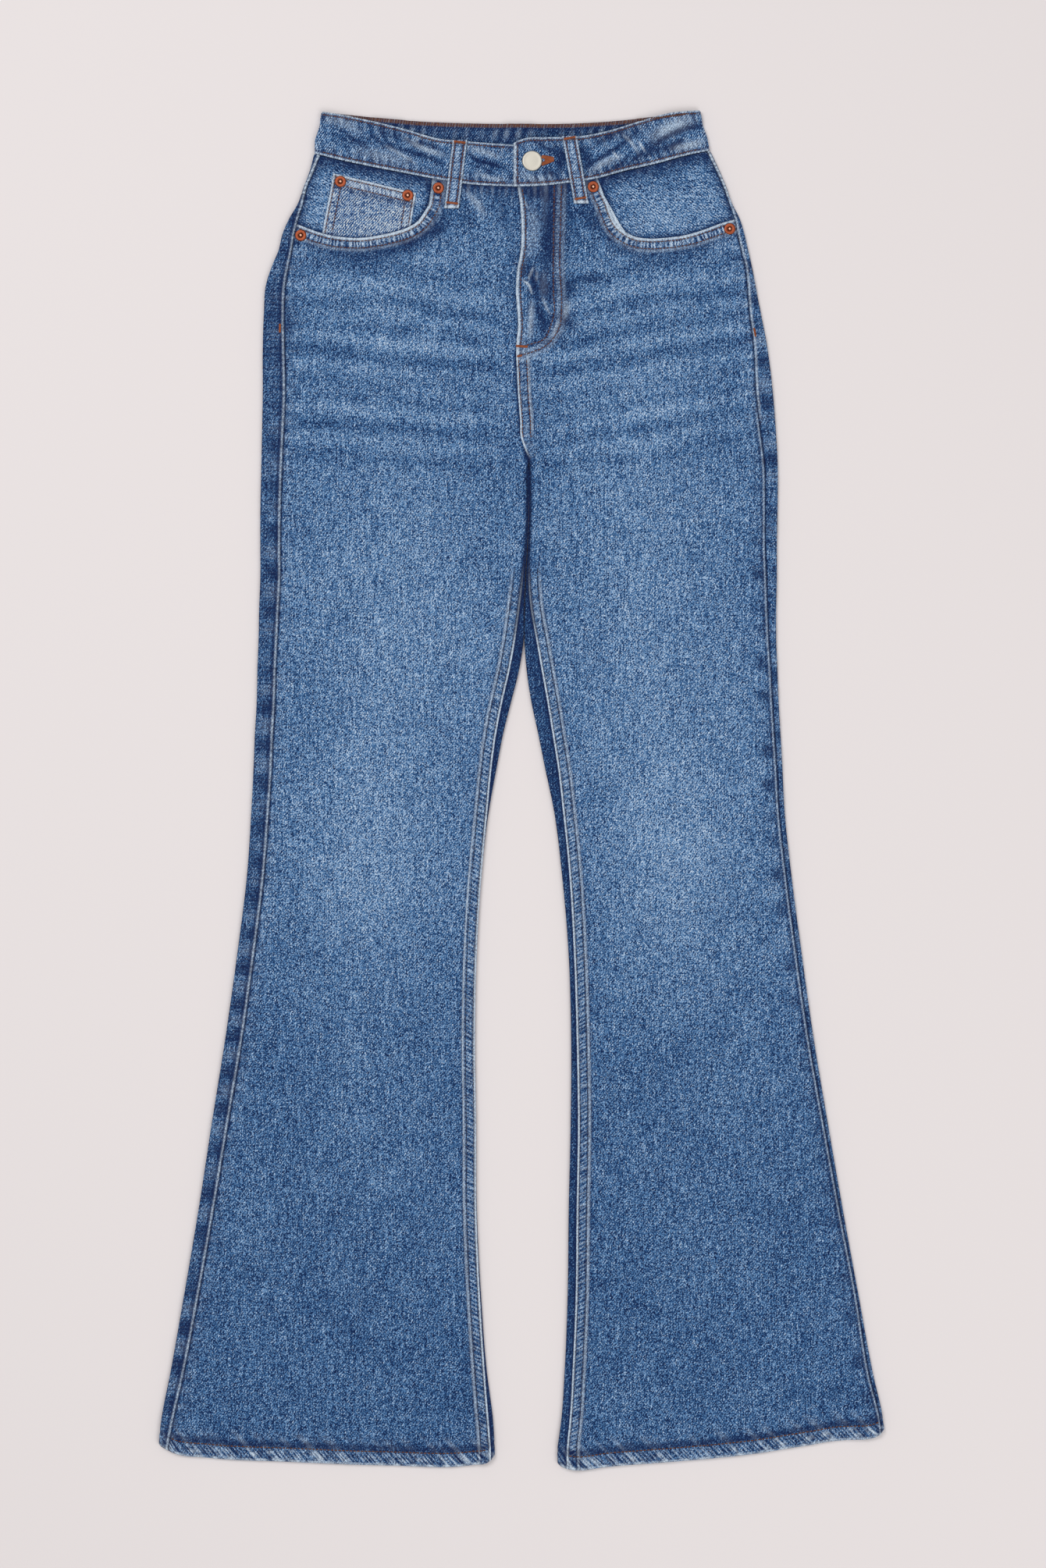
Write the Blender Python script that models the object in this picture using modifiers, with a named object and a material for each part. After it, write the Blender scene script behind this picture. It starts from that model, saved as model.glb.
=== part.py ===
"""Flared jeans laid flat on a surface, front side up.

Lengths are in millimetres until a mesh is made: X to the right as seen from above the front, Y
towards the waist, Z up from the surface. Right and left are the wearer's own, so the right leg
lies at negative X. Each panel is lofted from its named sections as its outer face, and a
Solidify modifier then gives it the wall inwards.
"""

import math

import bpy
import numpy as np
from mathutils import Vector
from mathutils.bvhtree import BVHTree

MM = 0.001
OBJECT_NAME = "flared_jeans"

# Cloth and layers
CLOTH = 1.1
FACING = 1.0
COIN = 1.0
POCKET = 1.0
SHIELD = 1.0
ZIP = 1.0
LOOP = 1.6
BACK_LOOP = 1.2
BAND = 2.0
HEM_WALL = 1.9
SEAM_GAP = 0.4
LAYER_GAP = 0.4
STACK = 2 * CLOTH + 0.3

# Folds at the leg's two sides
FOLD_RADIUS = 2.2
HEM_FOLD_RADIUS = 2.7
FOLD_FLOOR = 5.0
SEAM_EDGE = 0.35
OUTER_SWELL = 34.0
INNER_SWELL = 26.0

# How far the hidden layers lift the front
HIP_RISE = 1.6
HIP_RISE_LOW = 225.0
HIP_RISE_RUN = 40.0
BACK_LOOP_RISE = BACK_LOOP + 0.3
POCKET_RISE = POCKET + 0.3
FELLED_LIFT = 0.8

# Waistband
BAND_TOP = BACK_LOOP_RISE + 2 * BAND + LAYER_GAP
BAND_FOLD_RADIUS = BAND_TOP / 2
OVERLAP_TOP = BAND_TOP + BAND + LAYER_GAP
OVERLAP_END = -6.0
UNDERLAP_END = 21.0
BAND_STEP = 1.0

# Back: yoke seam, patch pocket
YOKE_CENTRE_Y = 452.0
YOKE_SIDE_Y = 497.0
YOKE_SIDE_X = 185.0
POCKET_OUTER_X = 168.0
POCKET_INNER_X = 34.0
POCKET_BELOW_YOKE = 31.0
POCKET_SIDE_BOTTOM = 318.0
POCKET_TIP = 297.0

# Hem and crotch
HEM_DEPTH = 13.0
CROTCH_Y = 277.0
CROTCH_RUN = 15.0
CROTCH_OPENING = 0.8
SCOOP_LEVEL = 437.0
FLY_BOTTOM = 362.0
FACING_UNDER = 15.0

# Fastenings
RIVET_RADIUS = 5.5
BUTTON_RADIUS = 8.5
LOOP_WIDTH = 12.0
LOOP_REACH = (-5.0, -2.5, 0.0, 2.5, 5.0)

# Sections down each leg: the outer and inner edge as it lies, and how far the back panel wraps
# over each fold to its seam, measured along the cloth from the fold's outermost line.
LEG_COLUMNS = ("y", "outer", "side_wrap", "inner", "inseam_wrap")
RIGHT_LEG = (
    (-548.0, -302.0, 10.0, -21.5, 4.8),
    (-525.0, -299.5, 11.8, -23.0, 5.0),
    (-486.0, -292.0, 12.8, -28.0, 3.0),
    (-421.0, -280.5, 13.8, -33.0, 2.2),
    (-350.0, -268.5, 14.3, -36.5, 1.5),
    (-278.0, -257.5, 15.3, -37.0, 1.2),
    (-206.0, -246.0, 15.8, -38.0, 1.0),
    (-135.0, -236.0, 15.8, -36.5, 1.0),
    (-70.0, -228.0, 15.8, -32.5, 1.0),
    (-18.0, -224.5, 16.3, -26.5, 2.4),
    (21.0, -222.5, 16.8, -19.5, 5.6),
    (47.0, -221.5, 16.8, -14.5, 7.0),
    (73.0, -220.0, 16.8, -8.0, 8.5),
    (99.0, -219.5, 17.0, -1.5, 9.0),
    (125.0, -218.5, 17.3, 2.5, 8.2),
    (151.0, -218.0, 18.0, 3.0, 5.0),
    (177.0, -217.0, 18.3, 4.0, 2.8),
    (203.0, -217.0, 18.3, 5.5, 1.5),
    (229.0, -217.0, 18.5, 6.5, 0.8),
    (277.0, -216.0, 19.0, 6.5, 0.2),
    (333.0, -215.0, 20.3, 6.5, 0.2),
    (365.0, -215.0, 19.8, 6.5, 0.2),
    (398.0, -214.0, 18.3, 6.5, 0.2),
    (420.0, -212.5, 17.8, 6.5, 0.2),
    (437.0, -208.0, 15.3, 6.5, 0.2),
    (450.0, -202.5, 12.8, 6.5, 0.2),
    (463.0, -199.5, 11.8, 6.5, 0.2),
    (476.0, -194.0, 9.3, 6.5, 0.2),
    (489.0, -186.5, 5.8, 6.5, 0.2),
    (502.0, -181.0, 4.3, 6.5, 0.2),
    (515.0, -176.0, 4.8, 6.5, 0.2),
    (530.0, -172.0, 6.8, 6.5, 0.2),
)
LEFT_LEG = (
    (-548.0, 304.0, 4.2, 30.0, 9.4),
    (-525.0, 302.0, 4.2, 32.0, 8.8),
    (-486.0, 293.5, 4.5, 34.0, 8.6),
    (-421.0, 281.5, 4.2, 36.0, 8.9),
    (-350.0, 268.5, 4.2, 38.0, 8.5),
    (-278.0, 256.0, 4.4, 39.5, 8.0),
    (-206.0, 244.0, 5.2, 39.5, 6.6),
    (-135.0, 234.0, 5.5, 38.0, 6.3),
    (-70.0, 225.5, 5.6, 33.0, 7.7),
    (-18.0, 220.0, 5.8, 26.5, 9.0),
    (21.0, 218.0, 6.0, 18.5, 12.4),
    (47.0, 216.5, 6.2, 13.5, 13.3),
    (73.0, 215.0, 6.3, 8.0, 14.6),
    (99.0, 214.0, 6.6, 5.0, 13.7),
    (125.0, 213.0, 7.3, 3.8, 11.0),
    (151.0, 213.0, 8.5, 4.2, 6.0),
    (177.0, 213.5, 9.8, 5.5, 2.8),
    (203.0, 213.5, 10.8, 8.0, 1.2),
    (229.0, 214.0, 11.3, 8.8, 0.6),
    (277.0, 214.0, 12.5, 8.0, 0.2),
    (294.0, 213.0, 13.8, 8.0, 0.2),
    (333.0, 210.0, 15.3, 8.0, 0.2),
    (372.0, 205.0, 12.3, 8.0, 0.2),
    (398.0, 200.0, 10.7, 8.0, 0.2),
    (424.0, 195.0, 7.8, 8.0, 0.2),
    (437.0, 192.5, 6.8, 8.0, 0.2),
    (450.0, 189.5, 7.3, 8.0, 0.2),
    (463.0, 186.5, 7.3, 8.0, 0.2),
    (476.0, 182.5, 5.8, 8.0, 0.2),
    (489.0, 176.0, 4.2, 8.0, 0.2),
    (502.0, 171.5, 4.2, 8.0, 0.2),
    (515.0, 166.0, 4.8, 8.0, 0.2),
    (533.0, 157.5, 5.0, 8.0, 0.2),
)

# Edges as they lie, each a row of (x, y)
BAND_TOP_EDGE = {
    "right": (
        (-166.0, 565.0),
        (-147.5, 562.0),
        (-121.5, 556.5),
        (-95.5, 550.0),
        (-69.5, 542.5),
        (-43.5, 540.0),
        (-11.0, 537.5),
        (25.0, 536.0),
    ),
    "left": (
        (-8.0, 536.5),
        (-4.5, 539.0),
        (3.0, 542.0),
        (21.5, 543.0),
        (47.5, 544.0),
        (73.5, 549.0),
        (99.5, 557.0),
        (125.5, 564.0),
        (150.0, 566.0),
    ),
}
BAND_BOTTOM_EDGE = {
    "right": (
        (-172.0, 530.0),
        (-147.5, 524.0),
        (-121.5, 518.5),
        (-95.5, 513.5),
        (-69.5, 508.5),
        (-43.5, 504.5),
        (-6.0, 502.5),
        (25.0, 502.0),
    ),
    "left": (
        (-8.0, 502.0),
        (21.5, 503.0),
        (41.0, 505.5),
        (60.5, 508.5),
        (86.5, 515.5),
        (112.5, 521.5),
        (138.5, 528.5),
        (157.5, 532.5),
    ),
}
BAND_BACK_TOP = (
    (-166.0, 565.0),
    (-147.5, 563.0),
    (-108.5, 559.0),
    (-82.5, 557.0),
    (-43.5, 555.5),
    (0.0, 555.0),
    (47.5, 555.5),
    (73.5, 557.0),
    (112.5, 561.0),
    (150.0, 566.0),
)
BAND_BACK_BOTTOM = (
    (-172.0, 530.0),
    (-160.0, 527.2),
    (-147.5, 525.0),
    (-128.0, 522.7),
    (-108.5, 521.0),
    (-60.0, 519.0),
    (0.0, 518.5),
    (60.0, 519.5),
    (112.5, 524.0),
    (138.5, 528.5),
    (157.5, 532.5),
)
BAND_FOLD_LEVELS = (0.0, 0.33, 0.67, 1.0)
BAND_FOLD_X = {"right": (-166.0, -167.5, -171.5, -172.0), "left": (150.0, 151.5, 155.5, 157.5)}
POCKET_MOUTH = {
    "right": (
        (-183.5, 470.0),
        (-173.5, 466.0),
        (-160.5, 462.0),
        (-147.5, 460.0),
        (-134.5, 459.5),
        (-121.5, 461.0),
        (-108.5, 463.5),
        (-95.5, 467.5),
        (-86.0, 473.0),
        (-80.5, 480.5),
        (-76.5, 487.5),
        (-75.0, 495.5),
        (-74.0, 508.5),
    ),
    "left": (
        (167.5, 472.0),
        (158.0, 468.5),
        (145.0, 464.0),
        (132.0, 461.0),
        (119.0, 459.5),
        (106.0, 459.0),
        (94.0, 461.0),
        (86.5, 465.0),
        (80.0, 471.0),
        (76.0, 479.0),
        (72.0, 490.0),
        (67.0, 500.0),
        (64.5, 508.5),
    ),
}
MOUTH_SIDE_Y = {"right": 471.0, "left": 475.0}
CENTRE_FRONT = (
    (275.5, 7.2),
    (281.0, 4.5),
    (287.5, 2.0),
    (294.0, 0.0),
    (307.0, -0.5),
    (320.0, -1.5),
    (333.0, -2.5),
    (346.0, -3.0),
    (370.0, -3.8),
    (385.0, -2.5),
    (420.0, -4.0),
    (433.0, -3.0),
    (446.0, -0.5),
    (463.0, 0.5),
    (487.0, -0.5),
    (503.0, -3.0),
)
CENTRE_BACK = ((275.0, 7.2), (285.0, 6.0), (300.0, 3.5), (320.0, 1.0), (340.0, 0.0), (520.0, 0.0))
HEM = {
    "right": (
        (-303.0, -545.0),
        (-289.0, -552.5),
        (-261.0, -556.5),
        (-192.0, -560.0),
        (-110.0, -563.0),
        (-40.0, -562.5),
        (-27.0, -560.0),
        (-21.0, -555.0),
    ),
    "left": (
        (30.0, -561.5),
        (37.0, -565.0),
        (48.0, -567.0),
        (69.0, -564.5),
        (125.0, -560.0),
        (169.0, -556.0),
        (202.0, -552.5),
        (225.0, -548.5),
        (295.0, -541.0),
        (304.0, -534.0),
    ),
}

# Rows of points down the hip, each at its height by the side seam and by the centre: the front
# stays level, and the back follows the yoke seam's dip and settles to level at the crotch.
MOUTH_ROWS = (0.0, 0.2, 0.45, 0.7, 1.0)
YOKE_BELOW = (SEAM_GAP / 2, 9.0, 18.0, 30.0)
BACK_TOP_ROWS = ((456.5, 411.5), (447.5, 403.0))
FRONT_HIP_ROWS = (
    (418.0, 418.0),
    (398.0, 398.0),
    (378.0, 380.0),
    (358.0, 363.0),
    (338.0, 348.0),
    (318.0, 326.0),
    (302.0, 304.0),
    (290.0, 290.0),
)
BACK_HIP_ROWS = (
    (437.0, 394.0),
    (418.0, 380.0),
    (398.0, 364.0),
    (378.0, 348.0),
    (358.0, 333.0),
    (338.0, 320.0),
    (318.0, 308.0),
    (302.0, 296.0),
    (290.0, 288.0),
)
LEG_ROWS = (281.0, 272.0, 262.0, 245.0, 220.0, 192.0, 165.0, 138.0, 110.0, 75.0, 35.0)
SHIN_ROWS = (-20.0, -90.0, -170.0, -250.0, -340.0, -420.0, -480.0)
HEM_ROWS = (38.0, HEM_DEPTH + 3.0, HEM_DEPTH, 0.0)
YOKE_ROWS = (0.4, 12.0, 24.0)

# Columns of points across: from each seam inwards, then over the middle
SIDE_OFFSETS = np.array((0.0, 1.0, 4.0, 9.0))
CENTRE_OFFSETS = np.array((45.0, 31.0, 12.0, 9.5, 6.0, 3.4, 1.5, SEAM_EDGE, 0.0))
MOUTH_SHARES = np.array((0.2, 0.38, 0.52, 0.64, 0.76, 0.88, 1.0))
FRONT_MID = 9
HIP_FLOOR_X = np.array((180.0, 170.0, 32.0, 20.0))
YOKE_FLOOR_X = np.array((150.0, 128.0, 105.0, 50.0))
HIP_FLOOR_ROOM = np.array((1.5, 10.0, 30.0, 40.0))
LEG_FLOOR_SHARE = np.array((0.12, 0.35, 0.65, 0.88))
FOLD_COLUMN_COUNT = 8

# Soft ridges and troughs pressed into the front: middle, half length, half width, turn, height
FOLD_COLUMNS = ("x", "y", "half_length", "half_width", "turn", "height")
FRONT_FOLDS = (
    (-40.0, 300.0, 60.0, 9.0, 25.0, 0.9),
    (-70.0, 262.0, 70.0, 10.0, 12.0, 0.8),
    (52.0, 304.0, 60.0, 9.0, -24.0, 0.9),
    (80.0, 262.0, 70.0, 10.0, -12.0, 0.8),
    (-120.0, 60.0, 80.0, 12.0, 4.0, 0.7),
    (110.0, 40.0, 80.0, 12.0, -5.0, 0.7),
    (-150.0, -420.0, 16.0, 90.0, 8.0, 0.9),
    (-90.0, -440.0, 14.0, 80.0, 2.0, 0.8),
    (150.0, -430.0, 16.0, 90.0, -8.0, 0.9),
    (215.0, -440.0, 14.0, 80.0, -12.0, 0.8),
)

MATERIALS = {
    "denim": ((0.075, 0.16, 0.31), 0.88, 0.0),
    "denim_worn": ((0.12, 0.22, 0.38), 0.88, 0.0),
    "denim_dark": ((0.045, 0.1, 0.21), 0.9, 0.0),
    "zip_tape": ((0.03, 0.05, 0.1), 0.8, 0.0),
    "button_metal": ((0.6, 0.58, 0.55), 0.35, 1.0),
    "rivet_copper": ((0.52, 0.2, 0.11), 0.4, 1.0),
}


def ease(share):
    """Smooth step from 0 to 1."""
    share = np.clip(share, 0.0, 1.0)
    return share * share * (3.0 - 2.0 * share)


def smooth(at, known, values):
    """Cubic curve through the known values, with slopes taken from their neighbours."""
    known = np.asarray(known, float)
    values = np.asarray(values, float)
    slope = np.gradient(values, known)
    at = np.clip(at, known[0], known[-1])
    low = np.clip(np.searchsorted(known, at) - 1, 0, len(known) - 2)
    step = known[low + 1] - known[low]
    t = (at - known[low]) / step
    start = values[low] * (1 + 2 * t) * (1 - t) ** 2 + slope[low] * step * t * (1 - t) ** 2
    end = values[low + 1] * t**2 * (3 - 2 * t) + slope[low + 1] * step * t**2 * (t - 1)
    return start + end


def edge_y(edge, x):
    """Height on the page of an edge given as (x, y) rows."""
    table = np.array(edge)
    return smooth(x, table[:, 0], table[:, 1])


def line_x(line, y):
    """Place across the page of a line given as (y, x) rows."""
    table = np.array(line)
    return smooth(y, table[:, 0], table[:, 1])


def resample(points, lengths):
    """Points at the given lengths along a smooth curve through the points."""
    points = np.array(points, float)
    steps = np.hypot(*np.diff(points, axis=0).T)
    along = np.concatenate([[0.0], np.cumsum(steps)])
    return np.stack([smooth(lengths, along, points[:, 0]), smooth(lengths, along, points[:, 1])], -1)


def curve_length(points):
    """Length of the run of points."""
    return float(np.hypot(*np.diff(np.array(points, float), axis=0).T).sum())


class Side:
    """One leg with its half of the hip: its sections and where each layer lies."""

    def __init__(self, name):
        self.name = name
        self.inward = 1.0 if name == "right" else -1.0
        self.sections = np.array(RIGHT_LEG if name == "right" else LEFT_LEG)
        self.hem = HEM[name]
        self.band_bottom = BAND_BOTTOM_EDGE[name]

    def read(self, column, y):
        """A section value at this height on the page."""
        return smooth(y, self.sections[:, 0], self.sections[:, LEG_COLUMNS.index(column)])

    def hem_share(self, x, y):
        """0 up the leg, 1 at the hem's upper edge."""
        return ease((edge_y(self.hem, x) + 55.0 - y) / 42.0)

    def fold_radius(self, x, y):
        return FOLD_RADIUS + (HEM_FOLD_RADIUS - FOLD_RADIUS) * self.hem_share(x, y)

    def hip_rise(self, y):
        return HIP_RISE * ease((y - HIP_RISE_LOW) / HIP_RISE_RUN)

    def stack(self, x, y):
        """Top of the front where it lies plainly on the back."""
        hem_extra = 2.0 * (HEM_WALL - CLOTH) * self.hem_share(x, y)
        return STACK + self.hip_rise(y) + hem_extra

    def opened(self, y):
        """0 above the crotch, where the legs join, to 1 below it, where the inner fold is whole."""
        return ease((CROTCH_Y - y) / CROTCH_RUN)

    def inseam_opening(self, y):
        """Half the space at the inseam, which widens where the four seams meet at the crotch."""
        return SEAM_GAP / 2.0 + CROTCH_OPENING * ease((y - 165.0) / 45.0)

    def level(self, x, y):
        """Top of the front with the swell beside the folds."""
        radius = self.fold_radius(x, y)
        base = self.stack(x, y)
        from_outer = (x - self.read("outer", y)) * self.inward - radius
        from_inner = (self.read("inner", y) - x) * self.inward - radius
        near_inner = ease(1.0 - from_inner / INNER_SWELL) * ease((335.0 - y) / 60.0)
        near = np.maximum(ease(1.0 - from_outer / OUTER_SWELL), near_inner)
        return base + (2.0 * radius - base) * near

    def band_top(self, x):
        """Top of the waistband's front half, which climbs on to the underlap on the left."""
        if self.name == "right":
            return np.full_like(np.asarray(x, float), BAND_TOP)
        return BAND_TOP + (OVERLAP_TOP - BAND_TOP) * ease((60.0 - x) / 35.0)

    def band_lift(self, x, y):
        below = edge_y(self.band_bottom, x) - y
        return (self.band_top(x) - BAND_STEP - STACK - HIP_RISE) * ease(1.0 - below / 14.0)

    def mouth_distance(self, x, y):
        """Distance to the pocket mouth, for points on the front panel."""
        mouth = np.array(mouth_points(self))
        dense = resample(mouth, np.linspace(0.0, curve_length(mouth), 60))
        gap = np.hypot(np.asarray(x)[..., None] - dense[:, 0], np.asarray(y)[..., None] - dense[:, 1])
        return gap.min(axis=-1)

    def mouth_lift(self, x, y):
        """The facing and the coin pocket under the front raise it along the pocket mouth."""
        away = self.mouth_distance(x, y)
        lift = (FACING + LAYER_GAP) * ease(1.0 - (away - 20.0) / 16.0)
        if self.name == "right":
            across = ease((x + 186.0) / 14.0) * ease((-72.0 - x) / 12.0)
            lift = lift + (COIN + LAYER_GAP) * across * ease(1.0 - (away - 12.0) / 14.0)
        return lift

    def fly_lift(self, x, y):
        """The shield, the zip and the right front's edge under the fly."""
        if self.name == "right":
            return (SHIELD + LAYER_GAP) * ease((x + 41.0) / 14.0) * ease((y - 348.0) / 14.0)
        high = SHIELD + CLOTH + 2.0 * LAYER_GAP
        return high * ease((45.0 - x) / 14.0) * ease((y - 348.0) / 14.0)

    def felled_lift(self, x, y):
        """The folded seam allowance along the inseam, and along the left front's centre seam."""
        wrap = self.read("inseam_wrap", y)
        radius = FOLD_RADIUS
        edge = self.read("inner", y) - self.inward * fold_across(wrap, radius)
        away = (edge - x) * self.inward
        below = FELLED_LIFT * ease((11.9 - away) / 2.3) * ease((200.0 - y) / 25.0)
        if self.name == "right":
            return below
        across = x - line_x(CENTRE_FRONT, y)
        above = FELLED_LIFT * ease((11.9 - across) / 2.3) * ease((y - 270.0) / 20.0)
        return np.maximum(below, above)

    def front_top(self, x, y):
        """Top of the front panel, with every layer below it."""
        lift = np.maximum(self.mouth_lift(x, y), self.fly_lift(x, y))
        lift = np.maximum(lift, self.band_lift(x, y))
        lift = np.maximum(lift, self.felled_lift(x, y))
        return self.level(x, y) + lift + pressed_folds(x, y)

    def facing_top(self, x, y):
        return self.level(x, y) - CLOTH + FACING

    def yoke_rise(self, x, y):
        """How far the back stands off the surface where it meets the waistband."""
        below = edge_y(BAND_BACK_BOTTOM, x) - y
        return BACK_LOOP_RISE * np.clip((24.0 - below) / 12.0, 0.0, 1.0)

    def pocket_rise(self, x, y):
        """How far the back stands off the surface over the patch pocket."""
        across = np.abs(x)
        reach = np.minimum(181.0, np.abs(self.read("outer", y)) - FOLD_RADIUS - FOLD_FLOOR)
        sideways = np.minimum((reach - across) / (reach - 171.0), (across - 20.0) / 12.0)
        below = yoke_y(x) - y
        downward = np.minimum((below - 18.0) / 12.0, (y - 282.0) / 14.0)
        return POCKET_RISE * np.clip(sideways, 0.0, 1.0) * np.clip(downward, 0.0, 1.0)


def pressed_folds(x, y):
    """Soft ridges of the fold table, each a bump that fades at its ends and sides."""
    height = np.zeros(np.broadcast(x, y).shape)
    for row in FRONT_FOLDS:
        fold = dict(zip(FOLD_COLUMNS, row))
        turn = math.radians(fold["turn"])
        along = (x - fold["x"]) * math.cos(turn) + (y - fold["y"]) * math.sin(turn)
        across = (y - fold["y"]) * math.cos(turn) - (x - fold["x"]) * math.sin(turn)
        away = np.hypot(along / fold["half_length"], across / fold["half_width"])
        height = height + fold["height"] * ease(1.0 - away)
    return height


def fold_across(wrap, radius):
    """Distance in from the fold's outermost line, for a length of cloth wrapped over it."""
    quarter = math.pi * radius / 2.0
    turn = np.clip(wrap / radius, -math.pi / 2.0, math.pi / 2.0)
    return radius * (1.0 - np.cos(turn)) + np.maximum(np.abs(wrap) - quarter, 0.0)


def fold_share(wrap, radius):
    """Height on the fold, from 0 at the surface to 1 at the top."""
    turn = np.clip(wrap / radius, -math.pi / 2.0, math.pi / 2.0)
    return (1.0 + np.sin(turn)) / 2.0


def fold_wraps(seam_wrap, radius, opening):
    """Wrap lengths from the seam, over the fold, to the flat cloth on the surface.

    Each argument holds one value for each of the eight columns.
    """
    quarter = math.pi * radius / 2.0
    end = seam_wrap - opening
    over = np.minimum(quarter, end - 1.0)
    turn = [over - (over + quarter) * step / 4.0 for step in range(5)]
    table = np.array([end, end - SEAM_EDGE, *turn, -quarter - FOLD_FLOOR])
    return np.diagonal(table)


def side_seam_x(side, y, shift=0.0):
    """Side seam on the page; shift is cloth past the seam, towards the front's middle."""
    wrap = side.read("side_wrap", y) + shift
    x_edge = side.read("outer", y)
    return x_edge + side.inward * fold_across(wrap, side.fold_radius(x_edge, y))


def mouth_points(side):
    """The pocket mouth from the side seam to the waistband."""
    start_y = MOUTH_SIDE_Y[side.name]
    start = (float(side_seam_x(side, start_y, SEAM_GAP / 2.0)), start_y)
    return [start, *POCKET_MOUTH[side.name]]


def yoke_y(x):
    """The yoke seam, which dips from the sides to the centre back."""
    return YOKE_CENTRE_Y + (YOKE_SIDE_Y - YOKE_CENTRE_Y) * np.minimum(np.abs(x) / YOKE_SIDE_X, 1.05)


def front_end_x(side, y):
    """The front's centre edge: the fly on the left, the edge that it covers on the right."""
    line = line_x(CENTRE_FRONT, y)
    if side.name == "left":
        return line + SEAM_GAP / 2.0
    return line - SEAM_GAP / 2.0 + (8.0 + SEAM_GAP / 2.0) * ease((y - FLY_BOTTOM) / 14.0)


def row_height(row, x, side):
    """Height on the page of a row: a slant, or an offset from the hem, the yoke or the band."""
    kind, value = row
    if kind == "hem":
        return edge_y(side.hem, x) + value
    if kind == "yoke":
        return yoke_y(x) - value
    if kind == "band":
        return edge_y(BAND_BACK_BOTTOM, x) - SEAM_GAP - value
    by_side, by_centre = value
    share = np.minimum(np.abs(x) / abs(side.read("outer", by_side)), 1.0)
    return by_centre + (by_side - by_centre) * share


def settled(row, side, columns, count):
    """Points of a row in columns whose places depend on the points' own heights."""
    start = {"hem": -540.0, "yoke": 480.0, "band": 520.0}.get(row[0]) or row[1][0]
    y = np.full(count, start)
    for _ in range(8):
        x, share = columns(side, y)
        y = row_height(row, x, side)
    return np.stack([x, y, share], -1)


def front_side_columns(side, y):
    """The front's columns inwards from the side seam."""
    edge = side.read("outer", y)
    radius = side.fold_radius(edge, y)
    wrap = side.read("side_wrap", y) + SEAM_GAP / 2.0 + SIDE_OFFSETS
    return edge + side.inward * fold_across(wrap, radius), fold_share(wrap, radius)


def front_centre_columns(side, y):
    """The front's columns out to its centre edge or, below the crotch, to the inseam."""
    edge = side.read("inner", y)
    opened = side.opened(y)
    radius = side.fold_radius(edge, y)
    wrap = side.read("inseam_wrap", y) + side.inseam_opening(y) + CENTRE_OFFSETS
    round_x = edge - side.inward * fold_across(wrap, radius)
    flat_x = front_end_x(side, y) - side.inward * CENTRE_OFFSETS
    share = 1.0 + (fold_share(wrap, radius) - 1.0) * opened
    return flat_x + (round_x - flat_x) * opened, share


def back_side_columns(side, y):
    """The back's columns from the side seam, round the fold, on to the surface."""
    edge = side.read("outer", y)
    radius = side.fold_radius(edge, y)
    wrap = fold_wraps(side.read("side_wrap", y), radius, SEAM_GAP / 2.0)
    return edge + side.inward * fold_across(wrap, radius), fold_share(wrap, radius)


def back_centre_columns(side, y):
    """The back's columns to its centre seam or, below the crotch, round the fold to the inseam."""
    y = y[::-1]
    edge = side.read("inner", y)
    opened = side.opened(y)
    radius = side.fold_radius(edge, y)
    wrap = fold_wraps(side.read("inseam_wrap", y), radius, side.inseam_opening(y))
    round_x = edge - side.inward * fold_across(wrap, radius)
    flat_x = line_x(CENTRE_BACK, y) - side.inward * (SEAM_GAP / 2.0 + wrap[0] - wrap)
    x = flat_x + (round_x - flat_x) * opened
    share = fold_share(wrap, radius) * opened
    return x[::-1], share[::-1]


def leg_rows():
    """Rows from the crotch down, which the front and the back share."""
    rows = [("slant", (y, y)) for y in LEG_ROWS + SHIN_ROWS]
    return rows + [("hem", value) for value in HEM_ROWS]


def front_row(side, row, mouth_shares):
    """One row of the front: points on the page and their share of the top's height.

    mouth_shares places the middle columns as at the pocket mouth, which is followed near it.
    """
    outer = settled(row, side, front_side_columns, len(SIDE_OFFSETS))
    inner = settled(row, side, front_centre_columns, len(CENTRE_OFFSETS))
    even = np.linspace(0.0, 1.0, FRONT_MID + 2)[1:-1]
    follow = 0.8 * ease((outer[0, 1] - 370.0) / 70.0)
    x = outer[-1, 0] + (inner[0, 0] - outer[-1, 0]) * (even + (mouth_shares - even) * follow)
    middle = np.stack([x, row_height(row, x, side), np.ones(FRONT_MID)], -1)
    return np.concatenate([outer, middle, inner])


def front_top_row(side):
    """The front's upper edge: the pocket mouth, then the waistband seam to the centre."""
    mouth = mouth_points(side)
    end_x = float(front_end_x(side, 502.0))
    seam_x = np.linspace(mouth[-1][0], end_x, 8)[1:]
    seam = [(x, float(edge_y(side.band_bottom, x)) - SEAM_GAP) for x in seam_x]
    points = mouth + seam
    centre = curve_length(points) - CENTRE_OFFSETS
    corner = curve_length(mouth)
    over_mouth = SIDE_OFFSETS[-1] + (corner - SIDE_OFFSETS[-1]) * MOUTH_SHARES
    beyond = np.linspace(corner, centre[0], FRONT_MID - len(MOUTH_SHARES) + 2)[1:-1]
    on_edge = resample(points, np.concatenate([SIDE_OFFSETS, over_mouth, beyond, centre]))
    on_edge[:, 1] = np.minimum(on_edge[:, 1], edge_y(side.band_bottom, on_edge[:, 0]) - SEAM_GAP)
    return np.column_stack([on_edge, np.ones(len(on_edge))])


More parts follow.
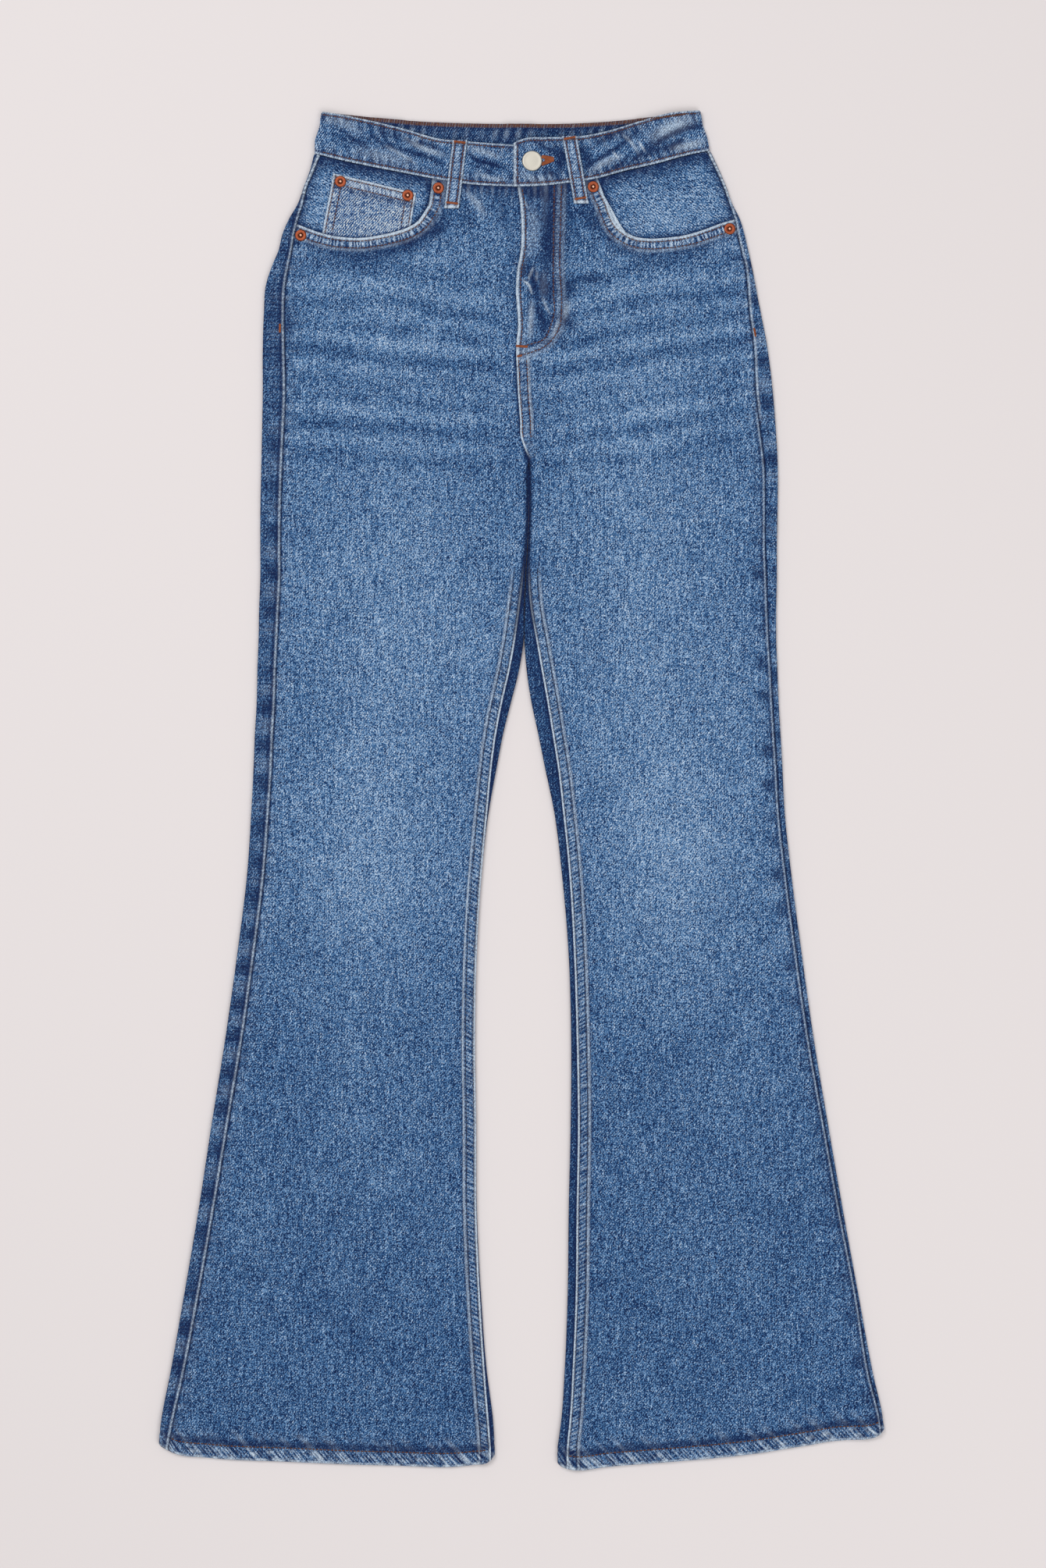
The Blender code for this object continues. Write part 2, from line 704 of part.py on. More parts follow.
def front_grid(side):
    """The front from its upper edge to the hem."""
    top = front_top_row(side)
    start, end = top[len(SIDE_OFFSETS) - 1, 0], top[-len(CENTRE_OFFSETS), 0]
    mouth_shares = (top[len(SIDE_OFFSETS) : -len(CENTRE_OFFSETS), 0] - start) / (end - start)
    level_row = front_row(side, ("slant", (SCOOP_LEVEL, SCOOP_LEVEL)), mouth_shares)
    fade = np.linspace(1.0, 0.0, FRONT_MID + 2)[1:-1]
    by_side = np.concatenate([np.ones(len(SIDE_OFFSETS)), fade, np.zeros(len(CENTRE_OFFSETS))])
    rows = []
    for share in MOUTH_ROWS:
        row = top * (1.0 - share) + level_row * share
        y_side = top[0, 1] + (SCOOP_LEVEL - top[0, 1]) * share
        y_centre = top[-1, 1] + (SCOOP_LEVEL - top[-1, 1]) * share
        side_shift = float(side_seam_x(side, y_side, SEAM_GAP / 2.0)) - row[0, 0]
        centre_shift = float(front_end_x(side, y_centre)) - row[-1, 0]
        row[:, 0] += side_shift * by_side + centre_shift * (1.0 - by_side)
        rows.append(row)
    lower = [("slant", pair) for pair in FRONT_HIP_ROWS] + leg_rows()
    rows += [front_row(side, row, mouth_shares) for row in lower]
    grid = np.array(rows)
    x, y, share = grid[..., 0], grid[..., 1], grid[..., 2]
    return np.stack([x, y, side.front_top(x, y) * share], -1)


def back_row(side, row, hip_floor):
    """One row of the back: from the side seam, round the fold, along the surface, to the inside."""
    outer = settled(row, side, back_side_columns, FOLD_COLUMN_COUNT)
    inner = settled(row, side, back_centre_columns, FOLD_COLUMN_COUNT)
    start_x = outer[-1, 0]
    leg_x = start_x + (inner[0, 0] - start_x) * LEG_FLOOR_SHARE
    hip_x = -side.inward * np.minimum(hip_floor, abs(start_x) - HIP_FLOOR_ROOM)
    x = leg_x + (hip_x - leg_x) * float(ease((outer[-1, 1] - 200.0) / 60.0))
    floor = np.stack([x, row_height(row, x, side), np.zeros(len(x))], -1)
    return np.concatenate([outer, floor, inner])


def wrapped_grid(side, rows, hip_floor, rise):
    """A back piece: on the surface or rise above it, and up the folds to the top's level."""
    grid = np.array([back_row(side, row, hip_floor) for row in rows])
    x, y, share = grid[..., 0], grid[..., 1], grid[..., 2]
    low = rise(x, y)
    return np.stack([x, y, low + (side.level(x, y) - low) * share], -1)


def back_grid(side):
    """The back from the yoke seam to the hem."""
    rows = [("yoke", value) for value in YOKE_BELOW]
    rows += [("slant", pair) for pair in BACK_TOP_ROWS + BACK_HIP_ROWS]
    return wrapped_grid(side, rows + leg_rows(), HIP_FLOOR_X, side.pocket_rise)


def yoke_grid(side):
    """The yoke between the waistband and the back."""
    rows = [("band", value) for value in YOKE_ROWS] + [("yoke", -SEAM_GAP / 2.0)]
    return wrapped_grid(side, rows, YOKE_FLOOR_X, side.yoke_rise)


def facing_grid(side):
    """The facing between the side seam, the waistband and a line hidden under the front."""
    mouth = mouth_points(side)
    line = resample(mouth, np.linspace(0.0, curve_length(mouth) - FACING_UNDER, 13))
    slope = np.gradient(line, axis=0)
    normal = np.stack([slope[:, 1], -slope[:, 0]], -1) * side.inward
    hidden = line + FACING_UNDER * normal / np.hypot(*normal.T)[:, None]
    low_y = mouth[0][1] - FACING_UNDER
    corner_y = 528.0
    for _ in range(8):
        corner_x = float(side_seam_x(side, corner_y, 2.0 * SEAM_GAP))
        corner_y = float(edge_y(side.band_bottom, corner_x)) - SEAM_GAP
    seam_y = np.linspace(low_y + 7.0, corner_y, 6)
    band_x = np.linspace(corner_x, hidden[-1, 0], 8)
    edge_x = np.concatenate([side_seam_x(side, seam_y[:-1], 2.0 * SEAM_GAP), band_x])
    edge_h = np.concatenate([seam_y[:-1], edge_y(side.band_bottom, band_x) - SEAM_GAP])
    shares = np.array((0.0, 0.12, 0.35, 0.6, 0.8, 1.0))[:, None]
    x = edge_x * (1.0 - shares) + hidden[:, 0] * shares
    y = edge_h * (1.0 - shares) + hidden[:, 1] * shares
    y[:, 0] = seam_y[0] + (low_y - seam_y[0]) * shares[:, 0]
    x[:, 0] = side_seam_x(side, y[:, 0], 2.0 * SEAM_GAP)
    return np.stack([x, y, side.facing_top(x, y)], -1)


def coin_grid(side):
    """The coin pocket, laid on the facing's points."""
    down = np.linspace(0.0, 1.0, 8)
    left_edge = resample(((-156.0, 513.5), (-158.0, 502.0), (-165.0, 465.0), (-166.5, 455.0)), down * 59.8)
    right_edge = resample(((-87.0, 497.0), (-91.0, 472.5), (-92.0, 464.0)), down * 33.4)
    across = np.linspace(0.0, 1.0, 8)[None, :, None]
    page = left_edge[:, None] * (1.0 - across) + right_edge[:, None] * across
    page[..., 1] -= 6.0 * 4.0 * across[..., 0] * (1.0 - across[..., 0]) * down[:, None] ** 2
    x, y = page[..., 0], page[..., 1]
    return np.stack([x, y, side.facing_top(x, y) + LAYER_GAP + COIN], -1)


def shield_grid(side):
    """The fly shield, flat behind the fly."""
    x = np.linspace(-12.0, 27.0, 5)[None, :] * np.ones((9, 1))
    y = np.linspace(500.5, 372.0, 9)[:, None] * np.ones((1, 5))
    return np.stack([x, y, side.stack(x, y) - CLOTH + SHIELD], -1)


def zip_grid(side):
    """The closed zip, on the shield beside the right front's edge."""
    y = np.linspace(500.0, 374.0, 12)[:, None] * np.ones((1, 4))
    start = front_end_x(Side("right"), y[:, :1]) + 0.4
    x = start + (26.0 - start) * np.linspace(0.0, 1.0, 4)[None, :]
    return np.stack([x, y, side.stack(x, y) - CLOTH + SHIELD + LAYER_GAP + ZIP], -1)


def pocket_grid(side):
    """A back patch pocket, flat on the surface, with a shallow point at the bottom."""
    across = np.linspace(0.0, 1.0, 7)[None, :]
    down = np.linspace(0.0, 1.0, 6)[:, None]
    x = -side.inward * (POCKET_OUTER_X + (POCKET_INNER_X - POCKET_OUTER_X) * across)
    x = x * np.ones_like(down)
    top = yoke_y(x) - POCKET_BELOW_YOKE
    bottom = POCKET_SIDE_BOTTOM + (POCKET_TIP - POCKET_SIDE_BOTTOM) * (1.0 - np.abs(2.0 * across - 1.0))
    return np.stack([x, top + (bottom - top) * down, np.zeros_like(x)], -1)


def band_row(level):
    """One row along the strip, from the underlap round the back to the overlap."""
    fold_x = {name: float(np.interp(level, BAND_FOLD_LEVELS, BAND_FOLD_X[name])) for name in BAND_FOLD_X}
    turn = np.linspace(math.pi / 2.0, -math.pi / 2.0, 7)
    arc_x = BAND_FOLD_RADIUS * (1.0 - np.cos(turn))
    arc_z = BAND_FOLD_RADIUS * (1.0 + np.sin(turn))
    right_x = fold_x["right"] + BAND_FOLD_RADIUS
    left_x = fold_x["left"] - BAND_FOLD_RADIUS
    front_x = np.concatenate([np.array((UNDERLAP_END, 8.0, -6.0)), np.linspace(-22.0, right_x + 8.0, 9)])
    bumps = np.concatenate([spot + np.array((-17.0, -8.0, 8.0, 17.0)) for spot in (-110.0, 0.0, 110.0)])
    back_x = np.sort(np.concatenate([bumps, np.array((-145.0, -62.0, -40.0, 40.0, 62.0, 138.0))]))
    overlap_x = np.concatenate([np.linspace(left_x - 8.0, 66.0, 5), np.arange(58.0, 20.0, -7.0)])
    overlap_x = np.concatenate([overlap_x, np.array((14.0, 6.0, 0.0, OVERLAP_END + 2.0, OVERLAP_END))])
    x = np.concatenate([front_x, fold_x["right"] + arc_x, back_x, fold_x["left"] - arc_x[::-1], overlap_x])
    rises = [np.clip((17.0 - np.abs(back_x - spot)) / 9.0, 0.0, 1.0) for spot in (-110.0, 0.0, 110.0)]
    front_z = np.full_like(front_x, BAND_TOP)
    z = np.concatenate([front_z, arc_z, BACK_LOOP_RISE * sum(rises), arc_z[::-1]])
    z = np.concatenate([z, Side("left").band_top(overlap_x)])
    counts = (len(front_x), len(arc_x), len(back_x), len(arc_x), len(overlap_x))
    return x, z, counts


def band_grid():
    """The waistband: each row's height on the page runs between the strip's two edges."""
    rows = []
    for level in np.linspace(0.0, 1.0, 5):
        x, z, counts = band_row(level)
        weight = np.concatenate([
            np.ones(counts[0]),
            np.linspace(1.0, 0.0, counts[1]),
            np.zeros(counts[2]),
            np.linspace(0.0, 1.0, counts[3]),
            np.ones(counts[4]),
        ])
        right_y = edge_y(BAND_TOP_EDGE["right"], x) * (1 - level) + edge_y(BAND_BOTTOM_EDGE["right"], x) * level
        left_y = edge_y(BAND_TOP_EDGE["left"], x) * (1 - level) + edge_y(BAND_BOTTOM_EDGE["left"], x) * level
        is_left = np.arange(len(x)) >= sum(counts[:3])
        front_y = np.where(is_left, left_y, right_y)
        back_y = edge_y(BAND_BACK_TOP, x) * (1 - level) + edge_y(BAND_BACK_BOTTOM, x) * level
        rows.append(np.stack([x, back_y + (front_y - back_y) * weight, z], -1))
    return np.array(rows)


def grid_faces(rows, columns, flip):
    """Quads of a grid, turned so that they face outwards."""
    index = np.arange(rows * columns).reshape(rows, columns)
    quads = np.stack([index[:-1, :-1], index[1:, :-1], index[1:, 1:], index[:-1, 1:]], -1).reshape(-1, 4)
    return (quads[:, ::-1] if flip else quads).tolist()


def make_material(name):
    colour, roughness, metallic = MATERIALS[name]
    material = bpy.data.materials.get(name) or bpy.data.materials.new(name)
    material.use_nodes = True
    shader = material.node_tree.nodes["Principled BSDF"]
    shader.inputs["Base Color"].default_value = (*colour, 1.0)
    shader.inputs["Roughness"].default_value = roughness
    shader.inputs["Metallic"].default_value = metallic
    return material


def add_object(name, mesh, collection, material):
    """Puts the mesh into the scene under this name, shaded smooth."""
    mesh.materials.append(make_material(material))
    mesh.shade_smooth()
    mesh.set_sharp_from_angle(angle=math.radians(40.0))
    item = bpy.data.objects.new(name, mesh)
    collection.objects.link(item)
    return item


def make_sheet(name, grid, wall, collection, material, up=True, thick=None):
    """A cloth piece: the grid is its outer face, and Solidify gives the wall inwards.

    thick holds the wall's share at each point where it isn't the same all over.
    """
    rows, columns = grid.shape[:2]
    points = grid.reshape(-1, 3)
    first = np.cross(grid[1, 0] - grid[0, 0], grid[0, 1] - grid[0, 0])
    middle = grid[rows // 2, columns // 2]
    across = grid[rows // 2, columns // 2 + 1] - middle
    down = grid[rows // 2 + 1, columns // 2] - middle if rows // 2 + 1 < rows else first
    faces_up = np.cross(down, across)[2] > 0
    mesh = bpy.data.meshes.new(name)
    mesh.from_pydata((points * MM).tolist(), [], grid_faces(rows, columns, faces_up != up))
    item = add_object(name, mesh, collection, material)
    solid = item.modifiers.new("wall", "SOLIDIFY")
    solid.thickness = wall * MM
    solid.offset = -1.0
    solid.use_even_offset = True
    if thick is not None:
        group = item.vertex_groups.new(name="wall")
        for index, share in enumerate(thick.reshape(-1)):
            group.add([index], float(share), "REPLACE")
        solid.vertex_group = group.name
    return item


def hem_walls(grid):
    """The wall's share: whole in the turned-up hem, and one cloth above it."""
    share = np.full(grid.shape[:2], CLOTH / HEM_WALL)
    share[-2:] = 1.0
    return share


def surface_tree(grids):
    """The upper faces of the given grids, to lay the fastenings on."""
    points, faces = [], []
    for grid in grids:
        rows, columns = grid.shape[:2]
        start = len(points)
        points += [Vector(point) for point in grid.reshape(-1, 3)]
        faces += [[start + corner for corner in face] for face in grid_faces(rows, columns, False)]
    return BVHTree.FromPolygons(points, faces)


def height_at(tree, x, y):
    """Top of the cloth at this place, or 0 off its edge."""
    spot = tree.ray_cast(Vector((x, y, 60.0)), Vector((0.0, 0.0, -1.0)))[0]
    return spot.z if spot else 0.0


def seat_height(tree, x, y, radius):
    """Highest cloth under a round piece."""
    turns = np.linspace(0.0, 2.0 * math.pi, 13)[:-1]
    spots = [(x, y)] + [(x + radius * math.cos(t), y + radius * math.sin(t)) for t in turns]
    return max(height_at(tree, *spot) for spot in spots)


def turned_piece(name, profile, place, collection, material, steps=24):
    """A round piece: a profile of (radius, height) from the top down, turned about Z."""
    mesh = bpy.data.meshes.new(name)
    points = [(radius * MM, 0.0, height * MM) for radius, height in profile]
    mesh.from_pydata(points, [(i, i + 1) for i in range(len(points) - 1)], [])
    item = add_object(name, mesh, collection, material)
    item.location = Vector(place) * MM
    screw = item.modifiers.new("turn", "SCREW")
    screw.steps = steps
    screw.render_steps = steps
    screw.use_merge_vertices = True
    screw.merge_threshold = 0.00005
    return item


def rivet_profile():
    """A burr: a raised nub in a dished ring."""
    return (
        (0.0, 1.5),
        (1.4, 1.3),
        (2.2, 0.7),
        (3.9, 1.3),
        (5.0, 1.1),
        (RIVET_RADIUS, 0.0),
        (0.0, 0.0),
    )


def button_profile():
    """A shank button: a dished cap with a rolled rim."""
    return (
        (0.0, 2.0),
        (5.2, 2.1),
        (6.0, 2.6),
        (7.4, 2.6),
        (8.2, 2.1),
        (BUTTON_RADIUS, 1.4),
        (8.0, 0.7),
        (5.0, 0.0),
        (0.0, 0.0),
    )


def front_loop_grid(tree, top, bottom, x_top, x_bottom):
    """A belt loop on the front: its inner face lies on the band, then steps down to the panel."""
    down = np.concatenate([np.linspace(0.0, 0.58, 5), np.linspace(0.64, 1.0, 5)])
    centre = x_top + (x_bottom - x_top) * down
    heights = top + (bottom - top) * down
    across = np.linspace(-LOOP_WIDTH / 2.0, LOOP_WIDTH / 2.0, 5)
    rows = []
    for x_mid, y in zip(centre, heights):
        spots = [height_at(tree, x_mid + shift, y + near) for shift in across for near in LOOP_REACH]
        rise = 0.35 * np.cos(np.linspace(-math.pi / 2.0, math.pi / 2.0, 5))
        rows.append([(x_mid + s, y, max(spots) + SEAM_GAP + LOOP + r) for s, r in zip(across, rise)])
    return np.array(rows)


def back_loop_grid(x_mid):
    """A belt loop on the underside, flat on the surface."""
    top = float(edge_y(BAND_BACK_TOP, x_mid)) - 0.5
    bottom = float(edge_y(BAND_BACK_BOTTOM, x_mid)) - 10.0
    x = np.linspace(x_mid - LOOP_WIDTH / 2.0, x_mid + LOOP_WIDTH / 2.0, 4)[None, :] * np.ones((5, 1))
    y = np.linspace(top, bottom, 5)[:, None] * np.ones((1, 4))
    return np.stack([x, y, np.zeros_like(x)], -1)


def build_cloth(collection):
    """Panels, yokes, facings, pockets and waistband; returns the grids that fastenings lie on."""
    tops = []
    for name in ("right", "left"):
        side = Side(name)
        front = front_grid(side)
        back = back_grid(side)
        make_sheet(f"front_panel_{name}", front, HEM_WALL, collection, "denim", thick=hem_walls(front))
        make_sheet(f"back_panel_{name}", back, HEM_WALL, collection, "denim", up=False, thick=hem_walls(back))
        make_sheet(f"back_yoke_{name}", yoke_grid(side), CLOTH, collection, "denim", up=False)
        facing = facing_grid(side)
        make_sheet(f"pocket_facing_{name}", facing, FACING, collection, "denim")
        make_sheet(f"back_pocket_{name}", pocket_grid(side), POCKET, collection, "denim", up=False)
        tops += [front, facing]
    coin = coin_grid(Side("right"))
    make_sheet("coin_pocket", coin, COIN, collection, "denim_worn")
    make_sheet("fly_shield", shield_grid(Side("left")), SHIELD, collection, "denim_dark")
    make_sheet("fly_zip", zip_grid(Side("left")), ZIP, collection, "zip_tape")
    band = band_grid()
    make_sheet("waistband", band, BAND, collection, "denim", up=False)
    return [*tops, coin, band]


def build_loops(tree, collection):
    """Two loops on the front and three on the back."""
    fronts = {
        "right": (540.5, 484.0, -50.5, -57.5),
        "left": (543.5, 488.0, 40.5, 50.5),
    }
    for name, (top, bottom, x_top, x_bottom) in fronts.items():
        grid = front_loop_grid(tree, top, bottom, x_top, x_bottom)
        make_sheet(f"belt_loop_front_{name}", grid, LOOP, collection, "denim_worn")
    for name, x_mid in (("right", -110.0), ("centre", 0.0), ("left", 110.0)):
        make_sheet(f"belt_loop_back_{name}", back_loop_grid(x_mid), BACK_LOOP, collection, "denim", up=False)


def build_fastenings(tree, collection):
    """The shank button and six rivets, each seated on the highest cloth under it."""
    rivets = {
        "rivet_coin_outer": (-150.0, 506.5),
        "rivet_coin_inner": (-94.0, 495.0),
        "rivet_right_pocket_top": (-68.5, 501.0),
        "rivet_right_pocket_side": (-183.0, 461.5),
        "rivet_left_pocket_top": (60.4, 502.0),
        "rivet_left_pocket_side": (174.0, 467.0),
    }
    for name, (x, y) in rivets.items():
        z = seat_height(tree, x, y, RIVET_RADIUS) + SEAM_GAP
        turned_piece(name, rivet_profile(), (x, y, z), collection, "rivet_copper", steps=16)
    x, y = 9.5, 523.0
    z = seat_height(tree, x, y, BUTTON_RADIUS) + SEAM_GAP
    turned_piece("waist_button", button_profile(), (x, y, z), collection, "button_metal")


def main():
    for item in list(bpy.data.objects):
        bpy.data.objects.remove(item)
    collection = bpy.data.collections.new(OBJECT_NAME)
    bpy.context.scene.collection.children.link(collection)
    tree = surface_tree(build_cloth(collection))
    build_loops(tree, collection)
    build_fastenings(tree, collection)


main()
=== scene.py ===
"""The looks of a pair of washed denim jeans that lie flat with the front up.

Every shape is worked out in millimetres in the model's own frame, X across, Y towards the waist and
Z up from the surface, as arrays of points. Right and left are the wearer's own, so the right leg
lies at negative X. A cloth piece is a smooth sheet of points, a height that is added to it for
its puckers and worn ridges, and four values at each point that its denim reads: how faded it is,
how worn, how dark, and how brown. The dark value is painted shade, in seam valleys, stitch
grooves, creases and gaps and under edges, over some dye that stays dark in creases. The fade holds
painted shade too, at the crotch, by the fly and under the waistband, and the pale ridges of
creases are painted highlight over wear.
"""

from __future__ import annotations

import logging
import math
from dataclasses import dataclass, replace
from enum import Enum
from typing import Callable, Dict, List, Sequence, Tuple

import bpy
import numpy as np
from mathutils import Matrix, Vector
from mathutils.bvhtree import BVHTree


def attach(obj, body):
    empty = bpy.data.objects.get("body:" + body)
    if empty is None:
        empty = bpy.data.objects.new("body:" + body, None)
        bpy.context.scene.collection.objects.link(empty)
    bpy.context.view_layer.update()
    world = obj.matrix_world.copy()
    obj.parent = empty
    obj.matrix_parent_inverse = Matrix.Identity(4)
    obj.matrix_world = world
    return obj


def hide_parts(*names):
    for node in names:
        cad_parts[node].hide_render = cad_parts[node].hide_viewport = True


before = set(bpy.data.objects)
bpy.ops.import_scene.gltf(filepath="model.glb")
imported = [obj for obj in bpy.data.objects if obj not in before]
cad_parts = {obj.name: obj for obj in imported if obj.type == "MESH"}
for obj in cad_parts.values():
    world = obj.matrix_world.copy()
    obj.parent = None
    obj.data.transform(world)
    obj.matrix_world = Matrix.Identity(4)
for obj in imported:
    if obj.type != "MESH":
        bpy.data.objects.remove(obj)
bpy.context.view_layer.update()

MM = 0.001
BODY = "root"
log = logging.getLogger("jeans")

Row = Tuple[float, ...]
Array = np.ndarray
Values = np.ndarray | float

# Heights of the layers, as in the solids
CLOTH = 1.1
STACK = 2.5
HIP_RISE = 1.6
FOLD_RADIUS = 2.2
HEM_FOLD_RADIUS = 2.7
HEM_WALL = 1.9
BAND = 2.0
BAND_TOP = 5.9
OVERLAP_TOP = 8.3
BACK_LOOP_RISE = 1.5
POCKET_RISE = 1.3

# Where the legs part and the fly ends, how deep the hem is turned, how far out the yoke seam
# runs, a line across the legs by the hem, a length past any seam's reach, and how many rounds
# find rows whose heights depend on their places.
CROTCH_Y = 277.0
FLY_BOTTOM = 362.0
HEM_DEPTH = 13.0
YOKE_REACH = 185.0
BY_HEM = -540.0
FAR = 60.0
ROUNDS = 6

# How far in from its edge or seam each row of stitches runs
MOUTH_ROWS = (2.9, 8.6)
INSEAM_ROWS = (1.9, 8.2)
CENTRE_FRONT_ROWS = (2.0, 8.6)
FELLED_ROWS = (2.0, 8.4)
HEM_ROW = 11.6
BAND_ROW = 2.7

# Sections down each leg: the outer and inner edge, and how far the back panel wraps over each
# fold to its seam, along the cloth from the fold's outermost line.
LEG_COLUMNS = ("y", "outer", "side_wrap", "inner", "inseam_wrap")
RIGHT_SECTIONS: Tuple[Row, ...] = (
    (-548, -302, 10, -21.5, 4.8),
    (-525, -299.5, 11.8, -23, 5),
    (-486, -292, 12.8, -28, 3),
    (-421, -280.5, 13.8, -33, 2.2),
    (-350, -268.5, 14.3, -36.5, 1.5),
    (-278, -257.5, 15.3, -37, 1.2),
    (-206, -246, 15.8, -38, 1),
    (-135, -236, 15.8, -36.5, 1),
    (-70, -228, 15.8, -32.5, 1),
    (-18, -224.5, 16.3, -26.5, 2.4),
    (21, -222.5, 16.8, -19.5, 5.6),
    (47, -221.5, 16.8, -14.5, 7),
    (73, -220, 16.8, -8, 8.5),
    (99, -219.5, 17, -1.5, 9),
    (125, -218.5, 17.3, 2.5, 8.2),
    (151, -218, 18, 3, 5),
    (177, -217, 18.3, 4, 2.8),
    (203, -217, 18.3, 5.5, 1.5),
    (229, -217, 18.5, 6.5, 0.8),
    (277, -216, 19, 6.5, 0.2),
    (333, -215, 20.3, 6.5, 0.2),
    (365, -215, 19.8, 6.5, 0.2),
    (398, -214, 18.3, 6.5, 0.2),
    (420, -212.5, 17.8, 6.5, 0.2),
    (437, -207.1, 15.3, 6.5, 0.2),
    (450, -201.7, 12.8, 6.5, 0.2),
    (463, -198.6, 11.8, 6.5, 0.2),
    (476, -193, 9.3, 6.5, 0.2),
    (489, -185.5, 5.8, 6.5, 0.2),
    (502, -181, 4.3, 6.5, 0.2),
    (515, -176, 4.8, 6.5, 0.2),
    (530, -172, 6.8, 6.5, 0.2),
)
LEFT_SECTIONS: Tuple[Row, ...] = (
    (-548, 304, 3.3, 30.6, 9.2),
    (-525, 302, 3.9, 33.8, 8.2),
    (-486, 293.5, 4.5, 36.5, 7.8),
    (-421, 281.5, 3, 39.1, 7.9),
    (-350, 268.5, 3.7, 40, 7.8),
    (-278, 256, 4.4, 41.6, 7.3),
    (-206, 244, 5.2, 42, 5.8),
    (-135, 234, 5.5, 39.8, 5.7),
    (-70, 225.5, 5.6, 34.3, 7.3),
    (-18, 220, 5.8, 27.8, 8.6),
    (21, 218, 6, 19.7, 12.1),
    (47, 216.5, 6.2, 14.5, 13.1),
    (73, 215, 6.3, 8.9, 14.5),
    (99, 214, 6.6, 5, 13.7),
    (125, 213, 7.3, 3.1, 11),
    (151, 213, 8.5, 3.4, 6),
    (177, 213.5, 9.8, 4.4, 2.8),
    (203, 213.5, 10.8, 5.9, 1.2),
    (229, 214, 11.3, 6.9, 0.6),
    (277, 214, 12.5, 6.9, 0.2),
    (294, 213, 13.8, 8, 0.2),
    (333, 210, 15.3, 8, 0.2),
    (372, 205, 12.3, 8, 0.2),
    (398, 200, 10.7, 8, 0.2),
    (424, 195, 7.8, 8, 0.2),
    (437, 192.5, 6.8, 8, 0.2),
    (450, 189.5, 7.3, 8, 0.2),
    (463, 186.5, 7.3, 8, 0.2),
    (476, 182.5, 5.8, 8, 0.2),
    (489, 176, 3.8, 8, 0.2),
    (502, 171.5, 3.8, 8, 0.2),
    (515, 166, 4, 8, 0.2),
    (533, 157.5, 4.4, 8, 0.2),
)

# Edges as they lie, rows of (x, y)
BAND_TOP_RIGHT = ((-166, 565), (-147.5, 562), (-121.5, 556.5), (-95.5, 550), (-69.5, 542.5))
BAND_TOP_RIGHT += ((-43.5, 540), (-11, 537.5), (25, 536))
BAND_TOP_LEFT = ((-8, 536.5), (-4.5, 539), (3, 542), (21.5, 543), (47.5, 544))
BAND_TOP_LEFT += ((73.5, 549), (99.5, 557), (125.5, 564), (150, 566))
BAND_BOTTOM_RIGHT = ((-172, 530), (-147.5, 524), (-121.5, 518.5), (-95.5, 513.5))
BAND_BOTTOM_RIGHT += ((-69.5, 508.5), (-43.5, 504.5), (-6, 502.5), (25, 502))
BAND_BOTTOM_LEFT = ((-8, 502), (21.5, 503), (41, 505.5), (60.5, 508.5), (86.5, 515.5))
BAND_BOTTOM_LEFT += ((112.5, 521.5), (138.5, 528.5), (157.5, 532.5))
BAND_BACK_TOP = ((-166, 565), (-147.5, 563), (-108.5, 559), (-82.5, 557), (-43.5, 555.5))
BAND_BACK_TOP += ((0, 555), (47.5, 555.5), (73.5, 557), (112.5, 561), (150, 566))
BAND_BACK_BOTTOM = ((-172, 530), (-160, 527.2), (-147.5, 525), (-128, 522.7))
BAND_BACK_BOTTOM += ((-108.5, 521), (-60, 519), (0, 518.5), (60, 519.5))
BAND_BACK_BOTTOM += ((112.5, 524), (138.5, 528.5), (157.5, 532.5))
MOUTH_RIGHT = ((-183.5, 470), (-173.5, 466), (-160.5, 462), (-147.5, 460), (-134.5, 459.5))
MOUTH_RIGHT += ((-121.5, 461), (-108.5, 463.5), (-95.5, 467.5), (-86, 473), (-80.5, 480.5))
MOUTH_RIGHT += ((-76.5, 487.5), (-75, 495.5), (-74, 508.5))
MOUTH_LEFT = ((167.5, 472), (158, 468.5), (145, 464), (132, 461), (119, 459.5))
MOUTH_LEFT += ((106, 459), (94, 461), (86.5, 465), (80, 471), (76, 479))
MOUTH_LEFT += ((72, 490), (67, 500), (64.5, 508.5))
CENTRE_FRONT = ((275.5, 7.2), (281, 4.5), (287.5, 2), (294, 0), (307, -0.5), (320, -1.5))
CENTRE_FRONT += ((333, -2.5), (346, -3), (370, -3.8), (385, -2.5), (420, -4))
CENTRE_FRONT += ((433, -3), (446, -0.5), (463, 0.5), (487, -0.5), (503, -3))
CENTRE_BACK = ((275, 7.2), (285, 6), (300, 3.5), (320, 1), (340, 0), (520, 0))
HEM_RIGHT = ((-303, -545), (-289, -552.5), (-261, -556.5), (-192, -560))
HEM_RIGHT += ((-110, -563), (-40, -562.5), (-27, -560), (-21, -555))
HEM_LEFT = ((30, -561.5), (37, -565), (48, -567), (69, -564.5), (125, -560))
HEM_LEFT += ((169, -556.2), (202, -552.3), (225, -548.5), (240, -546.2), (251, -544.2))
HEM_LEFT += ((262, -542.3), (278, -541.5), (291, -540.6), (298, -538), (304, -533))

# Rows of stitches on the fly, (x, y) from the waistband down to the centre seam
J_OUTER = ((34, 503), (33, 463), (32.5, 437), (34, 398), (33, 388), (29, 378.5))
J_OUTER += ((21.5, 370), (8.5, 364), (-2.5, 361))
J_INNER = ((28, 503), (27.5, 463), (27.5, 411), (28, 398), (24.5, 385), (20, 375.5))
J_INNER += ((8.5, 371), (0.5, 369))

# Fades over the hips: the height of each dark line 100 mm out from the centre, its strength and
# half its depth.
WHISKER_COLUMNS = ("y", "strength", "half_depth")
WHISKERS = (
    (431, 0.6, 6),
    (403, 0.9, 5),
    (382, 0.7, 5),
    (359, 1, 6),
    (335, 0.8, 5),
    (320, 0.6, 5),
    (299, 0.9, 6),
    (278, 0.7, 6),
)
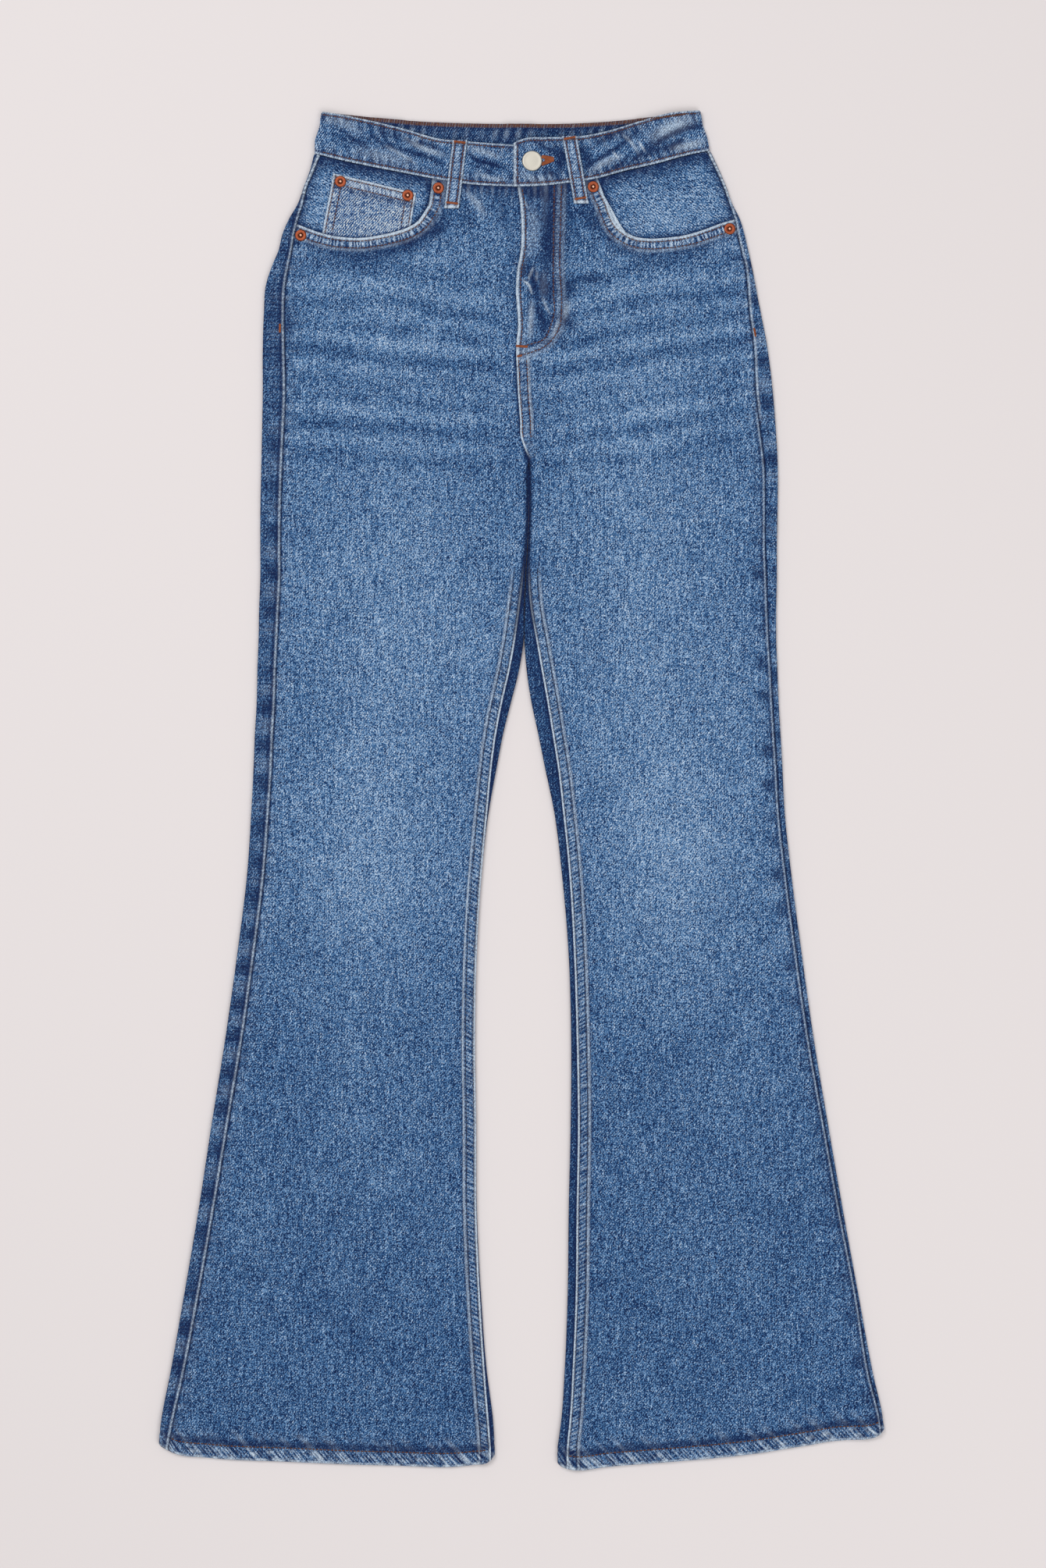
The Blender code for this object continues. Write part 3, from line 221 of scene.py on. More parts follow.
# How light the cloth is down the front: by the middle of the leg and by its edges
LIGHTNESS = (
    (-560, 0.245, 0.235),
    (-447, 0.265, 0.245),
    (-285, 0.302, 0.272),
    (-200, 0.322, 0.292),
    (-155, 0.372, 0.312),
    (-110, 0.442, 0.342),
    (-70, 0.502, 0.362),
    (-18, 0.500, 0.360),
    (73, 0.470, 0.370),
    (164, 0.460, 0.370),
    (242, 0.430, 0.360),
    (320, 0.410, 0.350),
    (437, 0.370, 0.340),
    (520, 0.330, 0.320),
)

# Creases, listed: a run of (x, y), half the width, and how dark or, below 0, how pale
# The dark ones paint shade, in creases, beside edges and below the loops; the pale ones paint
# highlight on ridges, over wear.
BAND_CREASES_AND_SHADE = (
    (((-128.1, 550.6), (-119, 540.1), (-100.8, 533.6), (-82.5, 528.5), (-65.7, 522)), 2.6, 0.45),
    (((-90.4, 531.1), (-77.4, 527.1), (-65.7, 522.6)), 1.8, 0.35),
    (((-100.8, 545.4), (-90.4, 538.9), (-77.4, 537.6), (-61.8, 531.1)), 2.2, 0.55),
    (((-95.5, 542.1), (-80, 533.6), (-64.4, 528.5)), 2.4, -0.35),
    (((-43.6, 529.8), (-37.1, 524.6), (-27.9, 522), (-12.3, 518.1)), 2.4, 0.8),
    (((-42.2, 535), (-30.6, 531.1), (-17.6, 527.1)), 3, -0.25),
    (((-161.8, 558.4), (-147.6, 555.8), (-134.6, 548)), 4, -0.2),
    (((-154.1, 544.1), (-134.6, 538.9), (-119, 541.5)), 5, 0.25),
    (((-119, 549.2), (-108.5, 545.4), (-100.8, 540.1)), 3, 0.35),
    (((-134.6, 531.1), (-115, 527.1), (-95.5, 522)), 6, -0.15),
    (((53.3, 518.1), (63.7, 524.6), (76.7, 532.4), (89.7, 541.5), (94.9, 546)), 2, 0.8),
    (((58.5, 514.1), (68.9, 522), (81.9, 527.1)), 3, -0.3),
    (((106.6, 532.4), (115.7, 540.1), (126.1, 546), (137.8, 550.6), (151.5, 553.1)), 2.6, 1),
    (((110.5, 544.1), (126.1, 551.9), (141.7, 558.4)), 6, -0.35),
    (((97.5, 527.1), (109.2, 531.1), (122.2, 535.6), (133.9, 540.1)), 3, 0.6),
    (((49.4, 535), (54.6, 527.1), (54.6, 516.8)), 4, 0.65),
    (((29.9, 533.6), (33.8, 525.9), (32.5, 515.5)), 5, 0.9),
    (((13, 540.1), (23.4, 532.4), (28.6, 529.8)), 2.5, 0.6),
    (((16.9, 518.1), (24.7, 512.9), (28.6, 509)), 3, 0.5),
    (((98.2, 539.5), (103.4, 531.7)), 0.9, -0.9),
    (((76.7, 531.1), (81.9, 524.6)), 0.9, -0.6),
    (((126.1, 533.6), (139.1, 536.2), (152.1, 539.5)), 3.5, -0.35),
    (((0, 512.9), (11.7, 507.7), (24.7, 509)), 4, -0.2),
    (((-150, 550), (-138, 541), (-126, 533)), 1.6, 0.5),
    (((-120, 552), (-111, 541), (-104, 531)), 1.5, 0.35),
    (((-86, 541), (-80, 545), (-70, 541)), 1.8, -0.4),
    (((-112, 536), (-98, 528), (-88, 522)), 1.6, -0.3),
    (((-40, 521), (-30, 517), (-20, 512)), 1.6, 0.5),
    (((-36, 513), (-24, 509), (-14, 508)), 2, -0.3),
    (((64, 538), (76, 545), (88, 551)), 1.6, 0.6),
    (((92, 523), (100, 530), (108, 540), (114, 549)), 1.6, 0.5),
    (((118, 528), (128, 536), (136, 546)), 1.8, 0.45),
    (((72, 514.5), (84, 522), (92, 531)), 1.5, 0.5),
    (((84, 546), (92, 539), (98, 530)), 1.6, -0.35),
    (((62, 512), (80, 519), (104, 527)), 5, 0.22),
    (((60, 540), (80, 545), (100, 549)), 5, 0.22),
)
FLY_CREASES_AND_SHADE = (
    (((21.4, 497.9), (22.1, 475.8), (22.8, 449.8), (21.4, 434.2)), 6.5, 0.6),
    (((5.9, 436.8), (9.8, 426.4), (13.7, 410.8)), 3.5, 0.5),
    (((-0.7, 438.1), (3.2, 429)), 3, 0.6),
    (((2, 423.8), (6.5, 420.6), (9.1, 413.4)), 0.9, -1),
    (((10.4, 434.2), (6.5, 425.1)), 0.9, -0.8),
    (((13.7, 431.6), (13, 423.8)), 0.9, -0.5),
    (((18.2, 408.9), (21.4, 401.7), (24.1, 396.5)), 1, -0.5),
    (((16.2, 429), (20.2, 418.6), (25.4, 405.6)), 4.5, 0.4),
    (((13.7, 403), (18.9, 390), (19.5, 377)), 3.5, 0.55),
    (((9.1, 405.6), (8.5, 391.3), (7.2, 377)), 2.5, -0.35),
    (((8.5, 484.9), (11.1, 468), (8.5, 447.2)), 6, -0.12),
    (((17, 440), (18, 415), (15, 390)), 9, 0.22),
    (((3.2, 497.9), (13.7, 496.6), (25.4, 494)), 4, 0.6),
    (((3.2, 490.1), (5.9, 484.9)), 0.8, -0.5),
    (((37.1, 423.8), (42.2, 418.6), (38.4, 410.8)), 5, 0.35),
    (((34.5, 393.9), (39.6, 388.7), (47.5, 384.8)), 5, 0.35),
    (((37.1, 393.9), (39.6, 405.6)), 3, -0.3),
    (((44.9, 478.4), (55.2, 481), (60.5, 468)), 6, 0.35),
    (((50.1, 426.4), (57.9, 425.8), (65.7, 426.4)), 5, 0.4),
    (((26.7, 377), (31.9, 390)), 2, -0.3),
)
RIGHT_CREASES_AND_SHADE = (
    (((-44.9, 497.2), (-37.1, 489.4), (-30.6, 479.1)), 3, -0.25),
    (((-48.8, 486.9), (-43.6, 476.4), (-42.2, 466.1)), 6, 0.3),
    (((-20.2, 497.2), (-16.2, 485.6), (-13.7, 468.7)), 8, 0.25),
    (((-63.1, 471.2), (-69.5, 466.1), (-77.4, 462.8)), 5, 0.5),
    (((-104, 455), (-90, 458), (-80, 464)), 5, 0.3),
)


class Hand(Enum):
    """Which of the wearer's sides a piece is on."""

    RIGHT = "right"
    LEFT = "left"


class Facing(Enum):
    """Which way a cloth piece's outer face looks."""

    UP = 1.0
    DOWN = -1.0


# Arrays


def ease(share: Values) -> Values:
    """Smooth step from 0 to 1: three times the square less twice the cube."""
    share = np.clip(share, 0.0, 1.0)
    return share * share * (3.0 - 2.0 * share)


def hump(distance: Values, reach: Values) -> Values:
    """1 at distance 0, falling as a bell to about a third at the reach."""
    return np.exp(-((np.asarray(distance) / reach) ** 2))


def crests(wave: Array) -> Array:
    """A wave's part above 0."""
    return np.maximum(wave, 0.0)


def dips(wave: Array) -> Array:
    """How deep a wave is below 0."""
    return np.maximum(-wave, 0.0)


def grooves(distance: Array, rows: Sequence[float], reach: float = 0.6) -> Array:
    """Grooves that rows of stitches pull in: the sum of a bell at each row's distance."""
    return sum(hump(distance - row, reach) for row in rows)


def smooth(at: Values, known: Sequence[float], values: Sequence[float]) -> Values:
    """Cubic curve through known values, its slopes the mean of the steps beside each.

    Args:
        at: where to read the curve; outside the known range its ends are held.
        known: rising places of the known values.
        values: the value at each place.

    Returns:
        The curve's value at each asked place.
    """
    known = np.asarray(known, float)
    values = np.asarray(values, float)
    slope = np.gradient(values, known)
    at = np.clip(at, known[0], known[-1])
    low = np.clip(np.searchsorted(known, at) - 1, 0, len(known) - 2)
    step = known[low + 1] - known[low]
    t = (at - known[low]) / step
    start = values[low] * (1 + 2 * t) * (1 - t) ** 2 + slope[low] * step * t * (1 - t) ** 2
    end = values[low + 1] * t**2 * (3 - 2 * t) + slope[low + 1] * step * t**2 * (t - 1)
    return start + end


def edge_y(edge: Sequence[Row], x: Values) -> Values:
    """Height on the page of an edge of (x, y) rows."""
    table = np.array(edge)
    return smooth(x, table[:, 0], table[:, 1])


def line_x(line: Sequence[Row], y: Values) -> Values:
    """Place across the page of a line of (y, x) rows."""
    table = np.array(line)
    return smooth(y, table[:, 0], table[:, 1])


def run_length(points: Array) -> float:
    """Length of a run of points."""
    return float(np.hypot(*np.diff(np.array(points, float), axis=0).T).sum())


def along_run(points: Sequence[Row], lengths: Array) -> Array:
    """Points at the given lengths along a smooth curve through a run of points.

    Args:
        points: the (x, y) points of the run.
        lengths: lengths from its start.

    Returns:
        An (x, y) point for each length.
    """
    table = np.array(points, float)
    steps = np.hypot(*np.diff(table, axis=0).T)
    known = np.concatenate([[0.0], np.cumsum(steps)])
    return np.stack([smooth(lengths, known, table[:, 0]), smooth(lengths, known, table[:, 1])], -1)


def paced(points: Sequence[Row], step: float, past: float = 0.0) -> Array:
    """Points at even steps along a smooth curve through a run, to its end and a bit past."""
    return along_run(points, np.arange(0.0, run_length(points) + past, step))


def cloud(x: Array, y: Array, size: float, seed: int) -> Array:
    """Soft random blotches from -1 to 1, a table of seeded values eased between its corners.

    Args:
        x: places across, in millimetres.
        y: places up, in millimetres.
        size: width of a blotch.
        seed: seed of the table.

    Returns:
        The blotches' value at each place.
    """
    table = np.random.default_rng(seed).random((64, 64)) * 2.0 - 1.0
    u, v = np.asarray(x) / size + 1000.0, np.asarray(y) / size + 1000.0
    i, j = np.floor(u).astype(int), np.floor(v).astype(int)
    s, t = ease(u - i), ease(v - j)
    low = table[i % 64, j % 64] * (1 - s) + table[(i + 1) % 64, j % 64] * s
    high = table[i % 64, (j + 1) % 64] * (1 - s) + table[(i + 1) % 64, (j + 1) % 64] * s
    return low * (1 - t) + high * t


def ripple(along: Array, period: float, seed: int) -> Array:
    """Uneven waves along a seam, -1 to 1: five sines with seeded periods and starts.

    Args:
        along: length along the seam.
        period: usual length of a wave.
        seed: seed of the draws.

    Returns:
        The waves' value at each length.
    """
    draws = np.random.default_rng(seed)
    total = np.zeros_like(np.asarray(along, float))
    for _ in range(5):
        length = period * draws.uniform(0.65, 1.6)
        total = total + np.sin(2.0 * math.pi * (along / length + draws.random()))
    return np.clip(total / 2.6, -1.0, 1.0)


def spread(start: float, stop: float, first: float, most: float) -> Array:
    """Rising places from start to stop, close together at the start and wider further on.

    Args:
        start: the first place.
        stop: the last place.
        first: the first step.
        most: the widest step.

    Returns:
        The places, both ends included.
    """
    places = [start]
    step = first
    while places[-1] + step < stop:
        places.append(places[-1] + step)
        step = min(step * 1.22, most)
    return np.array(places + [stop])


def nearest(x: Array, y: Array, run: Array) -> Tuple[Array, Array]:
    """Distance from each place to a run of points, and the length along the run there.

    Args:
        x: places across.
        y: places up.
        run: points of the run, close together.

    Returns:
        The distance and the length along the run, each shaped as x.
    """
    steps = np.concatenate([[0.0], np.cumsum(np.hypot(*np.diff(run, axis=0).T))])
    flat_x, flat_y = np.ravel(x), np.ravel(y)
    away = np.hypot(flat_x[:, None] - run[:, 0], flat_y[:, None] - run[:, 1])
    index = away.argmin(axis=1)
    shape = np.shape(x)
    return away[np.arange(len(index)), index].reshape(shape), steps[index].reshape(shape)


# Finishes


def linear(code: str) -> Tuple[float, float, float, float]:
    """Linear colour of an sRGB hex code, by the sRGB curve.

    Args:
        code: the colour, as #rrggbb.

    Returns:
        Red, green, blue and alpha.
    """
    parts = [int(code[i : i + 2], 16) / 255.0 for i in (1, 3, 5)]
    values = [p / 12.92 if p <= 0.04045 else ((p + 0.055) / 1.055) ** 2.4 for p in parts]
    return (*values, 1.0)


class Graph:
    """A material's node tree while it is being put together."""

    def __init__(self, name: str) -> None:
        """Starts a material of this name with an empty tree.

        Args:
            name: the material's name.
        """
        self.material = bpy.data.materials.new(name)
        self.material.use_nodes = True
        self.tree = self.material.node_tree
        self.tree.nodes.clear()

    def add(
        self, kind: str, settings: Dict[str, object] | None = None, **links: object
    ) -> bpy.types.Node:
        """Adds a node with its settings and links.

        Args:
            kind: the node's type, without ShaderNode in front.
            settings: attributes to set on the node.
            links: for each input, by its name or as in0, in1 by its number, a value or a socket.

        Returns:
            The new node.
        """
        node = self.tree.nodes.new("ShaderNode" + kind)
        for key, value in (settings or {}).items():
            setattr(node, key, value)
        for key, value in links.items():
            by_number = key.startswith("in") and key[2:].isdigit()
            socket = node.inputs[int(key[2:])] if by_number else node.inputs[key.replace("_", " ")]
            if isinstance(value, bpy.types.NodeSocket):
                self.tree.links.new(value, socket)
            else:
                socket.default_value = value
        return node


ADD, SUBTRACT, MULTIPLY, MULTIPLY_ADD, SINE = (
    {"operation": kind} for kind in ("ADD", "SUBTRACT", "MULTIPLY", "MULTIPLY_ADD", "SINE")
)
BLEND, TEXTURE = {"data_type": "RGBA", "clamp_factor": True}, {"vector_type": "TEXTURE"}
NOISE_1D, NOISE_2D = {"noise_dimensions": "1D"}, {"noise_dimensions": "2D"}
CELLS_2D, DOT = {"voronoi_dimensions": "2D"}, {"operation": "DOT_PRODUCT"}


@dataclass(frozen=True)
class Grain:
    """One layer of a cloth's uneven yarns: spots of a size in millimetres, turned from X.

    Crisp spots each have one value, as the crossings of yarns do; the others run into each other.
    """

    long: float
    wide: float
    turn: float
    weight: float
    detail: float = 0.0
    crisp: bool = False


# Floats and crossings of single yarns, slubs along the warp, thick picks along the weft, and two
# sizes of blotch from the wash. The yarns really lie 0.4 mm apart; they are drawn about 0.7 mm
# apart, so that they show.
YARNS = (
    Grain(1.3, 0.5, 54.0, 0.45, crisp=True),
    Grain(0.62, 0.56, 54.0, 1.3, crisp=True),
    Grain(2.6, 0.9, 64.0, 0.12, 1.0),
    Grain(26.0, 1.1, 90.0, 0.5, 1.0),
    Grain(9.0, 1.2, 0.0, 0.1, 1.0),
    Grain(7.0, 4.0, 80.0, 0.05, 2.0),
    Grain(38.0, 26.0, 90.0, 0.1, 2.0),
)


# The coin pocket's cloth, rubbed until its warp is a warm grey over blue
COIN_SHADES = ("#08214f", "#2f5b96", "#668cb8", "#a6bacd", "#e3e8e8")


@dataclass(frozen=True)
class WashedDenim:
    """Ring-spun indigo twill, enzyme washed: pale weft flecks between blue warp yarns.

    The dye sits on the yarns' outside, so it wears to near white on ridges and stays dark in
    creases. The points' dark value mixes in a dark colour that is mostly painted shade, in valleys,
    grooves and gaps and under edges, and the pale colour also paints highlight on crease ridges.
    The twill's lines stand twill_across apart along X and twill_up apart along Y, and
    rise to the right where both are above 0.
    """

    name: str
    grain_turn: float = 0.0
    yarns: Sequence[Grain] = YARNS
    twill_across: float = 2.4
    twill_up: float = 3.2
    twill_weight: float = 0.1
    shades: Sequence[str] = ("#021d4a", "#1f4c80", "#4f7fb1", "#8db0d5", "#cadcef")
    # Pale colour: wear, with painted highlight on crease ridges. Dark colour: painted shade, over
    # dye that stays dark in creases.
    bleached: str = "#cfe0f0"
    creased: str = "#0a1f4c"
    rust: str = "#63402e"

    def build(self) -> bpy.types.Material:
        """Makes the material from the points' wash values and from yarns on Object coordinates.

        Returns:
            The material.
        """
        graph = Graph(self.name)
        place = graph.add("TexCoord").outputs["Object"]
        turn = (0.0, 0.0, math.radians(self.grain_turn))
        page = graph.add("Mapping", Vector=place, Rotation=turn, Scale=(1000.0,) * 3).outputs[0]

        # The twill: a sine of x and y over their two distances, wandering by a slow noise
        rate = (2.0 * math.pi / self.twill_across, -2.0 * math.pi / self.twill_up, 0.0)
        phase = graph.add("VectorMath", DOT, in0=page, in1=rate).outputs["Value"]
        slow = graph.add("TexNoise", NOISE_2D, Vector=page, Scale=0.09, Detail=1.0).outputs[0]
        phase = graph.add("Math", MULTIPLY_ADD, in0=slow, in1=9.0, in2=phase).outputs[0]
        lines = graph.add("Math", SINE, in0=phase).outputs[0]
        texture = graph.add("Math", MULTIPLY, in0=lines, in1=self.twill_weight).outputs[0]

        # The yarns: each layer's value less a half, times its weight
        for yarn in self.yarns:
            turn, size = (0.0, 0.0, math.radians(yarn.turn)), (yarn.long, yarn.wide, 1.0)
            spot = graph.add("Mapping", TEXTURE, Vector=page, Rotation=turn, Scale=size).outputs[0]
            if yarn.crisp:
                cells = graph.add("TexVoronoi", CELLS_2D, Vector=spot, Scale=1.0)
                value = cells.outputs["Color"]
            else:
                noise = graph.add("TexNoise", NOISE_2D, Vector=spot, Scale=1.0, Detail=yarn.detail)
                value = noise.outputs[0]
            centred = graph.add("Math", SUBTRACT, in0=value, in1=0.5).outputs[0]
            links = {"in0": centred, "in1": yarn.weight, "in2": texture}
            texture = graph.add("Math", MULTIPLY_ADD, **links).outputs[0]

        # The rungs of puckered seams: a sine of the count of rungs, wandering, times its strength.
        # Their crests add pale wear and their troughs painted shade
        rungs = graph.add("Attribute", {"attribute_name": "rungs"}).outputs["Vector"]
        count, strength, _ = graph.add("SeparateXYZ", in0=rungs).outputs
        wander = graph.add("TexNoise", NOISE_1D, W=count, Scale=0.4, Detail=2.0).outputs[0]
        turns = graph.add("Math", MULTIPLY, in0=count, in1=2.0 * math.pi).outputs[0]
        turns = graph.add("Math", MULTIPLY_ADD, in0=wander, in1=10.0, in2=turns).outputs[0]
        wave = graph.add("Math", SINE, in0=turns).outputs[0]
        rung = graph.add("Math", MULTIPLY, in0=wave, in1=strength).outputs[0]

        # The dye: from the fade and the texture, then paled by wear and painted highlight, darkened
        # by painted shade over dye that stays dark in creases, and stained, in turn
        wash_and_shade = graph.add("Attribute", {"attribute_name": "wash_and_shade"})
        parts = graph.add("SeparateColor", Color=wash_and_shade.outputs["Color"]).outputs
        shade = graph.add("Math", ADD, in0=parts[0], in1=texture).outputs[0]
        # Painted shade: the dark value, with the rungs' troughs, lowers the ramp and then mixes in
        # the dark colour
        dark = graph.add("Math", MULTIPLY_ADD, in0=rung, in1=-0.8, in2=parts[2]).outputs[0]
        shade = graph.add("Math", MULTIPLY_ADD, in0=dark, in1=-0.36, in2=shade).outputs[0]
        ramp = graph.add("ValToRGB", in0=shade)
        while len(ramp.color_ramp.elements) < len(self.shades):
            ramp.color_ramp.elements.new(0.5)
        for index, (stop, code) in enumerate(zip(ramp.color_ramp.elements, self.shades)):
            stop.position = index / (len(self.shades) - 1)
            stop.color = linear(code)
        worn = graph.add("Math", ADD, in0=parts[1], in1=rung).outputs[0]
        patchy = graph.add("Math", MULTIPLY_ADD, in0=texture, in1=0.9, in2=0.95).outputs[0]
        worn = graph.add("Math", MULTIPLY, in0=worn, in1=patchy).outputs[0]
        dye, pale = ramp.outputs[0], linear(self.bleached)
        colour = graph.add("Mix", BLEND, in0=worn, in6=dye, in7=pale).outputs[2]
        dark = graph.add("Math", MULTIPLY, in0=dark, in1=0.62).outputs[0]
        colour = graph.add("Mix", BLEND, in0=dark, in6=colour, in7=linear(self.creased)).outputs[2]
        stain = graph.add("Math", MULTIPLY_ADD, in0=texture, in1=1.0, in2=0.8).outputs[0]
        stain = graph.add("Math", MULTIPLY, in0=wash_and_shade.outputs["Alpha"], in1=stain).outputs[0]
        colour = graph.add("Mix", BLEND, in0=stain, in6=colour, in7=linear(self.rust)).outputs[2]

        height = graph.add("Math", ADD, in0=texture, in1=rung).outputs[0]
        bump = graph.add("Bump", Strength=0.3, Distance=0.0003, Height=height).outputs[0]
        soft = {"Specular_IOR_Level": 0.25, "Sheen_Weight": 0.05, "Sheen_Roughness": 0.5}
        shader = graph.add("BsdfPrincipled", Base_Color=colour, Normal=bump, Roughness=0.92, **soft)
        graph.add("OutputMaterial", Surface=shader.outputs[0])
        return graph.material


@dataclass(frozen=True)
class Yarn:
    """Dyed corespun thread or woven tape, with a soft shine."""

    name: str
    colour: str
    lighter: str

    def build(self) -> bpy.types.Material:
        """Makes the material: its colour wanders a little along each row, as a washed thread's.

        Returns:
            The material.
        """
        graph = Graph(self.name)
        place = graph.add("TexCoord").outputs["Object"]
        noise = graph.add("TexNoise", Vector=place, Scale=260.0, Detail=2.0).outputs[0]
        dark, light = linear(self.colour), linear(self.lighter)
        colour = graph.add("Mix", BLEND, in0=noise, in6=dark, in7=light).outputs[2]
        shader = graph.add("BsdfPrincipled", Base_Color=colour, Roughness=0.6)
        graph.add("OutputMaterial", Surface=shader.outputs[0])
        return graph.material


@dataclass(frozen=True)
class CastMetal:
    """Plated alloy, die cast and tumbled, so that its edges shine and its pits are dark; its pale
    top is partly a painted highlight and its dark lower sides partly painted shade.
    """

    name: str
    colour: str
    tarnish_and_shade: str
    polished_and_highlight: str

    def build(self) -> bpy.types.Material:
        """Makes the material: the points' shade, above 0, makes it polished with some painted
        highlight, and below 0 darkens it with tarnish and, down its lower sides, painted shade.

        Returns:
            The material.
        """
        graph = Graph(self.name)
        place = graph.add("TexCoord").outputs["Object"]
        blotch = graph.add("TexNoise", Vector=place, Scale=700.0, Detail=3.0).outputs[0]
        shade = graph.add("Attribute", {"attribute_name": "shade"}).outputs["Fac"]
        pits = graph.add("Math", MULTIPLY_ADD, in0=blotch, in1=1.2, in2=-0.6).outputs[0]
        pits = graph.add("Math", SUBTRACT, in0=pits, in1=shade).outputs[0]
        metal = linear(self.colour)
        colour = graph.add("Mix", BLEND, in0=pits, in6=metal, in7=linear(self.tarnish_and_shade)).outputs[2]
        shine = linear(self.polished_and_highlight)
        colour = graph.add("Mix", BLEND, in0=shade, in6=colour, in7=shine).outputs[2]
        bump = graph.add("Bump", Strength=0.2, Distance=0.0001, Height=blotch).outputs[0]
        cast = {"Roughness": 0.55, "Metallic": 1.0}
        shader = graph.add("BsdfPrincipled", Base_Color=colour, Normal=bump, **cast)
        graph.add("OutputMaterial", Surface=shader.outputs[0])
        return graph.material


@dataclass(frozen=True)
class Backdrop:
    """Matt seamless paper in a warm pale grey, one even colour with no gloss."""

    name: str = "pale_paper"
    colour: str = "#eee8e8"

    def build(self) -> bpy.types.Material:
        """Makes the material.

        Returns:
            The material.
        """
        graph, matt = Graph(self.name), {"Roughness": 1.0, "Specular_IOR_Level": 0.0}
        shader = graph.add("BsdfPrincipled", Base_Color=linear(self.colour), **matt)
        graph.add("OutputMaterial", Surface=shader.outputs[0])
        return graph.material


# Meshes


def grid_quads(rows: int, columns: int) -> Array:
    """Corner numbers of the quads of a grid of points, row by row.

    Args:
        rows: rows of points.
        columns: points in a row.

    Returns:
        Four numbers for each quad.
    """
    index = np.arange(rows * columns).reshape(rows, columns)
    low, high = index[:-1], index[1:]
    return np.stack([low[:, :-1], high[:, :-1], high[:, 1:], low[:, 1:]], -1).reshape(-1, 4)


def new_object(
    name: str, points: Array, quads: Array, material: bpy.types.Material
) -> bpy.types.Object:
    """Object with a mesh of points and quads, shaded smooth.

    Args:
        name: the object's name.
        points: the points, in millimetres.
        quads: four corner numbers for each face.
        material: its finish.

    Returns:
        The object, in the scene.
    """
    mesh = bpy.data.meshes.new(name)
    mesh.vertices.add(len(points))
    mesh.vertices.foreach_set("co", (points * MM).astype(np.float32).ravel())
    mesh.loops.add(quads.size)
    mesh.loops.foreach_set("vertex_index", quads.astype(np.int32).ravel())
    mesh.polygons.add(len(quads))
    mesh.polygons.foreach_set("loop_start", np.arange(0, quads.size, 4, dtype=np.int32))
    mesh.update(calc_edges=True)
    mesh.validate()
    mesh.materials.append(material)
    mesh.shade_smooth()
    item = bpy.data.objects.new(name, mesh)
    bpy.context.scene.collection.objects.link(item)
    return item


def face_normals(base: Array, facing: Facing) -> Array:
    """Unit normals of a grid of points, turned so that its middle looks the asked way.

    Args:
        base: the grid's points.
        facing: which way its outer face looks.

    Returns:
        A normal for each point.
    """
    normal = np.cross(np.gradient(base, axis=0), np.gradient(base, axis=1))
    normal /= np.maximum(np.linalg.norm(normal, axis=-1, keepdims=True), 1e-9)
    middle = normal[base.shape[0] // 2, base.shape[1] // 2, 2]
    return normal * (1.0 if middle * facing.value > 0 else -1.0)


@dataclass
class Mark:
    """What a seam, an edge or a crease adds to a sheet, as arrays over its points.

    relief is a height. worn, dark and brown go into the points' wash and shade values: dark is
    painted shade in valleys, grooves and gaps and under edges, and worn is wear with some painted
    highlight on ridges. rungs counts the rungs of its puckers from one end, and rope is how
    strongly they show.
    """

    relief: Values = 0.0
    worn: Values = 0.0
    dark: Values = 0.0
    brown: Values = 0.0
    rungs: Values = 0.0
    rope: Values = 0.0


def gather(marks: Sequence[Mark], like: Array) -> Mark:
    """Sums marks; at each point the strongest rope is kept, less the next, so that none meet.

    Args:
        marks: the marks.
        like: an array of the sheet's shape.

    Returns:
        One mark.
    """
    def stack(name: str) -> Array:
        """One value of every mark."""
        return np.array([np.broadcast_to(getattr(mark, name), like.shape) for mark in marks])

    ropes = stack("rope")
    strongest = ropes.argmax(axis=0)[None]
    next_one = np.sort(ropes, axis=0)[-2] if len(marks) > 1 else 0.0
    totals = [stack(name).sum(axis=0) for name in ("relief", "worn", "dark", "brown")]
    rungs = np.take_along_axis(stack("rungs"), strongest, axis=0)[0]
    return Mark(*totals, rungs, ropes.max(axis=0) - next_one)


def creased(x: Array, y: Array, creases: Sequence[Tuple[Sequence[Row], float, float]]) -> Mark:
    """Listed creases: each a bell across its run, weaker at the run's two ends.

    Args:
        x: places across.
        y: places up.
        creases: for each its run, half its width, and how dark, or below 0 how pale.

    Returns:
        Dark creases as valleys with painted shade, pale ones as ridges with painted highlight and
        wear.
    """
    mark = Mark(*(np.zeros(np.shape(x)) for _ in range(3)))
    for points, width, shade in creases:
        total, run = run_length(points), paced(points, 1.0, 0.5)
        low, high = run.min(axis=0) - 3.0 * width, run.max(axis=0) + 3.0 * width
        near = (x > low[0]) & (x < high[0]) & (y > low[1]) & (y < high[1])
        if not near.any():
            continue
        away, along = nearest(x[near], y[near], run)
        ends = 0.45 + 0.55 * ease(np.minimum(along, total - along) / (0.3 * total))
        bell = hump(away, 0.85 * width) * ends
        mark.relief[near] -= 0.6 * shade * bell
        mark.worn[near] += 1.3 * max(-shade, 0.0) * bell
        mark.dark[near] += 1.35 * max(shade, 0.0) * bell
    return mark


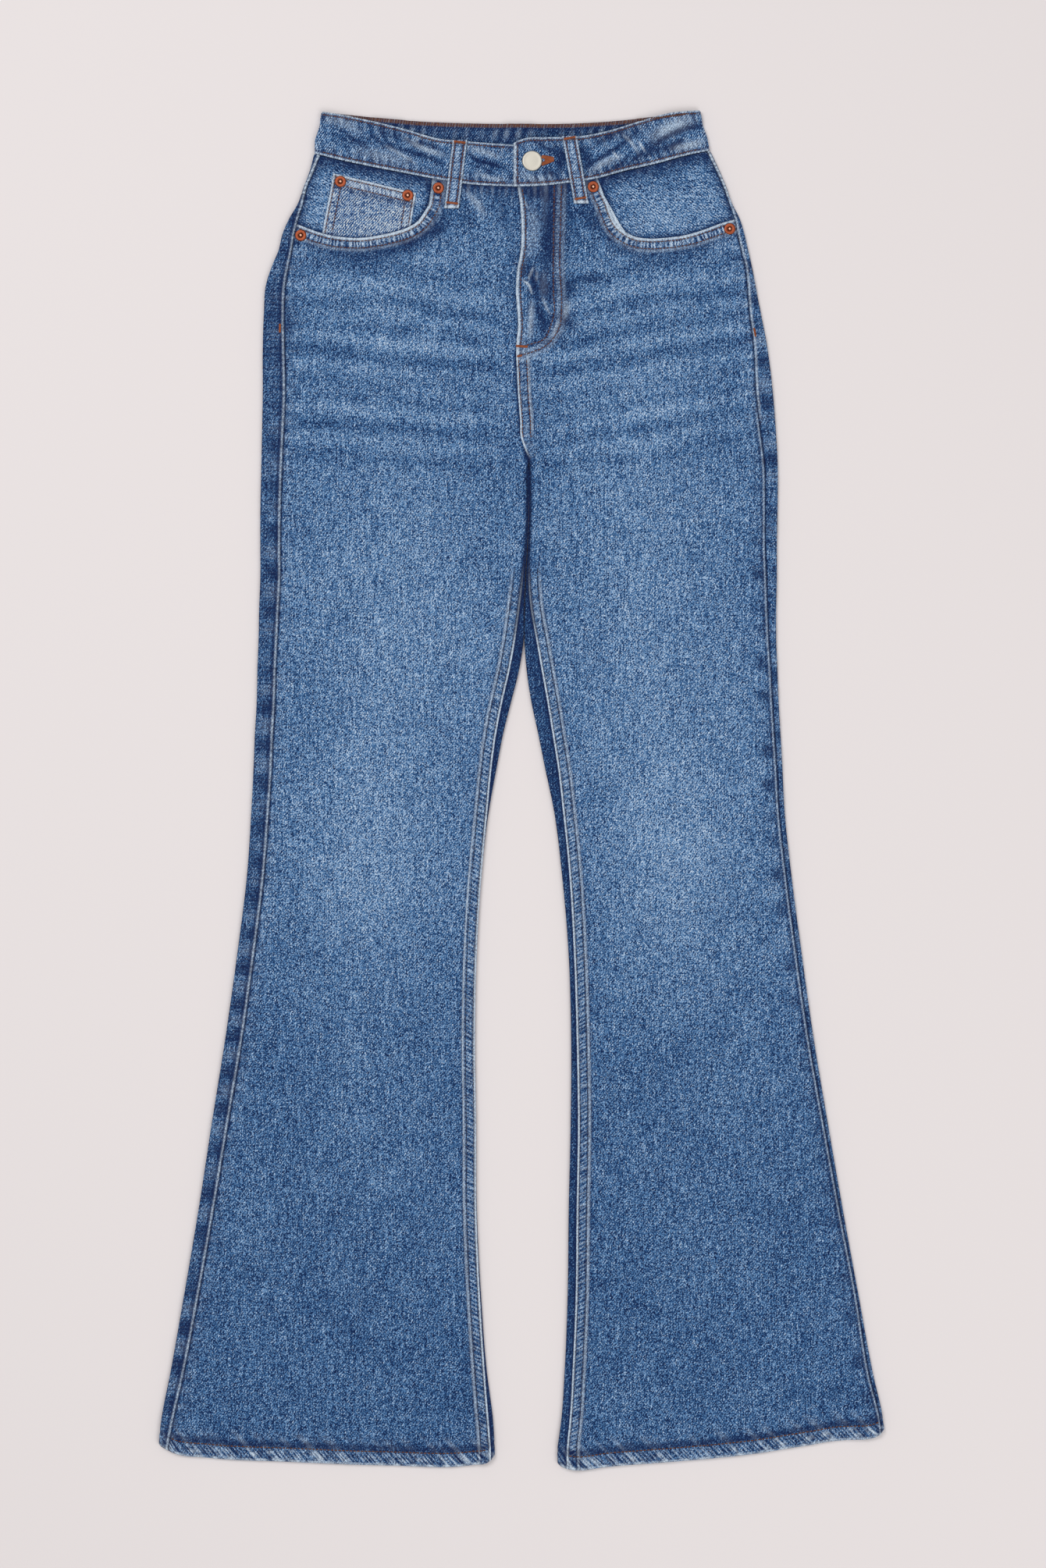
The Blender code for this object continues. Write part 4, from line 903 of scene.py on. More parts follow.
@dataclass
class Sheet:
    """A cloth piece: its smooth face, how faded it is with some painted shade, its marks, and its
    wall.

    inside, where given, is the fade and the marks of the inner face, which the waistband paints
    darker as shade.
    """

    name: str
    base: Array
    fade: Values
    mark: Mark
    wall: Values = CLOTH
    facing: Facing = Facing.UP
    inside: Tuple[Values, Mark] | None = None

    def outer(self) -> Array:
        """The outer face's points: the smooth face plus the relief along its normals."""
        relief = np.broadcast_to(self.mark.relief, self.base.shape[:2])
        return self.base + face_normals(self.base, self.facing) * relief[..., None]

    def per_point(self, *values: Values) -> Array:
        """Values as rows, one for each point of a face."""
        return np.stack([np.broadcast_to(v, self.base.shape[:2]).ravel() for v in values], -1)

    def build(self, material: bpy.types.Material) -> bpy.types.Object:
        """Makes the closed shell.

        Args:
            material: its denim.

        Returns:
            The object, whose points carry the wash values, with their painted shade, and the rungs.
        """
        rows, columns = self.base.shape[:2]
        outer = self.outer()
        wall = np.broadcast_to(np.asarray(self.wall, float), (rows, columns))[..., None]
        inner = self.base - face_normals(self.base, self.facing) * wall
        quads = grid_quads(rows, columns)
        count = rows * columns
        index = np.arange(count).reshape(rows, columns)
        rim = np.concatenate([index[0], index[1:, -1], index[-1, -2::-1], index[-2:0:-1, 0]])
        after = np.roll(rim, -1)
        sides = np.stack([rim, after, after + count, rim + count], -1)
        cross = np.cross(outer[1, 0] - outer[0, 0], outer[0, 1] - outer[0, 0])
        normal = face_normals(self.base, self.facing)[0, 0]
        if np.dot(cross, normal) < 0:
            quads, sides = quads[:, ::-1], sides[:, ::-1]
        faces = np.concatenate([quads, quads[:, ::-1] + count, sides])
        points = np.concatenate([outer.reshape(-1, 3), inner.reshape(-1, 3)])
        item = new_object(self.name, points, faces, material)
        washes_and_shades, rungs = [], []
        for fade, mark in ((self.fade, self.mark), self.inside or (self.fade, self.mark)):
            washes_and_shades.append(np.clip(self.per_point(fade, mark.worn, mark.dark, mark.brown), 0.0, 1.0))
            rungs.append(self.per_point(mark.rungs, mark.rope, 0.0))
        layer = item.data.attributes.new("wash_and_shade", "FLOAT_COLOR", "POINT")
        layer.data.foreach_set("color", np.concatenate(washes_and_shades).astype(np.float32).ravel())
        layer = item.data.attributes.new("rungs", "FLOAT_VECTOR", "POINT")
        layer.data.foreach_set("vector", np.concatenate(rungs).astype(np.float32).ravel())
        return item


class Top:
    """The finished upper faces, to lay stitches and metal on."""

    def __init__(self) -> None:
        """Starts with no faces."""
        self.points: List[Array] = []
        self.quads: List[Array] = []
        self.count = 0
        self.tree: BVHTree | None = None

    def take(self, sheet: Sheet) -> None:
        """Adds a cloth piece's outer face.

        Args:
            sheet: the piece.
        """
        rows, columns = sheet.base.shape[:2]
        self.points.append(sheet.outer().reshape(-1, 3))
        self.quads.append(grid_quads(rows, columns) + self.count)
        self.count += rows * columns
        self.tree = None

    def height(self, x: Array, y: Array, above: Facing = Facing.UP) -> Array:
        """Height of the cloth under, or over, each place, found by a ray along Z.

        Args:
            x: places across.
            y: places up.
            above: the side that the ray starts from.

        Returns:
            The height at each place, or 0 where there is no cloth.
        """
        if self.tree is None:
            points = np.concatenate(self.points).tolist()
            self.tree = BVHTree.FromPolygons(points, np.concatenate(self.quads).tolist())
        start, down = FAR * above.value, Vector((0.0, 0.0, -above.value))
        places = zip(np.ravel(x), np.ravel(y))
        hits = [self.tree.ray_cast(Vector((a, b, start)), down)[0] for a, b in places]
        return np.array([hit.z if hit else 0.0 for hit in hits]).reshape(np.shape(x))


def stitch_shape() -> Tuple[Array, Array]:
    """A stitch 1 long along X, 1 wide and 1 high: six-sided rings that swell from a point and back.

    Returns:
        Its points and its quads; two quads close the tiny ring at each end.
    """
    sides = 6
    places = np.array([-0.5, -0.4, 0.0, 0.4, 0.5])
    radius = np.array([0.12, 0.4, 0.5, 0.4, 0.12])
    turn = np.linspace(0.0, 2.0 * math.pi, sides, endpoint=False)
    ring = np.stack([np.zeros(sides), np.cos(turn), np.sin(turn)], -1)
    points = ring[None] * radius[:, None, None]
    points[..., 0] = places[:, None]
    index = np.arange(len(places) * sides).reshape(len(places), sides)
    after = np.roll(index, -1, axis=1)
    quads = np.stack([index[:-1], after[:-1], after[1:], index[1:]], -1).reshape(-1, 4)
    start = index[0][[[3, 2, 1, 0], [0, 5, 4, 3]]]
    end = index[-1][[[0, 1, 2, 3], [3, 4, 5, 0]]]
    return points.reshape(-1, 3), np.concatenate([quads, start, end])


@dataclass
class StitchRow:
    """One row of stitches along a run of (x, y) points on the cloth."""

    run: Sequence[Row]
    pitch: float = 3.1
    length: float = 2.35
    width: float = 0.78
    sink: float = 0.16
    slant: float = 0.0
    facing: Facing = Facing.UP

    def points(self, top: Top, template: Array) -> Array:
        """Points of every stitch: the template set along the row, tilted to lie on the cloth.

        Args:
            top: the cloth to lie on.
            template: points of one stitch.

        Returns:
            An array of stitches by points by 3.
        """
        total = run_length(self.run)
        middles = np.arange(self.pitch / 2.0, total - self.pitch / 3.0, self.pitch)
        half = self.length / 2.0
        start, end = along_run(self.run, middles - half), along_run(self.run, middles + half)
        if self.slant:
            turn = math.radians(self.slant)
            middle, reach = (start + end) / 2.0, (end - start) / 2.0
            across = np.stack([-reach[:, 1], reach[:, 0]], -1)
            reach = reach * math.cos(turn) + across * math.sin(turn)
            start, end = middle - reach, middle + reach
        low = top.height(start[:, 0], start[:, 1], self.facing)
        high = top.height(end[:, 0], end[:, 1], self.facing)
        ahead = np.column_stack([end - start, high - low])
        size = np.linalg.norm(ahead, axis=1, keepdims=True)
        ahead = ahead / np.maximum(size, 1e-6)
        side = np.cross(np.array([0.0, 0.0, 1.0]), ahead)
        side /= np.maximum(np.linalg.norm(side, axis=1, keepdims=True), 1e-6)
        up = np.cross(ahead, side)
        rise = (0.5 * self.width - self.sink) * self.facing.value
        middle = np.column_stack([(start + end) / 2.0, (low + high) / 2.0 + rise])
        return (
            middle[:, None]
            + ahead[:, None] * template[None, :, :1] * size[:, None]
            + side[:, None] * template[None, :, 1:2] * self.width
            + up[:, None] * template[None, :, 2:3] * self.width
        )


def sewn(x: Values, y: Array, **kind: float) -> StitchRow:
    """A row of stitches through these places."""
    return StitchRow(np.stack(np.broadcast_arrays(x, y), -1), **kind)


def sew(
    name: str, rows: Sequence[StitchRow], top: Top, material: bpy.types.Material
) -> bpy.types.Object:
    """One object with every stitch of these rows.

    Args:
        name: the object's name.
        rows: the rows.
        top: the faces that they lie on.
        material: their thread.

    Returns:
        The object.
    """
    template, quads = stitch_shape()
    stitches = np.concatenate([row.points(top, template) for row in rows])
    offsets = np.arange(len(stitches))[:, None, None] * len(template)
    faces = (quads[None] + offsets).reshape(-1, 4)
    return new_object(name, stitches.reshape(-1, 3), faces, material)


def bar(x: float, y: float, across: float, high: float, turn: float = 0.0) -> StitchRow:
    """A bartack: close stitches across a bar; across is its length and high its width.

    Args:
        x: its middle across.
        y: its middle up.
        across: its length.
        high: its width.
        turn: its turn from X, in degrees.

    Returns:
        Its row of stitches.
    """
    reach = np.array([math.cos(math.radians(turn)), math.sin(math.radians(turn))]) * across / 2.0
    run = np.array([x, y]) + np.array([-reach, reach])
    return StitchRow(run, pitch=0.62, length=high, width=0.7, sink=0.0, slant=80.0)


# The form of one leg


@dataclass(frozen=True)
class LegForm:
    """One leg with its half of the hip: where its edges, folds and layers lie."""

    hand: Hand
    sections: Sequence[Row]
    hem: Sequence[Row]
    band_bottom: Sequence[Row]
    mouth: Sequence[Row]
    mouth_side_y: float

    @property
    def inward(self) -> float:
        """The X direction from the outer edge to the inner one."""
        return 1.0 if self.hand is Hand.RIGHT else -1.0

    @property
    def is_right(self) -> bool:
        """Whether this is the wearer's right leg."""
        return self.hand is Hand.RIGHT

    def read(self, column: str, y: Values) -> Values:
        """A section value at each height."""
        table = np.array(self.sections)
        return smooth(y, table[:, 0], table[:, LEG_COLUMNS.index(column)])

    def hem_share(self, x: Values, y: Values) -> Values:
        """0 up the leg, 1 at the hem's upper edge."""
        return ease((edge_y(self.hem, x) + 55.0 - y) / 42.0)

    def fold_radius(self, x: Values, y: Values) -> Values:
        """Radius of the folds, larger round the thicker hem."""
        return FOLD_RADIUS + (HEM_FOLD_RADIUS - FOLD_RADIUS) * self.hem_share(x, y)

    def opened(self, y: Array) -> Array:
        """0 above the crotch, where the legs join, to 1 below it."""
        return ease((CROTCH_Y - y) / 15.0)

    def stack(self, x: Array, y: Array) -> Array:
        """Top of the front where it lies plainly on the back."""
        hem = 2.0 * (HEM_WALL - CLOTH) * self.hem_share(x, y)
        return STACK + HIP_RISE * ease((y - 225.0) / 40.0) + hem

    def level(self, x: Array, y: Array) -> Array:
        """Top of the front with its swell beside the folds.

        Args:
            x: places across.
            y: places up.

        Returns:
            The height at each place.
        """
        radius = self.fold_radius(x, y)
        base = self.stack(x, y)
        from_outer = (x - self.read("outer", y)) * self.inward - radius
        from_inner = (self.read("inner", y) - x) * self.inward - radius
        near_inner = ease(1.0 - from_inner / 26.0) * ease((335.0 - y) / 60.0)
        near = np.maximum(ease(1.0 - from_outer / 34.0), near_inner)
        return base + (2.0 * radius - base) * near

    def band_top(self, x: Array) -> Array:
        """Top of the waistband's front half, which climbs on to the underlap on the left."""
        climb = 0.0 if self.is_right else OVERLAP_TOP - BAND_TOP
        return BAND_TOP + climb * ease((60.0 - x) / 35.0)

    def mouth_run(self) -> Array:
        """The pocket mouth from the side seam to the waistband, points 1 mm apart."""
        start = (self.seam_x(self.mouth_side_y), self.mouth_side_y)
        return paced([start, *self.mouth], 1.0, 0.5)

    def mouth_lift(self, x: Array, away: Array) -> Array:
        """The facing and the coin pocket raise the front along the pocket mouth.

        Args:
            x: places across.
            away: distance to the mouth.

        Returns:
            The added height at each place.
        """
        lift = 1.4 * ease(1.0 - (away - 20.0) / 16.0)
        if self.is_right:
            across = ease((x + 186.0) / 14.0) * ease((-72.0 - x) / 12.0)
            lift = lift + 1.4 * across * ease(1.0 - (away - 12.0) / 14.0)
        return lift

    def fly_lift(self, x: Array, y: Array) -> Array:
        """The layers under the fly raise the front there."""
        high, reach = (1.4, x + 41.0) if self.is_right else (2.9, 45.0 - x)
        return high * ease(reach / 14.0) * ease((y - 348.0) / 14.0)

    def band_lift(self, x: Array, y: Array) -> Array:
        """The seam under the waistband raises the front a little."""
        below = edge_y(self.band_bottom, x) - y
        return (self.band_top(x) - 1.0 - STACK - HIP_RISE) * ease(1.0 - below / 14.0)

    def front_top(self, x: Array, y: Array, away: Array) -> Array:
        """Top of the front panel, with the layers below it; away is the distance to the mouth."""
        lift = np.maximum(self.mouth_lift(x, away), self.fly_lift(x, y))
        return self.level(x, y) + np.maximum(lift, self.band_lift(x, y))

    @staticmethod
    def across(wrap: Values, radius: Values) -> Values:
        """Distance in from a fold's outermost line, for a length of cloth wrapped over it.

        Args:
            wrap: length of cloth past that line, below 0 on the underside.
            radius: the fold's radius.

        Returns:
            The distance at each length.
        """
        turn = np.clip(wrap / radius, -math.pi / 2.0, math.pi / 2.0)
        flat = np.maximum(np.abs(wrap) - math.pi * radius / 2.0, 0.0)
        return radius * (1.0 - np.cos(turn)) + flat

    @staticmethod
    def share(wrap: Array, radius: Array) -> Array:
        """Height on the fold, from 0 at the surface to 1 at the top."""
        turn = np.clip(wrap / radius, -math.pi / 2.0, math.pi / 2.0)
        return (1.0 + np.sin(turn)) / 2.0

    def seam_x(self, y: Values, shift: Values = 0.0) -> Values:
        """Side seam; shift is cloth past it, towards the middle of the front."""
        edge, wrap = self.read("outer", y), self.read("side_wrap", y) + shift
        return edge + self.inward * self.across(wrap, self.fold_radius(edge, y))

    def inseam_x(self, y: Values, shift: Values = 0.0) -> Values:
        """Inseam; shift is cloth past it, towards the middle of the front."""
        edge, wrap = self.read("inner", y), self.read("inseam_wrap", y) + shift
        return edge - self.inward * self.across(wrap, self.fold_radius(edge, y))

    def front_end(self, y: Values) -> Values:
        """The front's centre edge: the fly on the left, the edge that it covers on the right."""
        line = line_x(CENTRE_FRONT, y)
        return line - 0.1 + 8.1 * ease((y - FLY_BOTTOM) / 14.0) if self.is_right else line

    def centre_x(self, y: Array, shift: Values) -> Array:
        """The front's line at a length of cloth in from its centre edge or inseam."""
        flat = self.front_end(y) - self.inward * shift
        return flat + (self.inseam_x(y, shift) - flat) * self.opened(y)

    def side_share(self, y: Array, shift: Array) -> Array:
        """Share of the top's height at a length of cloth in from the side seam."""
        radius = self.fold_radius(self.read("outer", y), y)
        return self.share(self.read("side_wrap", y) + shift, radius)

    def centre_share(self, y: Array, shift: Array) -> Array:
        """Share of the top's height at that line, under 1 where it turns down over the fold.

        Args:
            y: places up.
            shift: length of cloth in from the edge.

        Returns:
            The share at each place.
        """
        radius = self.fold_radius(self.read("inner", y), y)
        turned = self.share(self.read("inseam_wrap", y) + shift, radius) - 1.0
        return 1.0 + turned * self.opened(y)

    def wall(self, x: Array, y: Array) -> Array:
        """Thickness of the cloth, twice turned below the hem's row."""
        turned = ease((edge_y(self.hem, x) + HEM_DEPTH + 1.5 - y) / 1.5)
        return CLOTH + (HEM_WALL - CLOTH) * turned


RIGHT_LEG = LegForm(Hand.RIGHT, RIGHT_SECTIONS, HEM_RIGHT, BAND_BOTTOM_RIGHT, MOUTH_RIGHT, 471.0)
LEFT_LEG = LegForm(Hand.LEFT, LEFT_SECTIONS, HEM_LEFT, BAND_BOTTOM_LEFT, MOUTH_LEFT, 475.0)


def leg_fade(leg: LegForm, x: Array, y: Array) -> Array:
    """How faded the leg's front is: light down its middle, blotched, with lines over the hips, and
    with painted shade at the crotch and beside the fly's top.

    Args:
        leg: the leg.
        x: places across.
        y: places up.

    Returns:
        The fade at each place.
    """
    table = np.array(LIGHTNESS)
    middle = smooth(y, table[:, 0], table[:, 1])
    edges = smooth(y, table[:, 0], table[:, 2])
    outer, inner = leg.read("outer", y), leg.read("inner", y)
    across = (
        np.abs(x - (outer * 0.48 + inner * 0.52)) / np.maximum(np.abs(inner - outer) / 2.0, 1.0)
    )
    fade = edges + (middle - edges) * hump(across, 0.52)
    fade = fade + 0.03 * cloud(x, y, 46.0, 3) + 0.012 * cloud(x, y, 17.0, 4)
    # Painted shadow at the crotch and painted shade beside the fly's top, taken off the fade
    crotch = hump(np.hypot(x + 4.0, 0.6 * (y - 262.0)), 26.0)
    by_fly = (
        hump(np.hypot(x - 38.0, y - 486.0), 24.0)
        + 0.5 * hump(np.hypot(x - 14.0, 0.5 * (y - 425.0)), 16.0)
    )
    return fade - 0.16 * whiskers(leg, x, y) - 0.07 * crotch - 0.12 * by_fly


def whiskers(leg: LegForm, x: Array, y: Array) -> Array:
    """Dark lines over the hip less the pale bands above them, bowed down to the centre.

    Args:
        leg: the leg.
        x: places across.
        y: places up.

    Returns:
        The lines' strength at each place, below 0 on a pale band.
    """
    slope = 0.07 if leg.is_right else 0.15
    out = np.abs(x)
    total = np.zeros(np.broadcast(x, y).shape)
    for number, row in enumerate(WHISKERS):
        line = dict(zip(WHISKER_COLUMNS, row))
        bow = slope * (out - 100.0) + 5.0 * cloud(x, np.full_like(x, number * 40.0), 55.0, 11)
        away = y - (line["y"] + bow)
        broken = 0.8 + 0.35 * cloud(x, y, 30.0, 20 + number)
        band = hump(away, line["half_depth"]) - 0.75 * hump(away - 13.0, 6.0)
        total = total + line["strength"] * broken * band
    return total * ease((out - 8.0) / 20.0) * ease((205.0 - out) / 25.0)


@dataclass
class FrontPanel:
    """A leg's front, from the waistband and the pocket mouth to the hem."""

    leg: LegForm
    side_step: float = 0.35
    middle_step: float = 3.4
    row_step: float = 2.5
    scoop_level: float = 437.0

    def rows_down(self) -> Array:
        """Heights of the rows below the pocket mouth, closer together by the fly.

        Returns:
            The heights, from the top down.
        """
        low = FLY_BOTTOM - 12.0
        return np.concatenate([
            np.arange(self.scoop_level, low, -0.5 * self.row_step),
            np.arange(low, -80.0, -self.row_step),
            np.arange(-80.0, -505.0, -1.25 * self.row_step),
        ])

    def columns(self) -> Tuple[Array, Array]:
        """Lengths of cloth in from the side seam and from the centre, close by each edge."""
        return spread(0.0, 16.0, self.side_step, 3.5), spread(0.0, 46.0, self.side_step, 1.15)

    def row_at(self, y: Array, side: Array, centre: Array, middle: Array) -> Tuple[Array, Array]:
        """Places across and shares of the top's height, for rows at these heights.

        Args:
            y: heights, rows by columns.
            side: lengths in from the side seam.
            centre: lengths in from the centre edge.
            middle: shares across between the two groups.

        Returns:
            X and the share of the top's height, rows by columns.
        """
        leg, share = self.leg, np.ones_like(y)
        first, last = len(side), len(side) + len(middle)
        side_x = leg.seam_x(y[:, :first], side)
        centre_x = leg.centre_x(y[:, last:], centre)
        middle_x = side_x[:, -1:] + (centre_x[:, :1] - side_x[:, -1:]) * middle
        share[:, :first] = leg.side_share(y[:, :first], side)
        share[:, last:] = leg.centre_share(y[:, last:], centre)
        return np.concatenate([side_x, middle_x, centre_x], axis=1), share

    def page(self) -> Tuple[Array, Array, Array]:
        """The panel's grid of points, seen from above.

        Rows below the pocket mouth are level; the last ones bend to follow the hem. The rows above
        blend from the mouth and the waistband seam to the first level row.

        Returns:
            X, Y and the share of the top's height.
        """
        leg = self.leg
        side, centre = self.columns()
        centre = centre[::-1]
        count = int(150.0 / self.middle_step)
        middle = np.linspace(0.0, 1.0, count + 2)[1:-1]
        width = len(side) + count + len(centre)
        level = self.rows_down()
        y = np.repeat(level[:, None], width, axis=1)
        x, share = self.row_at(y, side, centre, middle)
        up = np.concatenate([np.arange(60.0, 16.0, -2.2), spread(0.0, 15.0, 0.3, 1.3)[::-1]])
        hem_y = np.repeat(up[:, None], width, axis=1) + BY_HEM - 20.0
        for _ in range(ROUNDS):
            hem_x, hem_share = self.row_at(hem_y, side, centre, middle)
            hem_y = edge_y(leg.hem, hem_x) + up[:, None]
        keep = level > hem_y[0].max() + 1.0
        x, y, share = x[keep], y[keep], share[keep]
        top_x, top_y = self.upper(x[0], side, centre)
        rows = spread(0.0, 1.0, 0.012, 0.05)[:-1, None]
        by_side = np.concatenate(
            [np.ones(len(side)), np.linspace(1.0, 0.0, count), np.zeros(len(centre))]
        )
        upper_x = top_x * (1.0 - rows) + x[0] * rows
        upper_y = top_y * (1.0 - rows) + self.scoop_level * rows
        side_shift = leg.seam_x(upper_y[:, :1]) - upper_x[:, :1]
        centre_shift = leg.front_end(upper_y[:, -1:]) - upper_x[:, -1:]
        upper_x = upper_x + side_shift * by_side + centre_shift * (1.0 - by_side)
        x = np.concatenate([upper_x, x, hem_x])
        y = np.concatenate([upper_y, y, hem_y])
        return x, y, np.concatenate([np.ones_like(upper_x), share, hem_share])

    def upper(self, level_x: Array, side: Array, centre: Array) -> Tuple[Array, Array]:
        """The upper edge, spread over the columns: the pocket mouth, then the waistband seam.

        Args:
            level_x: places across of the first level row.
            side: lengths in from the side seam.
            centre: lengths in from the centre edge.

        Returns:
            X and Y of each column's upper end.
        """
        leg = self.leg
        mouth = leg.mouth_run()
        seam_x = np.linspace(mouth[-1, 0], leg.front_end(502.0), 12)[1:]
        seam = np.stack([seam_x, edge_y(leg.band_bottom, seam_x) - 0.15], -1)
        points = np.concatenate([mouth[:-1:4], mouth[-1:], seam])
        total, corner = run_length(points), run_length(np.concatenate([mouth[:-1:4], mouth[-1:]]))
        count = len(level_x) - len(side) - len(centre)
        over = int(count * 0.72)
        middle = np.concatenate([
            np.linspace(side[-1], corner, over + 1)[1:],
            np.linspace(corner, total - centre[0], count - over + 2)[1:-1],
        ])
        run = along_run(points, np.concatenate([side, middle, total - centre]))
        run[:, 1] = np.minimum(run[:, 1], edge_y(leg.band_bottom, run[:, 0]) - 0.15)
        return run[:, 0], run[:, 1]

    def build_sheet(self) -> Sheet:
        """The panel, with a mark for each of its seams, edges and creases.

        Returns:
            Its sheet.
        """
        leg = self.leg
        x, y, share = self.page()
        away, along = nearest(x, y, leg.mouth_run())
        base = np.stack([x, y, leg.front_top(x, y, away) * share], -1)
        seed = 100 if leg.is_right else 200
        marks = [
            self.side_seam(x, y, seed),
            self.inner_seam(x, y, seed + 10),
            self.pocket_mouth(x, y, away, along, seed + 20),
            self.hem_turn(x, y, seed + 30),
            self.waist_seam(x, y, seed + 40),
            self.dents(x, y, seed + 50),
            creased(x, y, RIGHT_CREASES_AND_SHADE if leg.is_right else FLY_CREASES_AND_SHADE),
        ]
        if not leg.is_right:
            marks.append(self.fly(x, y, seed + 60))
        name, fade = f"front_{leg.hand.value}", leg_fade(leg, x, y)
        return Sheet(name, base, fade, gather(marks, x), leg.wall(x, y))

    def side_seam(self, x: Array, y: Array, seed: int) -> Mark:
        """The valley at the side seam, and on the left leg the worn ridge on its front side.

        Args:
            x: places across.
            y: places up.
            seed: seed of its unevenness.

        Returns:
            Its mark.
        """
        leg = self.leg
        d = np.maximum((x - leg.seam_x(y)) * leg.inward, 0.0)
        ridge = np.zeros_like(x) if leg.is_right else ease((325.0 - y) / 25.0)
        pucker = ripple(y, 9.0, seed) * hump(d, 6.0)
        relief = -0.9 * hump(d, 0.7) + ridge * 0.6 * hump(d - 1.8, 1.0) + 0.22 * pucker
        worn = ridge * 0.5 * hump(d - 1.5, 0.7) + 0.15 * crests(pucker) * (1.0 - ridge)
        # Painted shade in the seam's valley, in the puckers' troughs and beside the ridge, with
        # darker blots along the ridge's side; on the right leg a darker patch by the hip
        dark = (1.0 - ridge) * 1.1 * hump(d, 1.1) + ridge * 0.9 * hump(d, 0.8)
        blots = np.maximum(ripple(y, 24.0, seed + 5), 0.0) * hump(d - 8.0, 4.5)
        dark = dark + 0.25 * dips(pucker) + ridge * (0.55 * hump(d - 3.2, 1.1) + 0.6 * blots)
        if leg.is_right:
            dark = dark + 0.45 * hump(d - 3.0, 7.0) * hump(y - 386.0, 16.0)
        rope = ridge * 0.05 * hump(d - 1.9, 1.3) + 0.05 * hump(d - 6.5, 4.0)
        return Mark(relief, worn, dark, 0.0, y / 3.4 + ridge * d / 4.0, rope)

    def inner_seam(self, x: Array, y: Array, seed: int) -> Mark:
        """The felled seam down the inseam: a band 9.5 mm wide with a worn edge and two rows.

        Args:
            x: places across.
            y: places up.
            seed: seed of its unevenness.

        Returns:
            Its mark.
        """
        leg = self.leg
        below = leg.opened(y)
        start = leg.inseam_x(y) * below + line_x(CENTRE_FRONT, y) * (1.0 - below)
        d = (start - x) * leg.inward
        felled = ease((195.0 - y) / 40.0)
        lift = 0.8 * ease((11.9 - d) / 2.3) * ease((200.0 - y) / 25.0)
        if not leg.is_right:
            felled = np.maximum(
                felled, ease((FLY_BOTTOM + 2.0 - y) / 6.0) * ease((y - 274.0) / 10.0)
            )
            upper = ease((y - 255.0) / 20.0) * ease((372.0 - y) / 8.0)
            lift = np.maximum(lift, 0.8 * ease((10.5 - d) / 1.6) * upper)
        pucker = ripple(y, 7.5, seed) * hump(d - 5.0, 5.0)
        rows = grooves(d, INSEAM_ROWS)
        far = np.maximum(ease((y - 292.0) / 12.0), ease((230.0 - y) / 10.0))
        gap = ease((288.0 - y) / 12.0) * ease((y - 110.0) / 40.0)
        relief = (
            lift + felled * (0.14 * pucker - 0.22 * rows - 0.5 * hump(d, 0.5))
            - 1.5 * gap * hump(d, 1.7)
        )
        edges = 1.05 * hump(d - 0.8, 0.8) + 0.2 * crests(pucker) + 0.75 * far * hump(d - 9.9, 0.7)
        worn = felled * edges
        # Painted shade in the puckers' troughs, the stitch grooves and beside the band; painted
        # shadow in the crevice between the legs and, on the right leg, beside the centre edge and
        # the fly
        dark = felled * (0.25 * dips(pucker) + far * (0.35 * hump(d - 11.4, 0.9) + 0.7 * rows))
        dark = dark + (1.3 if leg.is_right else 1.1) * gap * hump(np.maximum(d, 0.0), 2.3)
        if leg.is_right:
            shadow = np.maximum(d + 8.0 * ease((y - FLY_BOTTOM) / 14.0), 0.0)
            by_fly = ease((y - FLY_BOTTOM) / 20.0)
            dark = dark + 1.05 * hump(shadow, 1.8 + 2.4 * by_fly) * ease((y - 285.0) / 25.0)
            dark = dark + 0.35 * by_fly * hump(shadow, 13.0)
        rope = felled * (0.1 + 0.14 * ease((120.0 - y) / 60.0)) * hump(d - 5.0, 3.2)
        return Mark(relief, worn, dark, 0.0, y / 3.6 - d / 7.0, rope)

    def pocket_mouth(self, x: Array, y: Array, away: Array, along: Array, seed: int) -> Mark:
        """The mouth's turned edge: rounded over, worn white, with puckers in to its second row.

        Args:
            x: places across.
            y: places up.
            away: distance to the mouth.
            along: length along the mouth at the nearest point.
            seed: seed of its unevenness.

        Returns:
            Its mark.
        """
        under = ease((edge_y(self.leg.band_bottom, x) - y + 2.0) / 2.0)
        rows = grooves(away, MOUTH_ROWS)
        uneven = 0.9 + 0.25 * ripple(along, 6.0, seed)
        relief = -0.75 * hump(away, 0.6) - 0.25 * rows + 0.25 * hump(away - 5.6, 2.6)
        worn = (
            1.05 * hump(away - 0.9, 1.1) * uneven + 0.12 * hump(away - 5.8, 2.0)
            + 0.35 * hump(away - 10.2, 1.2) * uneven
        )
        right = self.leg.is_right
        thick, ragged = ((75.0, 22.0), (105.0, 12.0)) if right else ((105.0, 25.0), (42.0, 5.0))
        fray = hump(along - thick[0], thick[1]) + 0.7 * hump(along - ragged[0], ragged[1])
        worn = worn + 0.9 * fray * hump(away - 1.6, 2.0) * uneven
        # Painted shade in the stitch grooves and past the second row, and a painted shadow under
        # the mouth
        dark = 0.6 * rows + 0.3 * hump(away - 12.8, 3.5)
        shadow = 0.4 if right else 0.15
        dark = dark + shadow * hump(away - 16.0, 9.0) * hump(along - 70.0, 50.0)
        rope = (
            (0.5 + 0.3 * ripple(along, 16.0, seed + 2)) * hump(away - 5.7, 2.2)
            + 0.08 * hump(away - 1.0, 1.4)
        )
        rungs = along / 3.3 + 0.5 * ripple(along, 21.0, seed + 3)
        return Mark(relief * under, worn, dark, 0.08 * rows, rungs, rope * under)

